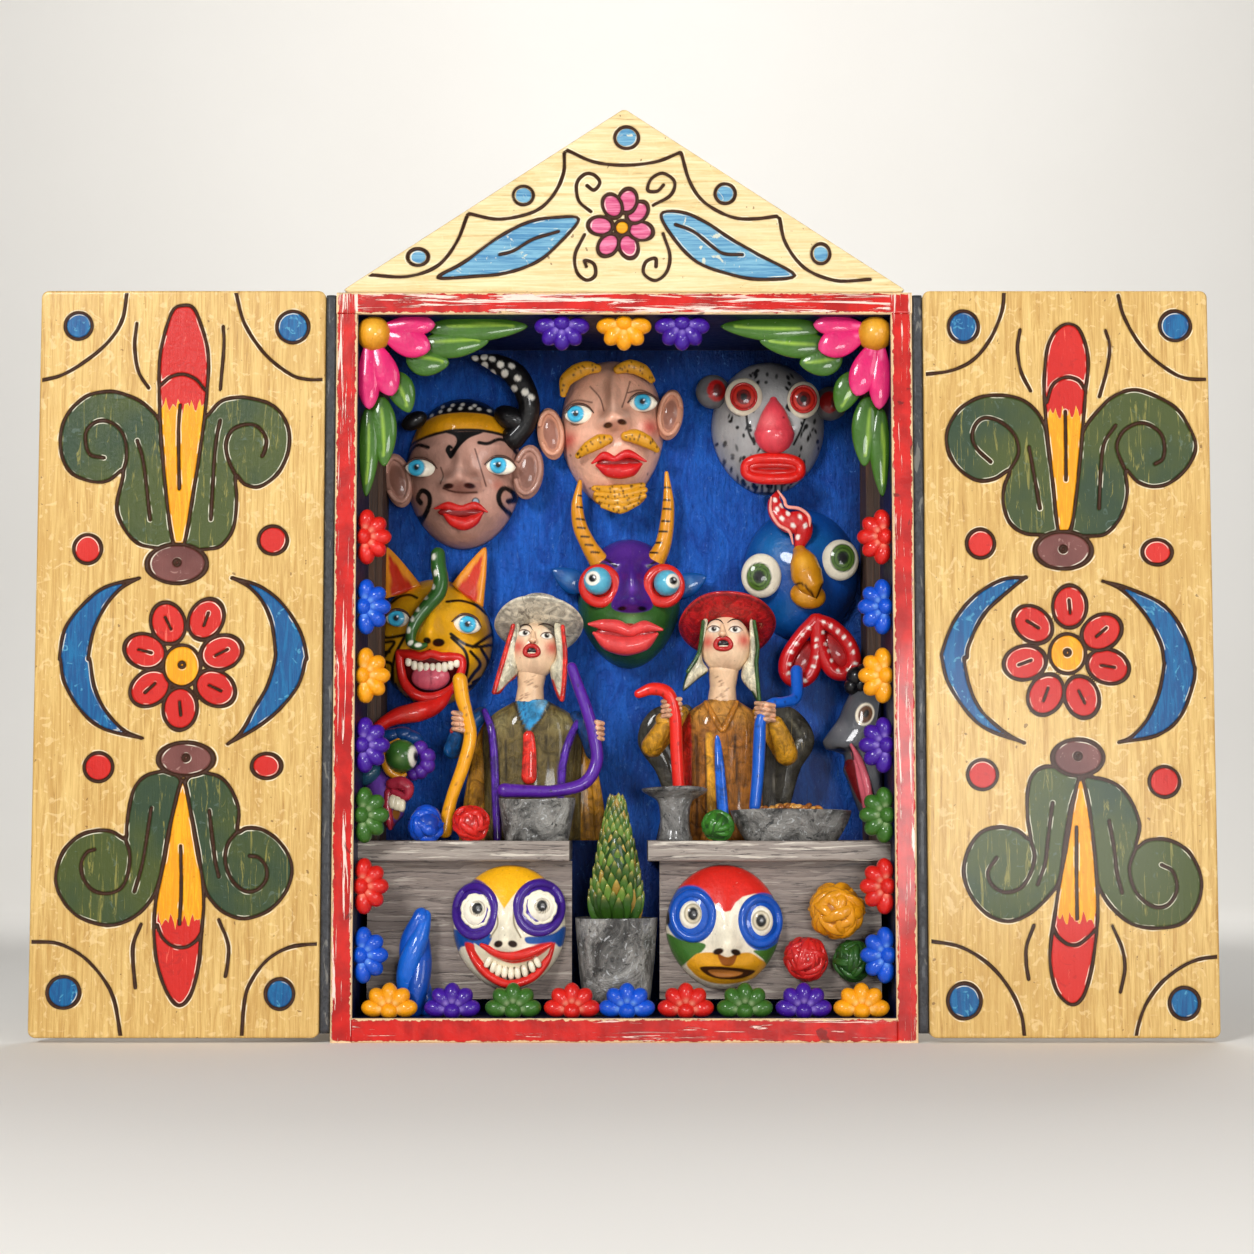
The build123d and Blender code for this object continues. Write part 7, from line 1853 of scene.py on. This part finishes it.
def headPiece(name, node, view, middle, half, neck, eyes, nose, mouth, cheeks, brows):
    clay = Clay()
    x, z = one(view, 40, *middle)

    def on(u, v, lift=0.0):             # the point of the head seen at (u, v)
        depth = 37
        for _ in range(5):
            px, pz = one(view, depth, u, v)
            depth = 41.6 - half[1] * np.sqrt(max(0.02, 1 - ((px - x) / half[0])**2 - ((pz - z) / half[2])**2))
        return px, depth - lift, pz

    flatOn = lambda p: on(*p)[::2]
    marks = [("glow", "d2443c", flatOn(c), 2.5, 0.85) for c in cheeks]
    for place, look in eyes:
        e = flatOn(place)
        # the last small pale oval in each eye is a painted highlight
        marks += [("glow", "f6e6cf", (e[0], e[1] + 1.1), 1.9, 0.9), ("oval", "8a5a40", e, (2.1, 1.2)),
                  ("oval", "f7f2e6", (e[0], e[1] - 0.05), (1.9, 1.0)), ("oval", "17100c", (e[0] + look, e[1] + 0.12), (0.85, 0.92)),
                  ("oval", "f6f2e8", (e[0] + look + 0.28, e[1] + 0.42), (0.2, 0.2))]
    # painted shade: darker towards the chin and the neck
    marks += [("glow", "9a6a50", (x, z - half[2] * 0.7), 4.0, 0.45)]
    clay.blob((x, 41.6, z), half, "ecc9a4", marks, rings=110, sides=150)
    for brow in brows:
        clay.roll([on(u, v, 0.0) for u, v in brow], [0.14, 0.26, 0.3, 0.26, 0.12], "2a160e", sides=10, count=40)
    for place, look in eyes:
        u, v = place
        clay.roll([on(u - 34, v + 3), on(u - 20, v - 12), on(u + 2, v - 17), on(u + 22, v - 10), on(u + 36, v + 5)],
                  [0.1, 0.15, 0.16, 0.15, 0.08], "4a2c1e", sides=8, count=30)
    n = on(*nose)
    clay.roll([(n[0], n[1] + 0.2, n[2] + 2.8), (n[0], n[1] - 0.6, n[2] + 0.9), (n[0], n[1] - 1.0, n[2])], [0.6, 1.0, 1.45], "e6bf98",
              [("oval", "5a2418", (n[0] - 0.65, n[2] - 1.0), (0.42, 0.34)), ("oval", "5a2418", (n[0] + 0.65, n[2] - 1.0), (0.42, 0.34)),
               ("glow", "b4563e", (n[0], n[2] - 1.2), 1.2, 0.5)], sides=20, count=26)
    m = on(*mouth[0])
    t = np.linspace(0, 2 * pi, 40)
    w, h = mouth[1]
    rise = h * (np.sin(t) * np.where(np.sin(t) > 0, 1.0, 0.9) - 0.2 * np.cos(t)**2)
    ring = np.column_stack([m[0] + w * np.cos(t), m[1] - 0.1 + 0.18 * np.abs(np.cos(t)) * w, m[2] + rise])
    clay.roll(ring, [0.85], "b3201c", sides=14, count=90)
    clay.blob((m[0], m[1] + 0.45, m[2] + 0.1 * h), (w * 0.9, 1.0, h * 0.8), "1a0606", rings=18, sides=24)
    clay.roll([(m[0] + s * 0.5 * w, m[1] - 0.35, m[2] - 0.42 * h) for s in (-1, 0, 1)], [0.2, 0.34, 0.2], "d8cbb2", sides=10, count=20)
    low, high = [(nx, 42.6, nz) for nx, nz in view(42, *neck)]
    rows = [(high[0], 42.2, high[2]), ((low[0] + high[0]) / 2, 42.4, (low[2] + high[2]) / 2), low]
    freckles = [("oval", "7a4e34", (low[0] + rng.uniform(-3, 3), low[2] + rng.uniform(0, 9)), (0.5, 0.16), 30) for _ in range(16)]
    clay.roll(rows, [5.2, 4.4, 5.0], "e2bc96", freckles, sides=44, count=44)
    clay.finish(name, skin, "case", "pink_paste", [node])


# left figure
body = Clay()
olive = c7(35, (800, 788), (895, 780), (985, 786), (935, 880), (872, 952), (830, 870))
# the paler spots on the shoulders and the collar are painted highlights
robe(body, -31.4, 42, [0, 12, 24, 33, 39, 43, 46, 47.6], [16.2, 16.2, 16.4, 16.8, 16.0, 12.6, 7.6, 4.6],
     [8.4, 8.2, 7.8, 7.2, 6.8, 6.0, 4.8, 4.0], "5b4d27",
     [("glow", "8f8456", one(c7, 35, 730, 880), 4.0, 0.6), ("glow", "8f8456", one(c7, 35, 1040, 880), 4.0, 0.6),
      ("line", "2c230f", c7(35, (760, 980), (770, 1180)), 0.7), ("line", "2c230f", c7(35, (960, 960), (975, 1160)), 0.7),
      ("line", "4a1f86", c7(35, (655, 830), (690, 930), (705, 1100), (715, 1300), (722, 1480)), 2.4),
      ("line", "4a1f86", c7(35, (1118, 890), (1075, 980), (1045, 1080), (1035, 1180), (1030, 1400)), 2.4),
      ("line", "1c1608", c7(35, (800, 788), (835, 880), (872, 955), (940, 870), (985, 788)), 0.7),
      ("poly", "2a7fae", c7(35, (812, 780), (972, 780), (930, 875), (874, 938), (838, 870))),
      ("line", "0f4f80", c7(35, (850, 800), (876, 930)), 0.4), ("glow", "9ac4d4", one(c7, 35, 935, 800), 1.8, 0.6)], fold=0.03)
body.roll([(x, 33.2, z) for x, z in c7(34, (876, 962), (880, 1040), (878, 1160))], [1.9, 2.3, 2.6], "cc2a1e", sides=20, count=40, flat=0.5)
for path in (((655, 835), (690, 925), (706, 1060), (714, 1250), (722, 1470)), ((1112, 890), (1072, 985), (1046, 1080), (1036, 1190))):
    line = [(x, dd, z) for (x, z), dd in zip(c7(35, *path), (39, 36.4, 35.4, 34.8, 34.6))]
    body.roll(line, [1.0, 1.25, 1.3, 1.3, 1.2], "4c2090", sides=14, count=60, flat=0.7)
# the paler spot on the cape is a painted highlight
robe(body, -31.4, 46.5, [0, 12, 24, 33, 40, 43], [24.6, 23.4, 21.6, 19.6, 16.4, 12.0], [6.4, 6.2, 6.0, 5.8, 5.0, 3.6], "9c6a16",
     [("glow", "c48a26", one(c7, 40, 620, 1000), 5, 0.6), ("line", "4a2f08", c7(40, (690, 960), (690, 1460)), 0.8),
      ("line", "5a3a0c", c7(40, (600, 950), (560, 1460)), 0.6), ("line", "5a3a0c", c7(40, (1120, 980), (1150, 1460)), 0.7)], fold=0.045)
body.finish("figure_a_body", cloth, "case", "brown_paste", ["figure_left_body"])

arms = Clay()
sleeve(arms, c7, ((640, 850), (560, 930), (505, 1030), (520, 980), (540, 930)), (42, 39, 35, 31.5, 29.5), [2.6, 3.0, 3.1, 2.6, 2.2], "0d4a80")
sleeve(arms, c7, ((1105, 870), (1165, 950), (1195, 1040), (1205, 990), (1210, 960)), (42, 39, 35, 31.5, 29.5), [2.6, 3.0, 2.8, 2.4, 2.2], "0b3466")
arms.roll([(x, 29.4, z) for x, z in c7(30, (508, 935), (570, 935))], [1.3], "a02018", sides=12, count=20)
hand(arms, c7, 28.6, (546, 892), (2.9, 2.3, 3.9), [((508, y), (586, y + 10)) for y in (848, 874, 900, 926)])
hand(arms, c7, 28.6, (1212, 935), (2.3, 2.3, 3.7), [((1188, y), (1238, y + 8)) for y in (892, 918, 944, 968)])
arms.finish("figure_a_arms", cloth, "case", "yellow_paste", ["figure_left_arms"])

headPiece("figure_a_head", "figure_left_head", c7, (900, 545), (8.2, 7.2, 9.6), ((880, 800), (890, 640)),
          (((852, 456), 0.45), ((966, 469), -0.1)), (896, 490), ((890, 543), (2.25, 1.75)), ((992, 528), (822, 522)),
          (((819, 452), (830, 429), (852, 415), (880, 420), (896, 444)), ((922, 418), (945, 410), (972, 413), (997, 427), (1017, 450))))
clay = Clay()
hat(clay, (one(c7, 43, 925, 445)[0], 43.8, 136.6), 15.2, 35, "ccc3ae", "9c9484")
flaps = (((798, 425), (832, 418), (826, 560), (818, 660), (770, 705), (735, 750), (705, 748), (720, 690), (760, 560)),
         ((1000, 410), (1045, 430), (1056, 560), (1050, 690), (1040, 785), (1015, 770), (985, 680), (980, 620), (1010, 560)))
edges = (((800, 420), (760, 560), (722, 690), (706, 746), (735, 746), (815, 668)), ((1042, 425), (1054, 560), (1050, 690), (1040, 782), (1018, 765), (990, 690)))
for outline, edge, middle in zip(flaps, edges, ((780, 600), (1024, 600))):
    cushion(clay, c7(38, *outline), one(c7, 38, *middle), 36.6, 3.4, "c4bca2", [("line", "c5281e", c7(38, *edge), 1.2)], n=30, count=120)
    clay.roll([(x, 37.4, z) for x, z in c7(38, *edge[:4])], [0.7, 0.85, 0.85, 0.8], "c8281e", sides=12, count=50)
clay.finish("figure_a_hat", cloth, "case", "cream_paste", ["figure_left_hat"])

# right figure
body = Clay()
# the paler spots on the shoulders are painted highlights
robe(body, 33.0, 42, [0, 12, 24, 33, 39, 43, 46, 47.6], [13.6, 13.4, 13.4, 14.2, 14.2, 11.6, 7.4, 4.6],
     [8.4, 8.2, 7.8, 7.2, 6.8, 6.0, 4.8, 4.0], "91581a",
     [("glow", "c28a3a", one(c8, 35, 480, 850), 4.5, 0.6), ("glow", "c28a3a", one(c8, 35, 700, 850), 4.5, 0.6),
      ("line", "3c2208", c8(35, (470, 960), (480, 1180), (470, 1440)), 0.8), ("line", "3c2208", c8(35, (660, 960), (680, 1280)), 0.8),
      ("line", "c88c1c", c8(35, (535, 960), (545, 1200), (548, 1460)), 2.6), ("line", "3a2008", c8(35, (517, 960), (520, 1460)), 0.6),
      ("line", "b01c12", c8(35, (420, 860), (425, 1000), (428, 1190)), 3.4),
      ("poly", "b07a34", c8(35, (530, 780), (665, 780), (640, 850), (592, 905), (545, 845))),
      ("line", "4a2a0c", c8(35, (520, 795), (560, 870), (592, 925), (635, 870), (672, 795)), 0.8),
      ("line", "d8a85a", c8(35, (575, 915), (592, 940), (610, 915)), 0.5)], fold=0.03)
body.roll([(x, dd, z) for (x, z), dd in zip(c8(34, (575, 950), (585, 1100), (595, 1250), (602, 1345)), (35.6, 33.4, 32.6, 32.2))],
          [0.8, 1.6, 1.9, 1.9], "0f56b8", sides=20, count=60, flat=0.6)
for pts, tone in ((((520, 795), (560, 870), (590, 925), (600, 935)), "a86a20"), (((672, 795), (635, 870), (606, 925), (598, 935)), "a86a20")):
    body.roll([(x, dd, z) for (x, z), dd in zip(c8(35, *pts), (37.6, 35.4, 34.6, 34.6))], [0.9, 1.1, 1.0, 0.6], tone, sides=14, count=30)
# the paler spot on the dark cloth is a painted highlight
robe(body, 34.6, 47.5, [0, 12, 24, 33, 40, 43], [23.6, 21.4, 20.6, 20.8, 17.0, 12.0], [5.6, 5.4, 5.2, 5.0, 4.6, 3.4], "2f2b24",
     [("line", "6a6458", c8(42, (860, 1020), (850, 1290)), 0.5), ("glow", "5a5446", one(c8, 42, 960, 960), 3, 0.6)], fold=0.04)
# the pale line along the top of each fold is a painted highlight
for path in (((800, 830), (915, 880), (975, 980), (925, 1100), (892, 1290)), ((420, 840), (300, 880), (262, 980), (330, 1110), (372, 1290))):
    line = [(x, 45.0, z) for x, z in c8(44, *path)]
    body.roll(line, [2.5, 4.6, 5.4, 4.4, 3.0], "3d392f", [("line", "77725f", [(x, z + 1.5) for x, _, z in line[1:4]], 0.5)], sides=30, count=70, flat=0.45)
body.finish("figure_b_body", cloth, "case", "brown_paste", ["figure_right_body"])

arms = Clay()
sleeve(arms, c8, ((400, 850), (320, 940), (258, 1010), (288, 960), (330, 890)), (42, 39, 35, 31.5, 29.5), [3.0, 3.5, 3.9, 3.4, 2.7], "b8821a")
sleeve(arms, c8, ((790, 850), (860, 960), (912, 1050), (890, 980), (855, 905)), (42, 39, 35, 31.5, 29.5), [3.0, 3.6, 3.9, 3.4, 2.7], "b8821a")
arms.roll([(x, 29.2, z) for x, z in c8(30, (305, 880), (345, 895))], [2.3], "c08a26", sides=14, count=16)
hand(arms, c8, 28.6, (350, 822), (3.3, 2.3, 3.7), [((308, y + 8), (392, y - 4)) for y in (785, 808, 832, 856)])
hand(arms, c8, 28.6, (812, 845), (3.4, 2.3, 3.8), [((765, y - 4), (850, y + 8)) for y in (805, 828, 852, 876)])
arms.finish("figure_b_arms", cloth, "case", "yellow_paste", ["figure_right_arms"])

headPiece("figure_b_head", "figure_right_head", c8, (617, 515), (8.8, 7.4, 10.0), ((598, 800), (605, 640)),
          (((558, 437), 0.0), ((664, 439), -0.2)), (600, 460), ((604, 508), (2.6, 1.95)), ((528, 500), (706, 492)),
          (((526, 420), (543, 399), (568, 390), (590, 395), (604, 410)), ((626, 405), (643, 393), (665, 389), (690, 399), (710, 422))))
clay = Clay()
hat(clay, (one(c8, 43, 625, 425)[0], 43.8, 136.6), 16.6, 38, "b01a1c", "5e0c10")
flaps = (((500, 400), (530, 390), (508, 470), (502, 580), (530, 640), (470, 690), (415, 738), (405, 720), (430, 640), (480, 560)),
         ((735, 395), (762, 410), (772, 520), (766, 600), (780, 790), (740, 740), (695, 680), (700, 620), (730, 560)))
edges = (((505, 400), (492, 520), (478, 570), (430, 645), (404, 722), (415, 738), (525, 650)), ((755, 400), (771, 520), (766, 620), (780, 788), (745, 745)))
for outline, edge, middle in zip(flaps, edges, ((480, 610), (742, 610))):
    cushion(clay, c8(38, *outline), one(c8, 38, *middle), 36.6, 3.4, "cfc6aa", [("line", "2c4a1c", c8(38, *edge), 1.1)], n=30, count=120)
    clay.roll([(x, 37.2, z) for x, z in c8(38, *edge[:4])], [0.6, 0.75, 0.75, 0.7], "2f5220", sides=12, count=50)
clay.finish("figure_b_hat", cloth, "case", "red_paste", ["figure_right_hat"])
print("figures")
